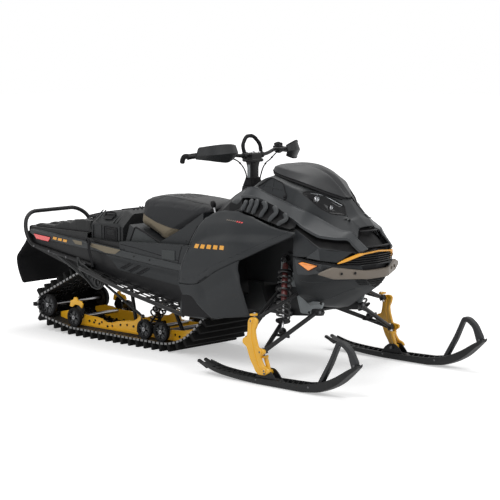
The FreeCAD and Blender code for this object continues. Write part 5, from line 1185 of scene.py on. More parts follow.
def makeMarks():
    # plain slanted bars, with no letters, laid on the panels
    panelTree = surfaceTree(bpy.data.objects["sidePanelSkins"])
    onFlank = (lambda u, v, h: laidOn(panelTree, [(x, .6, z) for x, z in zip(u, v)], (0, 1, 0), .0004)
        + np.column_stack((h * 0, h, h * 0)))
    onTop = (lambda u, v, h: laidOn(panelTree, [(x, .42, z) for x, z in zip(u, v)], (0, 1, .5), .0004)
        + np.column_stack((h * 0, h * .9, h * .45)))

    def barRow(facts, place):
        (x, z), (along, up) = facts["start"], facts["step"]
        return [platePart(barLoop(x + along * k, z + up * k, *facts["size"]), place, .0012, .0004)
            for k in range(facts["count"])]
    makePair("panelBars", barRow(marks["panelBars"], onFlank), "orange_trim")
    upper = barRow(marks["upperBars"], onTop)
    makePair("upperBars", upper[:marks["greyBars"]], "taupe")
    # the last bars take the red lens finish with its glow, so these printed bars show painted light
    makePair("redBarsPaintedGlow", upper[marks["greyBars"]:], "red_lens")
    at = np.linspace(2.0, 5.2, marks["bandBars"] * 2 + 1)
    top, low = hoodLine("railTop", at), hoodLine("railLow", at)
    bars = []
    for k in range(0, len(at) - 1, 2):
        corners = np.array([top[i] + (low[i] - top[i]) * share
            for i, share in ((k, .34), (k + 1, .34), (k + 1, .66), (k, .66))])
        normal = np.cross(corners[1] - corners[0], corners[3] - corners[0])
        normal *= np.sign(normal[1]) / np.linalg.norm(normal)
        base = corners + normal * (hood["railProud"] * .95)
        bars.append(ringPart([base, base + normal * .0014]))
    makePair("bandBars", bars, "black_plastic", sharp=20)
    # lighter shoulder on the console's side, and the dark line that parts it from the band
    tree = surfaceTree(bpy.data.objects["console"])
    shoulder = np.array(((.385, .28, .972), (.372, .255, 1.0), (.42, .215, 1.04), (.455, .205, 1.055),
        (.476, .24, 1.032), (.484, .285, .998), (.44, .292, .968)))
    loop = spacedAlong(roundedLoop(shoulder, .014, 3), .008, closed=True)
    centre = loop.mean(axis=0)
    rings = [laidOn(tree, centre + (loop - centre) * grow, (0, .75, .66), lift)
        for grow, lift in ((1, 0.0), (1, .003), (.95, .0045), (.6, .0045), (.25, .0045))]
    makePair("shoulderPanels", [ringPart(rings)], "rail_grey", sharp=40)


makeMarks()
print("flanks")

belly = {
    # rings from the rear forwards: x, then (y, z) of waist, marker low, crease, chine, keel, left side
    "rings": (
        (.905, (.306, .691), (.309, .64), (.301, .589), (.292, .54), (.262, .47), (.15, .4), (0, .372)),
        (.95, (.308, .69), (.31, .645), (.3, .589), (.283, .53), (.24, .47), (.13, .398), (0, .376)),
        (1.004, (.311, .684), (.31, .64), (.292, .586), (.255, .52), (.19, .45), (.1, .4), (0, .38)),
        (1.06, (.31, .68), (.308, .635), (.268, .586), (.22, .53), (.15, .47), (.08, .425), (0, .396)),
        (1.121, (.306, .676), (.3, .628), (.225, .586), (.185, .545), (.125, .5), (.062, .46), (0, .435)),
        (1.174, (.228, .663), (.232, .63), (.185, .586), (.15, .556), (.1, .52), (.05, .49), (0, .47)),
        (1.217, (.175, .662), (.165, .632), (.147, .586), (.118, .562), (.08, .53), (.04, .51), (0, .495)),
        (1.258, (.134, .661), (.11, .63), (.095, .586), (.075, .565), (.05, .545), (.025, .53), (0, .522)),
    ),
    "wall": .004,
    "panel": ((.922, .684), (1.118, .672), (1.158, .66), (1.126, .622), (1.01, .6), (.94, .596)),
    "lamp": ((.953, .664), (.986, .674), (1.1, .662), (1.028, .628)),
}


def bellyHalf(columns=40, rows=80):
    rings = np.array([[(ring[0], y, z) for y, z in ring[1:]] for ring in belly["rings"]])
    lengthwise = curveThrough(np.column_stack((np.arange(len(rings)), rings.reshape(len(rings), -1))),
        np.linspace(0, len(rings) - 1, rows)).reshape(rows, -1, 3)
    share = np.linspace(0, rings.shape[1] - 1, columns)
    low = np.minimum(share.astype(int), rings.shape[1] - 2)
    part = (share - low)[None, :, None]
    return softenRows(lengthwise[:, low] * (1 - part) + lengthwise[:, low + 1] * part, 1)


def bellySide(x, z):
    # the left skin's y at each (x, z) between the waist and the crease
    grid = bellyHalf(40, 120)
    column = np.array([np.interp(z, line[::-1, 2], line[::-1, 1]) for line in grid])
    return float(np.interp(x, grid[:, 0, 0], column))


def makeBelly():
    half = bellyHalf()
    whole = np.concatenate((half[:, :0:-1], half * (1, -1, 1)), axis=1)[:, ::-1]
    makePiece("bellyShell", [slabPart(whole[:, ::-1], belly["wall"])], "charcoal", hides="belly_pan",
        sharp=32)

    def onSide(u, v, h):
        return np.column_stack((u, [bellySide(x, z) + .0012 + k for x, z, k in zip(u, v, h)], v))
    panel = roundedLoop(belly["panel"], .008, 3)
    makePair("markerPanels", [platePart(panel, onSide, .005, .002)], "rail_grey", sharp=30)
    lamp = roundedLoop(belly["lamp"], .006, 3)
    raised = lambda u, v, h: onSide(u, v, h + .004)
    makePair("markerLenses", [platePart(lamp, raised, .006, .0022)], "amber", hides="marker_lamps", sharp=30)
    rim = np.array([(x, bellySide(x, z) + .006, z) for x, z in insetLoop(lamp, -.0025)])
    makePair("markerRims", [tubePart(rim, .002, 8, closed=True)], "black_plastic")
    # creases: a rib along the chine, and intake slats low at the front
    ribs, slats = [], []
    for column, start, end in ((16, 10, 74), (27, 6, 60)):
        line = half[start:end, column] + skinNormals(half)[start:end, column] * .001
        ribs.append(tubePart(line, .0025, 8))
    makePair("bellyCreases", ribs, "charcoal")
    for height in np.linspace(.545, .578, 4):
        path = np.array([(1.217, .082 + (height - .53) * 1.19, height),
            (1.258, .052 + (height - .545) * 1.2, height), (1.262, 0, height)])
        path = roundedPath(path, .012, 5)
        slats.append(tubePart(acrossMiddle(path), .0032, 8))
    makePiece("intakeSlats", slats, "glossBlack")
    seam = half[4:, 0] + (.002, .002, .0015)
    makePair("waistSeams", [tubePart(seam, .003, 8)], "rubber")


makeBelly()

bumper = {
    "plan": ((1.134, .35), (1.147, .334), (1.18, .272), (1.265, .113), (1.275, .098), (1.282, .06),
        (1.285, 0)),
    "topZ": (.624, .634, .655, .632, .63, .63, .63),
    "lowZ": (.618, .612, .588, .582, .58, .58, .58),
    "depth": .02,
    # share of the height down from the top, share of the depth back from the face
    "section": ((0.0, 1.0), (0.0, .35), (.06, .08), (.14, 0.0), (.5, .06), (.86, 0.0), (.94, .08), (1.0, .35),
        (1.0, 1.0)),
    "holes": ((1.2035, .232), (1.2415, .16)),
}


def makeBumper():
    rows = np.column_stack((bumper["plan"], bumper["topZ"], bumper["lowZ"]))
    reach = distanceAlong(rows[:, :2])
    at = np.linspace(0, reach[-1], 70)
    line = np.column_stack([np.interp(at, reach, rows[:, k]) for k in range(4)])
    for _ in range(3):
        line[1:-1] = (line[:-2] + 2 * line[1:-1] + line[2:]) / 4
    line = np.concatenate((line, (line * (1, -1, 1, 1))[-2::-1]))
    ahead = np.gradient(line[:, :2], axis=0)
    out = unitRows(np.column_stack((-ahead[:, 1], ahead[:, 0])))
    out *= np.where(out[:, :1] < 0, -1, 1)
    grid = []
    depth = (bumper["depth"] * np.clip(np.minimum(np.arange(len(line)), np.arange(len(line))[::-1]) / 12
        + .15, 0, 1))
    for drop, back in bumper["section"]:
        z = line[:, 2] + (line[:, 3] - line[:, 2]) * drop
        grid.append(np.column_stack((line[:, :2] - out * (depth * back)[:, None], z)))
    rings = np.array(grid).transpose(1, 0, 2)
    makePiece("bumperBar", [ringPart(rings)], "taupe", hides="front_bumper", sharp=28)
    holes, rims = [], []
    for x, y in bumper["holes"]:
        way = np.array((.86, .5, 0))
        middle = np.array((x, y, .619))
        holes.append(discPart(middle - way * .004, way, .0075, .0062, .0005, 20))
        rims.append(lathePart(((.0075, 0), (.0098, 0), (.0098, .003), (.0086, .004), (.0075, .003)),
            middle - way * .001, way, 20, hollow=True))
    makePair("bumperHoles", holes, "black_plastic")
    makePair("bumperHoleRims", rims, "taupe")
    shelf = np.stack((line[8:-8, :2] - out[8:-8] * .018, line[8:-8, :2] - out[8:-8] * .06), axis=1)
    shelf = np.concatenate((shelf, np.repeat(line[8:-8, 2][:, None, None] - .002, 2, axis=1)), axis=2)
    makePiece("bumperShelf", [slabPart(shelf, .004)], "black_plastic")


makeBumper()

vent = {"outline": ((.546, 1.064), (.647, 1.124), (.735, 1.104), (.792, 1.02), (.777, 1.0)),
    "fastener": (.772, 1.022)}


def makeVents():
    # a rim, a fastener and bars laid on the hood's side, inside the patch's outline
    at = np.linspace(0, 5, 200)
    skin = skinBetween(("shoulder", "groove"), at, (30,), 0)

    def onSkin(x, z, lift):
        distance = (skin[..., 0] - x) ** 2 + (skin[..., 2] - z) ** 2
        i, k = np.unravel_index(np.argmin(distance), distance.shape)
        return skin[i, k] + np.array((0, .85, .53)) * lift
    frame = np.array([onSkin(x, z, .0025)
        for x, z in spacedAlong(roundedLoop(vent["outline"], .012, 3), .012, True)])
    makePair("ventRims", [tubePart(smoothPath(frame, .012, True), .0028, 8, closed=True)], "black_plastic")
    x, y, z = onSkin(*vent["fastener"], 0.0)
    makePair("ventFasteners", [discPart((x, y, z), (0, .85, .53), .009, .006, .002, 18)], "black_plastic")
    splits = []
    for a, b in (((.612, 1.1), (.59, 1.062)), ((.668, 1.12), (.672, 1.045)), ((.6, 1.078), (.745, 1.058))):
        line = np.array([onSkin(a[0] + (b[0] - a[0]) * s, a[1] + (b[1] - a[1]) * s, .0012)
            for s in np.linspace(0, 1, 8)])
        splits.append(tubePart(smoothPath(line, .01), .0018, 8))
    makePair("ventBars", splits, "charcoal")


makeVents()
print("front")

seat = {
    # side outline (x, z), slightly inside the real size because the padding swells
    "outline": ((-.524, .764), (-.298, .671), (-.09, .772), (.122, .896), (.076, .924), (-.116, .94),
        (-.27, .945), (-.408, .94), (-.496, .926)),
    "half": .166,
    "edge": .04,            # how far the sides round over
    "crown": .014,
    "voxel": .006,
    "pressure": 2.0,
    "frames": 14,
    "cap": .006,
    "bandTop": ((-.54, .856), (-.5, .838), (-.44, .813), (-.361, .785), (-.25, .763), (-.117, .748),
        (-.06, .762)),
    "fill": .85,
    "channels": (-.3, -.262, -.224, -.186, -.148),
    "sill": ((-.3, .668), (-.19, .716), (-.092, .764), (.02, .83), (.12, .892)),
}


def seatForm():
    # the side outline carried across, its loop drawn in towards both sides, and the top crowned
    outline = roundedLoop(seat["outline"], .03, 5)
    rings = []
    for share in np.sin(np.linspace(-np.pi / 2, np.pi / 2, 29)):
        reach = np.clip((abs(share) * seat["half"] - (seat["half"] - seat["edge"])) / seat["edge"], 0, 1)
        loop = insetLoop(outline, seat["edge"] * (1 - np.sqrt(1 - min(reach, .999) ** 2)) * .8)
        drop = seat["crown"] * share ** 2 * np.clip((loop[:, 1] - .8) / .12, 0, 1)
        rings.append(np.column_stack((loop[:, 0], np.full(len(loop), share * seat["half"]),
            loop[:, 1] - drop)))
    return ringPart(rings)


def meshPoints(piece):
    flat = np.empty(len(piece.data.vertices) * 3)
    piece.data.vertices.foreach_get("co", flat)
    return flat.reshape(-1, 3)


def applyModifiers(piece):
    graph = bpy.context.evaluated_depsgraph_get()
    shaped = bpy.data.meshes.new_from_object(piece.evaluated_get(graph))
    piece.modifiers.clear()
    old = piece.data
    piece.data = shaped
    bpy.data.meshes.remove(old)


def inflate(piece, facts):
    # even voxels, then a short cloth run under pressure with each point's move capped
    remesh = piece.modifiers.new("evenMesh", "REMESH")
    remesh.mode = "VOXEL"
    remesh.voxel_size = facts["voxel"]
    remesh.use_smooth_shade = True
    applyModifiers(piece)
    before = meshPoints(piece)
    cloth = piece.modifiers.new("padding", "CLOTH")
    cloth.settings.use_pressure = True
    cloth.settings.uniform_pressure_force = facts["pressure"]
    cloth.settings.effector_weights.gravity = 0
    cloth.point_cache.frame_start = 1
    cloth.point_cache.frame_end = facts["frames"]
    scene = bpy.context.scene
    for frameNumber in range(1, facts["frames"] + 1):
        scene.frame_set(frameNumber)
    applyModifiers(piece)
    scene.frame_set(1)
    after = meshPoints(piece)
    move = after - before
    size = np.linalg.norm(move, axis=1)[:, None] + 1e-9
    after = before + move / size * np.minimum(size, facts["cap"])
    after[:, 2] = np.where(before[:, 2] < .7, before[:, 2], after[:, 2])
    piece.data.vertices.foreach_set("co", after.ravel())
    piece.data.update()
    smooth = piece.modifiers.new("finer", "SUBSURF")
    smooth.levels = smooth.render_levels = 1


def stitches(line, offset):
    # short threads beside a line, over every second gap between its points
    return [tubePart([point + offset, after + offset], .0008, 5)
        for point, after in zip(line[::2], line[1::2])]


def makeSeat():
    cover = makePiece("seatCushion", [seatForm()], "seat_cover", hides="seat", sharp=180)
    inflate(cover, seat)
    for material in (finishes["seat_cover"], ownFinishes["seatTan"][1]):
        if material.name not in [m.name for m in cover.data.materials if m]:
            cover.data.materials.append(material)
    line = np.array(seat["bandTop"])
    middles = np.array([face.center[:] for face in cover.data.polygons])
    normals = np.array([face.normal[:] for face in cover.data.polygons])
    edgeZ = np.interp(middles[:, 0], line[:, 0], line[:, 1])
    tan = (middles[:, 2] < edgeZ) & (normals[:, 2] > -.72) & (middles[:, 0] < -.06)
    cover.data.polygons.foreach_set("material_index", tan.astype(np.int32))
    cover.data.update()
    tree = surfaceTree(cover)
    seams, threads = [], []
    path = [(x, .2, z) for x, z in spacedAlong(line[1:], .008)]
    border = laidOn(tree, path, (0, 1, 0), .0006)
    rear = laidOn(tree, [(-.6, y, .852) for y in np.linspace(.15, 0, 14)], (-1, 0, 0), .0006)
    seams.append(tubePart(smoothPath(np.vstack((rear[::-1], border))[::2], .008), .0022, 8))
    top = laidOn(tree, [(x, .12 + .012 * np.sin((x + .2) * 6), 1.0) for x in np.linspace(-.47, .06, 60)],
        (0, 0, 1), .0002)
    seams.append(tubePart(smoothPath(top, .01), .0022, 8))
    threads += stitches(top, (0, .006, .0006))
    makePair("seatSeams", seams, "seat_cover")
    ribs = []
    for x in seat["channels"]:
        across = laidOn(tree, [(x + .1 * abs(y), y, 1.0) for y in np.linspace(-.085, .085, 26)], (0, 0, 1),
            -.0006)
        ribs.append(tubePart(smoothPath(across, .008), .0026, 8))
        threads += stitches(across, (.006, 0, .0012))
    makePiece("seatChannels", ribs, "seat_cover")
    makePiece("seatStitches", threads + [mirrored(part) for part in threads[:1]], "threadGrey")
    # black moulded sill under the cushion
    sill = standing(seat["sill"], .168)
    makePair("seatSills", [sweepPart(smoothPath(sill, .02), boxProfile(.006, .01, .003), up=(0, 0, 1))],
        "black_plastic")


makeSeat()

cover = {
    "panel": ((-.492, .752), (-.545, .648), (-.414, .622), (-.262, .668), (-.33, .694), (-.4, .722)),
    "patch": ((-.198, .64), (-.084, .642), (-.084, .58), (-.198, .584)),
    "seams": (((-.575, .64), (-.43, .628), (-.25, .606), (-.06, .584)),
        ((-.06, .56), (-.04, .64), (0.0, .72), (.06, .8))),
    "screws": ((-.545, .61), (-.055, .6), (-.04, .7)),
}


def makeCoverTrim():
    # pieces laid on the tank cover's own sides: dark corner panel, square patch, seams and fasteners
    tree = surfaceTree(bpy.data.objects["tank_cover"])

    def laid(loop, lift):
        return laidOn(tree, [(x, .3, z) for x, z in loop], (0, 1, 0), lift)
    loop = roundedLoop(cover["patch"], .006, 3)
    rings = [laid(insetLoop(loop, .001), 0.0), laid(loop, .001), laid(loop, .003),
        laid(insetLoop(loop, .0015), .004)]
    makePair("coverPatches", [ringPart(rings)], "patchGrey", sharp=30)
    outline = roundedLoop(cover["panel"], .018, 4)
    makePair("cornerFrames", [rimPart(outline, .2335, .0062, 10)], "black_plastic")
    makePair("cornerPanels", [platePart(insetLoop(outline, .004), planeXZ(.23), .005, .002)], "patchGrey",
        sharp=30)
    seams = [tubePart(smoothPath(laid(spacedAlong(line, .01), .0002), .01), .0018, 8)
        for line in cover["seams"]]
    makePair("coverSeams", seams, "rubber")
    screws = [discPart(place, (0, 1, 0), .006, .0035, .001, 6) for place in laid(cover["screws"], -.001)]
    makePair("coverScrews", screws, "black_metal", sharp=20)


makeCoverTrim()
print("seat")

strake = {
    "rear": -1.44, "front": .09,
    "side": .2963,
    "topRear": .668, "topFront": .556,      # upper edge of the light band
    "skirtStart": -.715, "skirtDrop": .092,
    "bandTop": ((-.842, .632), (-.008, .578)),
    "tan": (((-.842, .626), (-.7, .6165), (-.56, .606), (-.612, .576), (-.7, .576), (-.79, .596),
        (-.842, .602)),
        ((-1.02, .634), (-.925, .628), (-.925, .605), (-.99, .608))),
    "orangeBars": (-1.205, -1.155, -1.105),
    # corners: ahead, below the rail's top
    "bar": ((0, .014), (.036, .0167), (.03, .033), (-.006, .0303)),
    "slot": ((-.585, .49), (-.48, .54), (-.452, .537), (-.552, .484)),
    "bolts": (-.44, -.3),
    "lamp": ((-1.4, .642), (-1.232, .63), (-1.252, .602), (-1.372, .611)),
}


def strakeTop(x):
    return (strake["topRear"] + (strake["topFront"] - strake["topRear"]) * (x - strake["rear"])
        / (strake["front"] - strake["rear"]))


def makeStrakes():
    # a bevelled rail whose face leans: profile (y, z below the top), carried from the rear forwards
    at = np.linspace(strake["rear"], strake["front"], 80)
    profile = ((.268, .004), (.272, 0.0), (.29, -.001), (.2945, -.006), (.2963, -.022), (.2945, -.04),
        (.289, -.0465), (.272, -.047), (.268, -.043))
    grow = np.clip(.55 + (at - strake["rear"]) / .1, 0, 1)
    rings = np.array([[(x, y, strakeTop(x) + drop * g) for y, drop in profile] for x, g in zip(at, grow)])
    makePair("strakeRails", [ringPart(rings)], "railSatin", hides="strakes", sharp=28)


def makeSkirts():
    # lower skirt, hollowed between its edges, with a slanted rear end
    at = np.linspace(0, 1, 60)[:, None]
    top = np.concatenate((strake["skirtStart"] + (strake["front"] - strake["skirtStart"]) * at,
        np.full((60, 1), .2845)), axis=1)
    top = np.column_stack((top, strakeTop(top[:, 0]) - .046))
    low = top + (0, 0, -strake["skirtDrop"])
    low[:, 0] += .12 * (1 - at[:, 0])
    low[:, 1] -= .006
    down = np.linspace(0, 1, 18)[None, :, None]
    skirt = top[:, None] * (1 - down) + low[:, None] * down
    skirt[..., 1] += -.005 * np.sin(np.pi * down[..., 0]) ** 2 + .002
    makePair("strakeSkirts", [slabPart(skirt[:, ::-1], .004)], "charcoal", sharp=40)
    loops = [roundedLoop([(x + .071 * k, z - .0115 * k) for x, z in strake["slot"]], .005, 3)
        for k in range(3)]
    makePair("skirtSlots", [platePart(loop, planeXZ(.2803), .002, .0005) for loop in loops], "black_plastic")
    makePair("skirtSlotRims", [rimPart(loop, .2822, .0017) for loop in loops], "charcoal")
    makePair("strakeTanPatches", [sidePlate(outline, .006, 2, .2962, .0012, .0004)
        for outline in strake["tan"]], "tanFilm")
    bars = [platePart([(x + u, strakeTop(x) - v) for u, v in strake["bar"]], planeXZ(.2962), .0014, .0004)
        for x in strake["orangeBars"]]
    makePair("strakeBars", bars, "orange_trim")
    bolts = [discPart((x, .2955, strakeTop(x) - .018), (0, 1, 0), .0065, .0035, .0012, 6)
        for x in strake["bolts"]]
    makePair("strakeBolts", bolts, "black_metal", sharp=20)


def makeTailLamps():
    # black sheet between the strake and the board, painted shade of the tunnel side, and the tail lamps set
    # in the rail
    shadeSheet = np.array([[(-.86, .27, .585), (-.86, .269, .47)], [(-.4, .27, .56), (-.4, .269, .41)],
        [(.1, .27, .52), (.1, .269, .33)]])
    makePair("tunnelShadeSheets", [slabPart(shadeSheet, .003)], "black_metal")
    lamp = roundedLoop(strake["lamp"], .006, 3)
    makePair("tailLenses", [platePart(lamp, planeXZ(.2955), .0075, .002)], "red_lens", hides="taillights",
        sharp=30)
    makePair("tailLensRims", [rimPart(insetLoop(lamp, -.002), .298, .002)], "black_plastic")


makeStrakes()
makeSkirts()
makeTailLamps()

braces = {
    # forged bracket beside the tunnel, the struts either side of it, and the strap with its hook
    "plate": ((-.931, .532), (-.905, .5), (-.798, .452), (-.72, .432), (-.69, .418), (-.682, .39),
        (-.7, .362), (-.74, .345), (-.79, .355),
        (-.82, .382), (-.862, .408), (-.905, .452), (-.925, .485)),
    "cuts": (((-.895, .482), (-.85, .462), (-.868, .428)), ((-.835, .452), (-.79, .434), (-.825, .402)),
        ((-.775, .428), (-.735, .418), (-.79, .388))),
    "ring": (-.735, .39, .03),
    "strap": ((-.858, .298, .634), (-.842, .312, .612), (-.828, .318, .57), (-.805, .322, .52),
        (-.798, .322, .48)),
    "hook": ((-.868, .3, .628), (-.87, .31, .65), (-.845, .314, .655), (-.83, .312, .636),
        (-.842, .31, .616)),
    "struts": (((-1.203, .285, .53), (-.845, .3, .378)), ((-.736, .285, .381), (-.501, .17, .18)),
        ((-.345, .2, .25), (-.245, .178, .3))),
}


def makeBraces():
    outline = roundedLoop(braces["plate"], .012, 4)
    plates = [platePart(outline, planeXZ(.316), .01, .003)]
    pockets, ribs = [], [rimPart(outline, .331, .0055)]
    for cut in braces["cuts"]:
        loop = roundedLoop(cut, .008, 3)
        pockets.append(platePart(loop, planeXZ(.3255), .0016, .0005))
        ribs.append(rimPart(loop, .328, .0035))
    x, z, radius = braces["ring"]
    angle = np.linspace(0, 2 * np.pi, 28, endpoint=False)
    ring = np.column_stack((x + radius * np.cos(angle), np.full(28, .33), z + radius * np.sin(angle)))
    ribs.append(tubePart(ring, .006, 10, closed=True))
    ribs.append(discPart((x, .322, z), (0, 1, 0), .012, .01, .002, 6))
    makePair("bracePlates", plates, "forgedBlack", sharp=30)
    makePair("bracePockets", pockets, "black_plastic")
    makePair("braceRibs", ribs, "forgedBlack")
    struts, bolts = [], []
    for start, end in braces["struts"]:
        start, end = np.array(start), np.array(end)
        struts.append(tubePart(np.linspace(start, end, 12), .0085, 12,
            grow=np.concatenate(([.6], np.ones(10), [.6]))))
        for point in (start, end):
            struts.append(discPart(point - (0, .006, 0), (0, 1, 0), .013, .014, .002, 18))
            bolts.append(discPart(point + (0, .007, 0), (0, 1, 0), .007, .005, .001, 6))
    makePair("braceStruts", struts, "forgedBlack")
    makePair("braceBolts", bolts, "boltSteel", sharp=20)
    strap = smoothPath(braces["strap"], .008)
    band = sweepPart(strap, boxProfile(.011, .002, .001, 1), up=(0, 1, .3))
    hook = tubePart(smoothPath(braces["hook"], .006), .005, 10)
    makePair("hoodStraps", [band, hook], "rubber")


makeBraces()

deck = {"half": .262, "rear": -1.482, "front": -.906, "top": .683, "lanes": (.031, .094, .21),
    "anchorX": (-1.323, -1.023), "anchorY": (-.155, .155)}


def makeDeck():
    # moulded tray: a long skin with raised lands whose height is a product of soft steps along and across
    x = np.linspace(deck["rear"], deck["front"], 120)[:, None]
    y = np.linspace(-deck["half"], deck["half"], 110)[None, :]
    reach = np.abs(y)
    lane = sum(softStep(reach, middle - .023, middle - .017)
        * (1 - softStep(reach, middle + .017, middle + .023)) for middle in deck["lanes"])
    rise = (.015 + .03 * softStep(x, -1.28, -1.18) + .029 * softStep(x, -1.12, -1.03)
        - .012 * softStep(x, -.93, -.91))
    ends = (softStep(x, deck["rear"] + .012, deck["rear"] + .045)
        * (1 - softStep(x, deck["front"] - .02, deck["front"])))
    cell = .5 - .5 * np.cos(np.clip((x + 1.44) / .08 % 1, 0, 1) * 2 * np.pi)
    groove = -.004 * np.clip(1 - cell * 6, 0, 1) * lane
    height = (deck["top"] - .004 * softStep(reach, .245, .262) + lane * rise * ends * .96 + groove * ends
        - .004 * (1 - lane) * ends)
    skin = np.stack(np.broadcast_arrays(x, y, height), axis=-1)
    makePiece("deckSkin", [slabPart(skin, .005)], "deckBlack", hides="rear_deck", sharp=40)
    rails = []
    edge = np.linspace(deck["rear"], deck["front"], 30)
    wall = np.array([[(v, .262, deck["top"] - .002), (v, .264, deck["top"] - .02), (v, .262, .64)]
        for v in edge])
    makePair("deckSides", [slabPart(wall, .004)], "deckBlack")
    for y0 in (.15, .244):
        path = np.column_stack((np.linspace(-1.43, -.93, 12), np.full(12, y0),
            np.full(12, deck["top"] + .003)))
        rails.append(sweepPart(path, boxProfile(.0045, .004, .0015), up=(0, 0, 1)))
    rear = np.array([(deck["rear"] + .003, v, deck["top"] - .004) for v in np.linspace(-.25, .25, 12)])
    rails.append(sweepPart(rear, boxProfile(.006, .006, .002), up=(0, 0, 1)))
    makePiece("deckRails", rails[:2] + [mirrored(part) for part in rails[:2]] + rails[2:], "black_plastic")
    collar = ((.0065, 0), (.017, 0), (.017, .003), (.014, .006), (.0075, .006), (.0065, .004))
    anchors = [lathePart(collar, (px, py, deck["top"] - .001), (0, 0, 1), 24, hollow=True)
        for px in deck["anchorX"] for py in deck["anchorY"]]
    makePiece("anchorCollars", anchors, "black_metal")


makeDeck()

caseBox = {"rear": -.896, "front": -.604, "half": .243, "low": .592, "side": .756, "topHalf": .15,
    "topRear": .806, "topFront": .846}


def makeCaseBox():
    # storage box: rings of one rounded section from the rear forwards, its lid line raised
    facts = caseBox
    rings = []
    for share in np.linspace(0, 1, 24):
        x = facts["rear"] + (facts["front"] - facts["rear"]) * share
        top = (facts["topRear"] + (facts["topFront"] - facts["topRear"]) * share - .03 * max(0, share - .85)
            / .15)
        squeeze = 1 - .03 * (abs(share - .5) * 2) ** 6
        side = facts["side"] - .012 * (1 - share) - .02 * max(0, share - .9) / .1
        section = [(-facts["half"], facts["low"]), (-facts["half"], side), (-facts["topHalf"], top),
            (facts["topHalf"], top), (facts["half"], side), (facts["half"], facts["low"])]
        rings.append(roundedLoop([(x, y * squeeze, z) for y, z in section], .016, 4))
    makePiece("caseShell", [ringPart(rings)], "caseGrey", hides="storage_module", sharp=30)
    ribs = []
    outline = roundedLoop(((-.77, .737), (-.65, .73), (-.652, .642), (-.768, .648)), .01, 3)
    frames = [rimPart(outline, .2435, .0045)]
    inner = roundedLoop(((-.758, .728), (-.662, .722), (-.664, .65), (-.756, .656)), .008, 3)
    panes = [platePart(inner, planeXZ(.2415), .0035, .001)]
    for z in (.712, .704, .696, .688):
        ribs.append(blockPart((-.745, .243, z - .0022), (-.676, .2468, z + .0022), .001))
    for x in (-.882, -.8, -.628):
        ribs.append(platePart(((x - .006, .6), (x - .006, .742), (x + .006, .742), (x + .006, .6)),
            planeXZ(.2425), .005, .002))
    # handle slot and the frame over it on the sloping shoulder
    slope = np.array((0, .093, -.07))
    shoulder = lambda x, down, lift: np.array((x, .15, .826)) + slope * down + np.array((0, .6, .8)) * lift
    grip = [shoulder(-.812, .55, -.002), shoulder(-.812, .3, .016), shoulder(-.72, .3, .018),
        shoulder(-.72, .55, 0.0)]
    frames.append(tubePart(roundedPath(grip, .012, 4), .0062, 10))
    well = np.array([shoulder(-.806, .34, .0005), shoulder(-.726, .34, .002), shoulder(-.726, .74, .002),
        shoulder(-.806, .74, .0005)])
    panes.append((np.vstack((well, well + (0, .003, .004))),
        [[0, 1, 2, 3], [7, 6, 5, 4], [0, 4, 5, 1], [1, 5, 6, 2], [2, 6, 7, 3], [3, 7, 4, 0]]))
    for x in (-.875, -.85, -.69, -.66):
        ribs.append(tubePart([shoulder(x, .05, .002), shoulder(x, .95, .002)], .004, 8))
    makePair("caseFrames", frames, "black_plastic")
    makePair("casePanes", panes, "black_plastic")
    makePair("caseRibs", ribs, "caseGrey")


def makeCaseLid():
    # tongue over the deck, and the lid's long ribs and ring
    tongue = []
    for x, half, top in ((-1.095, .085, .764), (-1.06, .112, .774), (-1.0, .118, .786), (-.93, .119, .797),
            (-.88, .119, .806)):
        tongue.append(roundedLoop([(x, -half, .758), (x, -half, top - .006), (x, -half + .018, top),
            (x, half - .018, top), (x, half, top - .006), (x, half, .758)], .006, 2))
    makePiece("caseTongue", [ringPart(tongue)], "caseGrey", sharp=30)
    crest = ((-1.07, .77), (-.99, .788), (-.885, .808), (-.76, .826), (-.64, .84))
    lid = [tubePart(standing(crest, .035 * k), .0042, 8) for k in range(-3, 4)]
    angle = np.linspace(0, 2 * np.pi, 40, endpoint=False)
    lid.append(tubePart(np.column_stack((-.76 + .058 * np.cos(angle), .082 * np.sin(angle),
        .828 + .008 * np.cos(angle))), .006, 10, closed=True))
    makePiece("caseLidRibs", lid, "black_plastic")


makeCaseBox()
makeCaseLid()

flap = {"half": .283, "front": ((-1.482, .655), (-1.494, .603), (-1.56, .52), (-1.601, .47), (-1.6, .43),
    (-1.594, .4), (-1.575, .35), (-1.551, .306)), "thick": .01, "ribs": (.42, .5, .6, .72, .84, .93)}


def makeFlap():
    line = smoothPath([(x, 0, z) for x, z in flap["front"]], .008)
    across = np.linspace(-flap["half"], flap["half"], 50)
    bow = .01 * (1 - (across / flap["half"]) ** 2)
    shape = 1 - .02 * np.clip((np.arange(len(line)) / len(line) - .6) / .4, 0, 1)
    grid = np.stack([np.column_stack((line[:, 0] - b + .01, y * shape, line[:, 2]))
        for y, b in zip(across, bow)], axis=1)
    makePiece("flapSheet", [slabPart(grid, flap["thick"])], "rubber", hides="snow_flap", sharp=35)
    ribs = []
    for share in flap["ribs"]:
        i = int(share * (len(line) - 1))
        ribs.append(tubePart(grid[i, 2:-2] + (.004, 0, .001), .0035, 8))
    hem = np.concatenate((grid[3:, 0], grid[-1, 1:-1], grid[3:, -1][::-1]))
    ribs.append(tubePart(spacedAlong(hem, .012), .0052, 8))
    makePiece("flapRibs", ribs, "rubber")


makeFlap()


hoop = {
    "half": ((-1.553, 0, .768), (-1.553, .187, .768), (-1.526, .262, .728), (-1.49, .292, .645),
        (-1.44, .2843, .566), (-.83, .2843, .48)),
    "bends": (.04, .06, .05, .03),
    "radius": .0135,
    "bolts": ((-1.4, .56), (-1.25, .539), (-1.08, .515), (-.9, .49)),
}


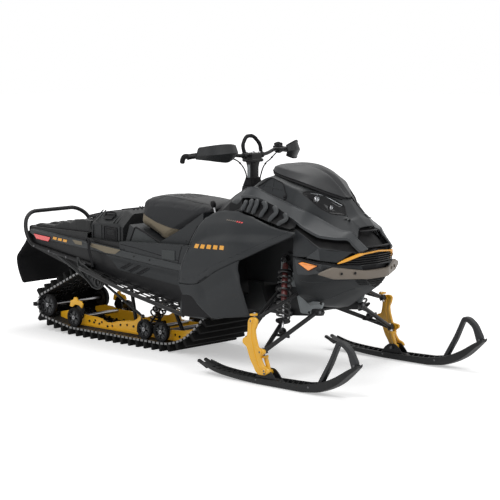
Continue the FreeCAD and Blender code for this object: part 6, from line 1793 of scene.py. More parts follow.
def makeHoop():
    side = roundedPath(hoop["half"], hoop["bends"], 8)
    line = np.concatenate((side[::-1] * (1, -1, 1), side[1:]))
    makePiece("hoopTube", [tubePart(line, hoop["radius"], 18)], "black_metal", hides="rear_hoop")
    lugs = [discPart((x, .296, z), (0, 1, 0), .008, .006, .001, 6) for x, z in hoop["bolts"]]
    makePair("hoopBolts", lugs, "boltSteel", sharp=20)


makeHoop()
print("rear")


wheel = {"spokes": 5,
    "slots": ((-1.085, .1163, .062, .24), (-.42, .1163, .062, .24), (-.268, .1163, .062, .24),
    (-1.345, .171, .074, .24), (-.825, .435, .06, .12))}


def makeWheels():
    # tyre, dished rim, paired spokes and cap, all on a face at y = side
    tyres, rims, spokes, caps = [], [], [], []
    for x, z, radius, side in wheel["slots"]:
        middle, way, deep = np.array((x, side - .026, z)), (0, 1, 0), .026
        tyres.append(lathePart(((radius - .01, 0), (radius - .001, .0008), (radius, .004),
            (radius, deep - .004), (radius - .001, deep - .0008), (radius - .009, deep),
            (radius - .01, deep - .002)), middle, way, 40, hollow=True))
        rims.append(lathePart(((radius - .01, .001), (radius - .01, deep - .0015),
            (radius - .013, deep - .0005), (radius - .0165, deep - .003), (radius - .019, deep - .009),
            (radius - .019, .004)), middle, way, 40, hollow=True))
        rims.append(lathePart(((.008, .002), (.017, .003), (.0185, .008), (.0185, deep - .007),
            (.016, deep - .003), (.008, deep - .003)), middle, way, 28, hollow=True))
        for k in range(2 * wheel["spokes"]):
            angle, lean = 2 * np.pi * (k // 2) / wheel["spokes"], 1 if k % 2 else -1
            inner, outer = angle + .1 * lean, angle + .2 * lean
            start = middle + np.array((np.sin(inner) * .016, deep - .009, np.cos(inner) * .016))
            end = (middle + np.array((np.sin(outer) * (radius - .016), deep - .01,
                np.cos(outer) * (radius - .016))))
            spokes.append(tubePart(np.linspace(start, end, 4), .0042, 8, grow=(1.2, 1.0, .95, 1.15)))
        web = radius * .5
        spokes.append(lathePart(((.017, deep - .016), (web, deep - .015), (radius - .018, deep - .016),
            (radius - .018, deep - .019), (.017, deep - .019)), middle, way, 32, hollow=True))
        caps.append(lathePart(((0.0, deep - .003), (.009, deep - .003), (.009, deep + .0015),
            (.0075, deep + .003), (0, deep + .003)), middle, way, 6))
    makePair("wheelTyres", tyres, "rubber", hides="idler_wheels", sharp=30)
    makePair("wheelRims", rims, "black_plastic", sharp=30)
    makePair("wheelSpokes", spokes, "wheelGrey", sharp=40)
    makePair("wheelBolts", caps, "boltSteel", sharp=20)


makeWheels()

rail = {
    "inner": .143, "outer": .157,
    # upper edge of the rail as the photograph shows it, from the rear forwards
    "top": ((-1.308, .122), (-1.225, .14), (-1.15, .14), (-1.105, .128), (-.96, .124), (-.905, .118),
        (-.862, .099), (-.8, .104), (-.764, .117),
        (-.7, .128), (-.643, .136), (-.6, .14), (-.565, .158), (-.545, .178), (-.525, .184),
        (-.508, .176), (-.5, .15), (-.49, .126), (-.38, .122), (-.24, .122),
        (-.15, .128), (-.06, .15), (-.01, .16), (.012, .15)),
    "lowEdge": ((.012, .118), (-.02, .09), (-.1, .062), (-.18, .0543), (-1.29, .0543), (-1.308, .07)),
    "bolts": ((-1.02, .092), (-.975, .088), (-.925, .084), (-.845, .076), (-.722, .1), (-.6, .104),
        (-.56, .078), (-.523, .158), (-.34, .09), (-.18, .088), (-.1, .1), (-.06, .115)),
    "holes": ((-.965, .102), (-.9, .097), (-.8, .084), (-.66, .106), (-.55, .112), (-.22, .095)),
    "fork": ((-1.175, .176), (-1.166, .214), (-1.14, .222), (-1.13, .24), (-1.108, .24), (-1.1, .224),
        (-1.06, .218),
        (-1.046, .196), (-1.058, .172), (-1.084, .19), (-1.12, .192), (-1.15, .172)),
    "arm": ((-1.142, .15), (-1.118, .205), (-1.08, .205), (-1.06, .15), (-1.075, .1), (-1.1, .1)),
    "link": ((-.47, .1), (-.462, .136), (-.42, .15), (-.36, .132), (-.3, .142), (-.262, .152), (-.226, .13),
        (-.226, .1), (-.262, .082),
        (-.33, .096), (-.42, .082)),
}


def makeRails():
    outline = roundedLoop(np.vstack((rail["top"], rail["lowEdge"])), .007, 3)
    inner, outer = rail["inner"], rail["outer"]
    lip = standing(rail["top"], outer - .001) - (0, 0, .003)
    lips = [tubePart(smoothPath(lip[2:], .01), .0032, 8)]
    flat = np.column_stack((np.linspace(-1.27, -.16, 60), np.full(60, outer), np.full(60, .0665)))
    lips.append(sweepPart(flat, boxProfile(.003, .004, .001, 1), up=(0, 0, 1)))
    head = ((0, 0), (.0085, 0), (.0085, .0015), (.0062, .002), (.0062, .006), (.0052, .007), (0, .007))
    bolts = [lathePart(head, (x, outer, z), (0, 1, 0), 6) for x, z in rail["bolts"]]
    holes = [discPart((x, outer - .001, z), (0, 1, 0), .0085, .0016, .0003, 20) for x, z in rail["holes"]]
    rim = ((.0085, 0), (.0112, 0), (.0108, .0022), (.0085, .0022))
    lips += [lathePart(rim, (x, outer, z), (0, 1, 0), 20, hollow=True) for x, z in rail["holes"]]
    # the rail plates, lips and the fork below take the glowing yellow, painted fill light
    makePair("railPlates", [platePart(outline, planeXZ(inner), outer - inner, .002)], "railYellowPaintedFill",
        hides="slide_rails", sharp=30)
    makePair("railLips", lips, "railYellowPaintedFill", sharp=40)
    makePair("railBolts", bolts, "black_metal", sharp=20)
    makePair("railHoles", holes, "black_plastic")
    hyfax = blockPart((-1.285, .139, .0458), (-.12, .161, .0562), .002)
    makePair("railSliders", [hyfax], "black_plastic")
    # forked yellow bracket over the rear bogie
    makePair("bogieForks", [sidePlate(rail["fork"], .006, 3, .182, .012, .002)], "railYellowPaintedFill", sharp=30)
    makePair("bogieArms", [sidePlate(rail["arm"], .01, 3, .16, .01, .002)], "black_metal", sharp=30)
    # link arms with forged ends that carry the front pair of wheels
    makePair("bogieLinks", [sidePlate(rail["link"], .012, 3, .196, .012, .002)], "black_metal", sharp=30)


makeRails()

belt = {
    # middle line of the belt as circles it wraps: x, z, radius; outside of all but the carrier wheels
    "circles": ((-1.345, .171, .0783), (-1.085, .1163, .0663), (-.26, .492, .442), (.225, .465, .0923),
        (-.825, .435, .0643)),
    "clips": 108,
    "clipRows": (.254, .13, .044),     # distances from the middle
    "studRows": (.11, .066),
}


def beltLine():
    # points of the closed middle line: tangent runs between the circles, then even steps
    circles = belt["circles"]
    arcs = []
    count = len(circles)
    for k in range(count):
        (x0, z0, r0), (x1, z1, r1) = circles[k], circles[(k + 1) % count]
        way = np.array((x1 - x0, z1 - z0))
        gap = np.linalg.norm(way)
        lean = math.atan2(way[1], way[0])
        swing = math.acos((r0 - r1) / gap)
        angle = lean - swing
        arcs.append((angle, (x0 + r0 * math.cos(angle), z0 + r0 * math.sin(angle)),
            (x1 + r1 * math.cos(angle), z1 + r1 * math.sin(angle))))
    points = []
    for k in range(count):
        x, z, r = circles[k]
        start, end = arcs[k - 1][0], arcs[k][0]
        while end < start - 1e-9:
            end += 2 * math.pi
        for angle in np.linspace(start, end, max(2, int((end - start) / .06))):
            points.append((x + r * math.cos(angle), z + r * math.sin(angle)))
    return spacedAlong(points, .01, closed=True)


def makeTrackClips():
    line = spacedAlong(beltLine(), .004, closed=True)
    ahead = unitRows(np.roll(line, -1, axis=0) - np.roll(line, 1, axis=0))
    out = np.column_stack((ahead[:, 1], -ahead[:, 0]))
    clips, studs = [], []
    for k in range(belt["clips"]):
        i = int(round(k * len(line) / belt["clips"])) % len(line)
        (x, z), (ax, az), (ox, oz) = line[i], ahead[i], out[i]
        for y in belt["clipRows"] if k % 2 else belt["clipRows"][:1]:
            half = (.011, .0065)     # along, thick

            def at(u, v, w):
                return (x + ax * u + ox * v, y + w, z + az * u + oz * v)
            low, high = (-.02, .0022) if y > .2 else (-.022, .022)
            ring = lambda u: [at(u, -half[1], low), at(u, half[1], low), at(u, half[1], high),
                at(u, -half[1], high)]
            clips.append(ringPart([ring(-half[0]), ring(half[0])]))
        if k % 2 == 0:
            for y in belt["studRows"]:
                base = np.array((x, y, z)) - np.array((ox, 0, oz)) * .004
                studs.append(lathePart(((0.0, 0), (.013, 0), (.011, .014), (.006, .02), (0, .02)), base,
                    (-ox, 0, -oz), 4))
    makePair("trackClips", clips, "clipSteel", sharp=20)
    makePair("trackDrivers", studs, "track_rubber", sharp=20)


makeTrackClips()
print("skid")

ski = {
    "tail": .412, "length": 1.2015, "side": .551, "half": .05, "base": .014, "rise": .2,
    "line": ((0, .33), (.1, .15), (.25, .04), (.4, 0), (.68, 0), (.8, .12), (.9, .41), (.96, .7), (1, .9)),
    "plan": ((0, .72), (.06, .9), (.16, 1), (.5, 1), (.86, 1), (.95, .82), (1, .5)),
    # height of the sides along the ski
    "wall": ((0, .02), (.12, .024), (.4, .034), (.66, .042), (.8, .048), (.92, .04), (1, .016)),
    "loop": ((1.253, .026), (1.303, .034), (1.403, .196), (1.462, .3155), (1.51, .3155), (1.56, .28),
        (1.608, .2), (1.57, .16), (1.535, .258),
        (1.492, .288), (1.475, .288), (1.423, .177), (1.331, .026)),
    # x, z, distance from the ski's middle
    "bolts": ((1.285, .04, .0455), (.89, .03, .0455), (1.586, .192, .016)),
    "saddle": ((.862, .024), (.892, .07), (.928, .096), (.978, .096), (1.014, .066), (1.044, .024)),
    "block": ((.845, .022), (.855, .04), (.915, .046), (.99, .046), (1.05, .04), (1.066, .022)),
}


def makeSki(side, hand):
    # boat section carried along the ski: outer walls, a keel, and a trough between raised lips
    name, body = hand.title(), "spindle_" + hand
    share = np.linspace(.035, 1, 120)
    x = ski["tail"] + ski["length"] * share
    low = ski["base"] + ski["rise"] * curveThrough(ski["line"], share)[:, 0]
    low = np.maximum(low - .01, .004)
    half = ski["half"] * np.interp(share, *np.transpose(ski["plan"]))
    top = low + curveThrough(ski["wall"], share)[:, 0]
    deck = np.minimum(low + .014, top - .004)
    across = ((-1, 0), (-.985, .25), (-.93, .75), (-.8, 1), (-.34, 1.08), (0, 1.0), (.34, 1.08), (.8, 1),
        (.93, .75), (.985, .25), (1, 0))
    rings = [np.column_stack((x, side * (ski["side"] + half * v), top + (low - top) * w)) for v, w in across]
    rings += [np.column_stack((x, side * (ski["side"] + np.sign(v) * (half * abs(v) - inset)), z))
        for v, inset, z in ((1, .004, top + .0015), (1, .0075, top - .001), (1, .0095, deck), (.3, 0, deck),
        (.12, 0, deck + .006), (-.12, 0, deck + .006), (-.3, 0, deck), (-1, .0095, deck),
        (-1, .0075, top - .001), (-1, .004, top + .0015))]
    makePiece("skiHull" + name, [ringPart(np.array(rings).transpose(1, 0, 2))], "skiBlack", body=body,
        hides="ski_" + hand, sharp=38)
    ribs, bolts, edges = [], [], []
    for i in range(8, 100, 4):
        if not .85 < x[i] < 1.06:
            points = [(x[i] - .012, side * (ski["side"] - half[i] + .008), top[i] - .004),
                (x[i], side * ski["side"], deck[i] + .007),
                (x[i] - .012, side * (ski["side"] + half[i] - .008), top[i] - .004)]
            ribs.append(tubePart(points, .0034, 8))
    for v in (-1, 1):
        tail = np.array([(ski["tail"] + .002, side * (ski["side"] + v * .026), .076),
            (ski["tail"] + .03, side * (ski["side"] + v * .027), .066),
            (ski["tail"] + .08, side * (ski["side"] + v * .03), .046)])
        edges.append(sweepPart(smoothPath(tail, .01), boxProfile(.01, .008, .003), up=(0, 0, 1)))
    makePiece("skiTails" + name, edges, "skiBlack", body=body)
    makePiece("skiRibs" + name, ribs, "skiBlack", body=body)
    runner = np.column_stack((x, np.full(len(x), side * ski["side"]),
        np.maximum(low - .0008, .0034)))[24:84:4]
    makePiece("skiRunner" + name, [tubePart(smoothPath(runner, .02), .0033, 8)], "steel", body=body)
    loop = roundedLoop(ski["loop"], .022, 5)
    band = platePart(loop, planeXZ(side * ski["side"] - .0165), .033, .0045)
    makePiece("skiLoop" + name, [band], "loopGrey", body=body, sharp=32)
    for px, pz, v in ski["bolts"]:
        bolts += [discPart((px, side * (ski["side"] + way * v), pz), (0, side * way, 0), .0065, .004, .001,
            12) for way in (1, -1)]
    bolts.append(lathePart(((0, -.047), (.0085, -.047), (.0085, .047), (0, .047)),
        (.953, side * ski["side"], .074), (0, 1, 0), 16))
    makePiece("skiBolts" + name, bolts, "boltSteel", body=body, sharp=20)
    saddle = roundedLoop(ski["saddle"], .016, 4)
    cheeks = [platePart(saddle, planeXZ(side * ski["side"] + v), .006, .0015) for v in (-.034, .0155)]
    block = roundedLoop(ski["block"], .008, 3)
    makePiece("skiSaddle" + name,
        cheeks + [platePart(block, planeXZ(side * ski["side"] - .0155), .031, .003)], "black_metal",
        body=body)


for side, hand in ((1, "left"), (-1, "right")):
    makeSki(side, hand)

spindle = {
    # side view of the forged leg (x, z): upper eye, steering arm, lower eye boss and foot
    "outline": ((.824, .352), (.838, .374), (.88, .378), (.897, .364), (.89, .332), (.876, .306),
        (.882, .266), (.893, .235), (.9, .21), (.95, .203),
        (.953, .184), (.922, .166), (.925, .142), (.945, .113), (.98, .1), (.994, .082), (.955, .06),
        (.905, .058), (.88, .076), (.866, .101),
        (.844, .131), (.826, .172), (.814, .205), (.78, .226), (.784, .252), (.812, .258),
        (.822, .302)),
    "rib": ((.856, .35), (.85, .3), (.856, .25), (.868, .205), (.88, .165), (.894, .13), (.912, .1),
        (.95, .08)),
    "bosses": ((.953, .086, .012), (.85, .356, .016), (.92, .188, .015)),
    "inner": .5772, "outer": .595,
}


def makeSpindle(side, hand):
    name, body = hand.title(), "spindle_" + hand
    outline = roundedLoop(spindle["outline"], .01, 4)
    near = side * (spindle["inner"] if side > 0 else spindle["outer"])
    parts = [platePart(outline, planeXZ(near), spindle["outer"] - spindle["inner"], .003)]
    for way, face in ((side, side * spindle["outer"]), (-side, side * spindle["inner"])):
        rib = smoothPath([(x, face - way * .001, z) for x, z in spindle["rib"]], .01)
        parts.append(tubePart(rib, .0055, 8,
            grow=np.clip(np.minimum(np.linspace(.5, 8, len(rib)), np.linspace(8, .5, len(rib))), .5, 1)))
        for x, z, radius in spindle["bosses"]:
            parts.append(lathePart(((radius * .4, -.002), (radius, -.002), (radius, .003),
                (radius * .85, .005), (radius * .4, .005)), (x, face, z), (0, way, 0), 24, hollow=True))
    makePiece("spindleLeg" + name, parts, "yellow_metal", body=body, hides=body, sharp=32)
    # lugs and studs on the kingpin's line, the foot down to the ski, and the arm to the rod's eye
    onPin = lambda z: np.array((.911 - (z - .187) * .37, side * .551, z))
    way, lugs, studs = onPin(1) - onPin(0), [], []
    for z in (.381, .153):
        x = onPin(z)[0]
        ends = sorted((side * .549, side * .579))
        lugs.append(blockPart((x - .013, ends[0], z), (x + .013, ends[1], z + .012), .002))
        lugs.append(discPart(onPin(z), (0, 0, 1), .016, .012, .002, 20))
    lugs.append(tubePart([onPin(.158), onPin(.11), onPin(.076)], .0125, 14))
    lugs.append(bushPart(.0075, .015, .0185, (.0005, .0015), onPin(.074), (0, 1, 0), 22))
    studs.append(tubePart([onPin(.338), onPin(.396)], .0075, 12))
    studs.append(tubePart([onPin(.208), onPin(.15)], .0075, 12))
    makePiece("spindleStuds" + name, studs, "steel", body=body)
    rodPoints = meshPoints(bpy.data.objects["tie_rod_" + hand])
    outer = rodPoints[side * rodPoints[:, 1] > (side * rodPoints[:, 1]).max() - .012]
    eye = (outer.min(axis=0) + outer.max(axis=0)) / 2
    eye[1] = side * ((side * rodPoints[:, 1]).max() - .012)
    reach = smoothPath(((.792, side * .586, .24), (.782, side * .58, .24), eye), .01)
    lugs.append(tubePart(reach, .0085, 12))
    makePiece("spindleLugs" + name, lugs, "yellow_metal", body=body, sharp=34)
    bolts = [lathePart(((0, 0), (.01, 0), (.01, .002), (.0078, .0024), (.0078, .007), (.006, .0085),
        (0, .0085)), (x, side * spindle["outer"], z), (0, side, 0), 6) for x, z, _ in spindle["bosses"]]
    bolts = [(points - (0, side * .003, 0), faces) for points, faces in bolts]
    makePiece("spindleBolts" + name, bolts, "boltSteel", body=body, sharp=20)


for side, hand in ((1, "left"), (-1, "right")):
    makeSpindle(side, hand)


def coilSpring(low, high, radius, wire, turns, start=.16, end=.8):
    # helix round the damper's line; the turns lie a little closer at both ends
    way, length = wayBetween(low, high)
    side = np.cross(way, (0, 0, 1))
    side /= np.linalg.norm(side)
    over = np.cross(way, side)
    share = np.linspace(0, 1, int(turns * 26))
    eased = share + .5 * .06 * np.sin(2 * np.pi * share) * -1
    angle = share * turns * 2 * np.pi
    path = (low + way * (length * (start + (end - start) * eased))[:, None]
        + radius * (side * np.cos(angle)[:, None] + over * np.sin(angle)[:, None]))
    return tubePart(path, wire, 8)


damper = {"low": (.892, .381, .276), "high": (.74, .189, .66), "spring": .0365, "wire": .0062, "turns": 8,
    "rear": ((-.631, 0, .088), (-.367, 0, .374))}


def makeDampers():
    low, high = damper["low"], damper["high"]
    way, length = wayBetween(low, high)
    coil = coilSpring(low, high, damper["spring"], damper["wire"], damper["turns"])
    rear = coilSpring(*damper["rear"], .04, .0055, 7, .22, .82)
    makePair("frontSprings", [coil], "springBlack", hides="front_springs")
    makePiece("rearSpring", [rear], "springBlack")
    tube = lathePart(((0.0, length * .42), (.017, length * .42), (.0178, length * .44), (.0178, length * .9),
        (.012, length * .93), (0, length * .93)), low, way, 24)
    rod = lathePart(((0, length * .05), (.0065, length * .05), (.0065, length * .6), (0, length * .6)), low,
        way, 16)
    seats = [lathePart(((.01, length * at), (.042, length * at), (.043, length * at + .003),
        (.041, length * at + .007), (.018, length * at + .012), (.01, length * at + .012)), low, way, 28,
        hollow=True) for at in (.135, .8)]
    eyes = [bushPart(.008, .0185, .015, (.001, .003), point, (1, 0, .3)) for point in (low, high)]
    makePair("damperTubes", [tube], "damperRed", hides="front_shocks")
    makePair("damperRods", [rod], "steel")
    makePair("damperSeats", seats, "black_plastic")
    makePair("damperEyes", eyes, "black_metal")


makeDampers()
print("skis")

bars = {
    "bar": ((.174, -.43, 1.229), (.252, -.25, 1.25), (.296, -.11, 1.223), (.296, .11, 1.223),
        (.252, .25, 1.25), (.174, .43, 1.229)),
    "grip": ((.224, .315, 1.242), (.174, .43, 1.229)),
    "gripRadius": .0168,
    "rings": 11,
    # upper edge, fold and lower edge of each guard, from its inner end outwards
    "rightGuard": (((.338, .192, 1.292), (.352, .24, 1.3), (.346, .31, 1.302), (.318, .38, 1.296),
        (.268, .425, 1.286)),
        ((.352, .186, 1.25), (.368, .24, 1.252), (.362, .31, 1.25), (.33, .385, 1.246),
        (.264, .438, 1.24)),
        ((.326, .196, 1.214), (.33, .245, 1.198), (.322, .31, 1.203), (.3, .38, 1.214),
        (.25, .432, 1.222))),
    "leftGuard": (((.29, .3, 1.266), (.312, .33, 1.286), (.304, .372, 1.294), (.276, .414, 1.284),
        (.24, .446, 1.256)),
        ((.306, .296, 1.232), (.33, .33, 1.236), (.322, .378, 1.238), (.29, .424, 1.234),
        (.24, .456, 1.226)),
        ((.29, .3, 1.204), (.308, .33, 1.19), (.3, .372, 1.186), (.274, .412, 1.19),
        (.24, .442, 1.206))),
    "strap": ((.296, -.07, 1.232), (.283, -.076, 1.286), (.27, -.03, 1.337), (.27, .03, 1.337),
        (.283, .076, 1.286), (.296, .07, 1.232)),
    "pod": ((.244, .268, 1.248), (.227, .308, 1.243)),
    "hook": ((.18, -.418, 1.23), (.176, -.428, 1.233), (.163, -.438, 1.231), (.15, -.44, 1.214),
        (.146, -.44, 1.19)),
    "stays": ((((.262, .225, 1.247), (.3, .232, 1.25), (.33, .25, 1.252)), .0075),
              (((.178, .425, 1.229), (.205, .436, 1.236), (.25, .426, 1.24)), .0065)),
    "lever": ((.262, .262, 1.236), (.286, .282, 1.232), (.284, .33, 1.226), (.258, .392, 1.222)),
}


def makeBars():
    line = roundedPath(bars["bar"], .05, 8)
    makePiece("handlebarTube", [tubePart(line, .011, 16)], "black_metal", body="steering", hides="handlebar")
    grips = []
    start, end = bars["grip"]
    way, length = wayBetween(start, end)
    profile = [(.0115, 0), (.0185, .001), (.0185, .007), (bars["gripRadius"] - .001, .009)]
    for k in range(bars["rings"]):
        at = .011 + (length - .026) * k / bars["rings"]
        step = (length - .026) / bars["rings"]
        profile += [(bars["gripRadius"], at + step * .15), (bars["gripRadius"], at + step * .65),
            (bars["gripRadius"] - .0012, at + step * .75), (bars["gripRadius"] - .0012, at + step)]
    profile += [(bars["gripRadius"] + .001, length - .012), (bars["gripRadius"] + .001, length - .003),
        (.013, length), (0, length)]
    grips.append(lathePart(profile, start, way, 28))
    makePair("gripSleeves", grips, "rubber", body="steering", hides="grips", sharp=25)


def makeGuards():
    # a blade in two slanting panels that meet in a fold, with a thick rim; each side has its own outline
    for side, rows, name in ((-1, bars["rightGuard"], "Right"), (1, bars["leftGuard"], "Left")):
        top, fold, low = [smoothPath([(x, side * y, z) for x, y, z in row], .008) for row in rows]
        count = min(len(top), len(fold), len(low))
        top, fold, low = [line[np.linspace(0, len(line) - 1, count).astype(int)] for line in (top, fold, low)]
        down = np.linspace(0, 1, 9)[None, :, None]
        grid = np.concatenate((top[:, None] * (1 - down) + fold[:, None] * down,
            (fold[:, None] * (1 - down) + low[:, None] * down)[:, 1:]), axis=1)
        makePiece("guardBlade" + name, [slabPart(grid, .0035)], "guardGrey", body="steering",
            hides="hand_guards" if side < 0 else (), sharp=24)
        rim = spacedAlong(np.concatenate((grid[:, 0], grid[-1, 1:-1], grid[::-1, -1], grid[0, -2:0:-1])), .01,
            closed=True)
        makePiece("guardRim" + name, [tubePart(rim, .0036, 8, closed=True)], "black_plastic", body="steering")
    stays = [tubePart(smoothPath(stay, .008), radius, 10) for stay, radius in bars["stays"]]
    makePair("guardStays", stays, "black_metal", body="steering")


def makeHookAndStrap():
    # curled end of the right grip, then the grab strap: a padded tube with end clamps
    hook = smoothPath(bars["hook"], .004)
    makePiece("gripHook",
        [tubePart(hook, .015, 16, grow=np.concatenate((np.linspace(1.05, 1, len(hook) - 3), [.98, .9, .6])))],
        "rubber", body="steering")
    strap = spacedAlong(roundedPath(bars["strap"], .024, 6), .006)
    grow = 1 + .1 * np.sin(np.linspace(0, 26, len(strap))) ** 8
    makePiece("strapPad", [tubePart(strap, .0112, 14, grow=grow)], "rubber", body="steering",
        hides="centre_strap")
    clamps = [bushPart(.0115, .019, .011, (.0015, .003), (.296, y, 1.223), (0, 1, 0)) for y in (-.074, .074)]
    makePiece("strapClamps", clamps, "black_metal", body="steering")


def makeSwitches():
    # switch housings with toggles, and the two levers
    housings, toggles, levers = [], [], []
    start, end = np.array(bars["pod"])
    way, span = wayBetween(start, end)
    for side in (-1, 1):
        flip = np.array((1, side, 1))
        rounds = ((.012, -.004), (.022, -.003), (.0275, .004), (.029, .012), (.029, span - .012),
            (.0275, span - .004), (.022, span + .003), (.012, span + .004))
        housings.append(lathePart(rounds, start * flip, way * flip, 24, hollow=True))
        block = blockPart((-.02, -.02, .016), (.016, .02, .036), .005)
        middle = (start + end) / 2 * flip
        housings.append((block[0] + middle, block[1]))
        keys = [blockPart((-.03, y - .004, .004), (-.0265, y + .004, .016), .001)
            for y in (-.014, -.002, .01)]
        keys.append(blockPart((-.012, -.008, .0355), (.006, .008, .04), .0015))
        toggles += [(points + middle, faces) for points, faces in keys]
        lever = smoothPath([np.array(p) * flip for p in bars["lever"]], .008)
        levers.append(sweepPart(lever, boxProfile(.0065, .004, .002), up=(0, 0, 1),
            grow=np.linspace(1.15, .8, len(lever))))
    makePiece("switchHousings", housings, "black_plastic", body="steering", hides="control_pods", sharp=35)
    makePiece("switchKeys", toggles, "rubber", body="steering")
    makePiece("handLevers", levers, "black_metal", body="steering")


makeBars()
makeGuards()
makeHookAndStrap()
makeSwitches()

riser = {
    "x": .296,
    "column": ((1.062, .022, .038), (1.075, .02, .035), (1.1, .019, .033), (1.15, .019, .033),
        (1.176, .022, .038), (1.184, .023, .04)),
    "collar": ((.064, 1.012), (.06, 1.03), (.056, 1.041), (.05, 1.044)),
    "pleats": 7,
}


def riserRing(deep, wide, z, bend, steps):
    # a rounded rectangle about the riser's middle, at one height
    x = riser["x"]
    return roundedLoop([(x - deep, -wide, z), (x + deep, -wide, z), (x + deep, wide, z), (x - deep, wide, z)],
        bend, steps)


def makeRiser():
    # forged column: light face, dark clamp, cap bolts, and the pleated boot at its foot
    rings = [riserRing(deep, wide, z, .007, 3) for z, deep, wide in riser["column"]]
    makePiece("riserBlock", [ringPart(rings)], "black_metal", body="steering", hides="riser", sharp=40)
    panel = roundedLoop([(riser["x"] + x, z)
        for x, z in ((-.012, 1.084), (.01, 1.084), (.01, 1.176), (-.012, 1.176))], .005, 3)
    faces = [platePart(panel, planeXZ(side * .0325, side), .004, .001) for side in (-1, 1)]
    makePiece("riserFaces", faces, "cast_grey", body="steering", sharp=30)
    socket = ((.0035, 0), (.007, 0), (.007, .006), (.0055, .007), (.0035, .005))
    bolts = [lathePart(socket, (riser["x"] + x, y, 1.238), (0, 0, 1), 16, hollow=True) for y in (-.03, .03)
        for x in (-.024, .024)]
    cap = [blockPart((riser["x"] - .034, -.042, 1.182), (riser["x"] + .034, .042, 1.238), .007),
        blockPart((riser["x"] - .042, -.0475, 1.184), (riser["x"] + .042, .0475, 1.204), .005)]
    makePiece("riserClamp", cap, "black_metal", body="steering")
    makePiece("riserBolts", bolts, "steel", body="steering")
    pleats = [tubePart(riserRing(.034 - .0016 * k, .052 - .0018 * k, 1.048 + .0066 * k, .014, 4), .0038, 8,
        closed=True) for k in range(riser["pleats"])]
    makePiece("riserBoot", pleats, "rubber", body="steering")
    collar = [riserRing(.04, half, z, .016, 4) for half, z in riser["collar"]]
    makePiece("riserCollar", [ringPart(collar)], "black_plastic", sharp=40)


makeRiser()

cables = {
    "right": ((.244, -.272, 1.231), (.262, -.22, 1.226), (.268, -.15, 1.21), (.266, -.09, 1.186),
        (.276, -.06, 1.15), (.285, -.05, 1.12), (.288, -.044, 1.064)),
    "left": ((.244, .272, 1.231), (.264, .214, 1.208), (.288, .152, 1.186), (.306, .102, 1.172),
        (.313, .07, 1.146), (.31, .054, 1.104), (.306, .046, 1.064)),
    "radius": .004,
    "ties": (.3, .62),
}


def makeCables():
    tubes = [tubePart(smoothPath(cables[name], .006), cables["radius"], 10) for name in ("right", "left")]
    makePiece("controlCables", tubes, "rubber", body="steering", hides="control_cables")
    ties = []
    for name in ("right", "left"):
        line = smoothPath(cables[name], .006)
        for share in cables["ties"]:
            i = int(share * len(line))
            ties.append(lathePart(((.004, -.003), (.0062, -.003), (.0062, .003), (.004, .003)), line[i],
                line[i + 1] - line[i], 12, hollow=True))
    makePiece("cableTies", ties, "black_plastic", body="steering")


makeCables()

leverShape = {"foot": (.164, -.168, .83), "top": (.1205, -.168, .95)}


def makeGearLever():
    foot = leverShape["foot"]
    way, length = wayBetween(foot, leverShape["top"])
    makePiece("leverRod",
        [lathePart(((0, 0), (.006, 0), (.0055, length * .7), (0, length * .72)), foot, way, 14)], "steel",
        hides="gear_lever")
    knob = [lathePart(((.0058, length * .66), (.01, length * .67), (.015, length * .73),
        (.0175, length * .82), (.016, length * .92), (.011, length * .98), (.005, length), (0, length)), foot,
        way, 24)]
    makePiece("leverKnob", knob, "black_plastic")
    gaiter = [lathePart([(.02 - .0022 * k + (.0025 if k % 2 else 0), .004 + .0045 * k) for k in range(6)],
        foot, way, 24)]
    makePiece("leverGaiter", gaiter, "rubber")


makeGearLever()
print("bars")

chassis = {
    "castings": (((.693, .664), (.735, .631), (.829, .533), (.82, .503), (.688, .484)),
                 ((.809, .472), (.872, .439), (1.028, .429), (1.01, .394), (.916, .352), (.845, .351))),
    "castFace": .172,
    "boardEdge": ((-.955, .29, .456), (-.9, .345, .468), (-.411, .412, .38), (.12, .412, .286)),
    "toe": ((.118, .404), (.1, .292), (.3, .289), (.204, .4)),
    "toeSlats": (.124, .148, .172, .196, .22, .244),
    "armEnds": ((.98, .19, .372), (.76, .19, .345), (.9, .19, .5), (.7, .19, .48)),
}


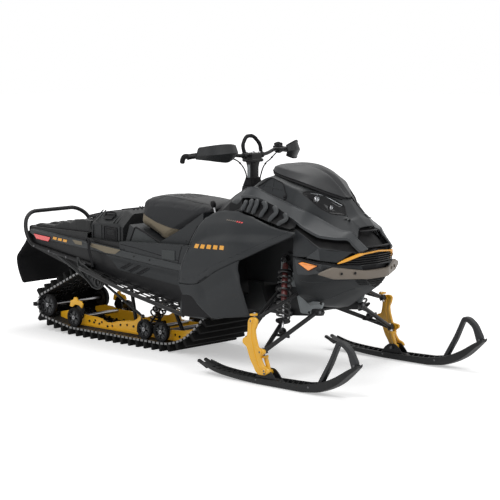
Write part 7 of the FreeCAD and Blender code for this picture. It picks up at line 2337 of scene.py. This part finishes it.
def makeFrameCastings():
    # cast gussets with a raised border and webs, either side of the front frame
    plates, webs, screws = [], [], []
    for outline in chassis["castings"]:
        loop = roundedLoop(outline, .012, 4)
        plates.append(platePart(loop, planeXZ(chassis["castFace"]), .006, .0025))
        border = insetLoop(loop, .006)
        face = chassis["castFace"] + .006
        webs.append(tubePart(standing(border, face), .0045, 8, closed=True))
        corners = np.array(outline)
        middle = corners.mean(axis=0)
        for x, z in corners[::2]:
            x, z = middle + (np.array((x, z)) - middle) * .8
            webs.append(tubePart([(middle[0], face, middle[1]), (x, face, z)], .0035, 8))
            screws.append(discPart((x, face, z), (0, 1, 0), .0085, .007, .001, 6))
    makePair("frameCastings", plates + webs, "cast_grey", sharp=30)
    makePair("frameScrews", screws, "black_metal", sharp=20)


def makeBoardEdges():
    # edge beams of the running boards, and the slatted toe frames in front of them
    beam = boxProfile(.006, .0125, .003)
    makePair("boardEdges", [sweepPart(roundedPath(chassis["boardEdge"], .03, 6), beam, up=(0, 0, 1))],
        "railSatin", sharp=40)
    loop = roundedLoop(chassis["toe"], .012, 4)
    rim = standing(loop, .414)
    makePair("toeFrames", [sweepPart(rim, boxProfile(.008, .006, .003), closed=True, up=(0, 1, 0))],
        "railSatin", sharp=40)
    slats = []
    for x in chassis["toeSlats"]:
        top = min(.396, .396 - (x - .206) * 1.09)
        slats.append(tubePart([(x + .018, .412, .296), (x, .412, top)], .0045, 8))
    backing = platePart(insetLoop(loop, .004), planeXZ(.398), .003, .001)
    makePair("toeSlats", slats, "deckBlack")
    makePair("toeBacks", [backing], "black_metal")


def makeArmEnds():
    bushes, bolts = [], []
    for x, y, z in chassis["armEnds"]:
        bushes.append(bushPart(.0065, .02, .021, (.0015, .003), (x, y, z), (1, 0, .08)))
        for way in (-1, 1):
            bolts.append(discPart((x + way * .021, y, z + way * .0017), (way, 0, way * .08), .0095, .006,
                .001, 6))
    makePair("armBushes", bushes, "black_metal")
    makePair("armBolts", bolts, "boltSteel", sharp=20)


makeFrameCastings()
makeBoardEdges()
makeArmEnds()
print("chassis")


def dressNodes():
    # the CAD nodes keep their meshes and take the finish of their slot, or their own; the front frame and the
    # engine block take the near-black forged finish as painted shade of the engine bay
    paintedShadeFinish = dict.fromkeys(("front_frame", "engine_block"), ownFinishes["forgedBlack"][1])
    for entry in frame["record"]["subparts"]:
        node = bpy.data.objects.get(entry["node"])
        if node is None:
            continue
        for place in node.material_slots:
            place.material = paintedShadeFinish.get(entry["node"], finishes[entry["material_slot"]])


dressNodes()
print("nodes dressed")
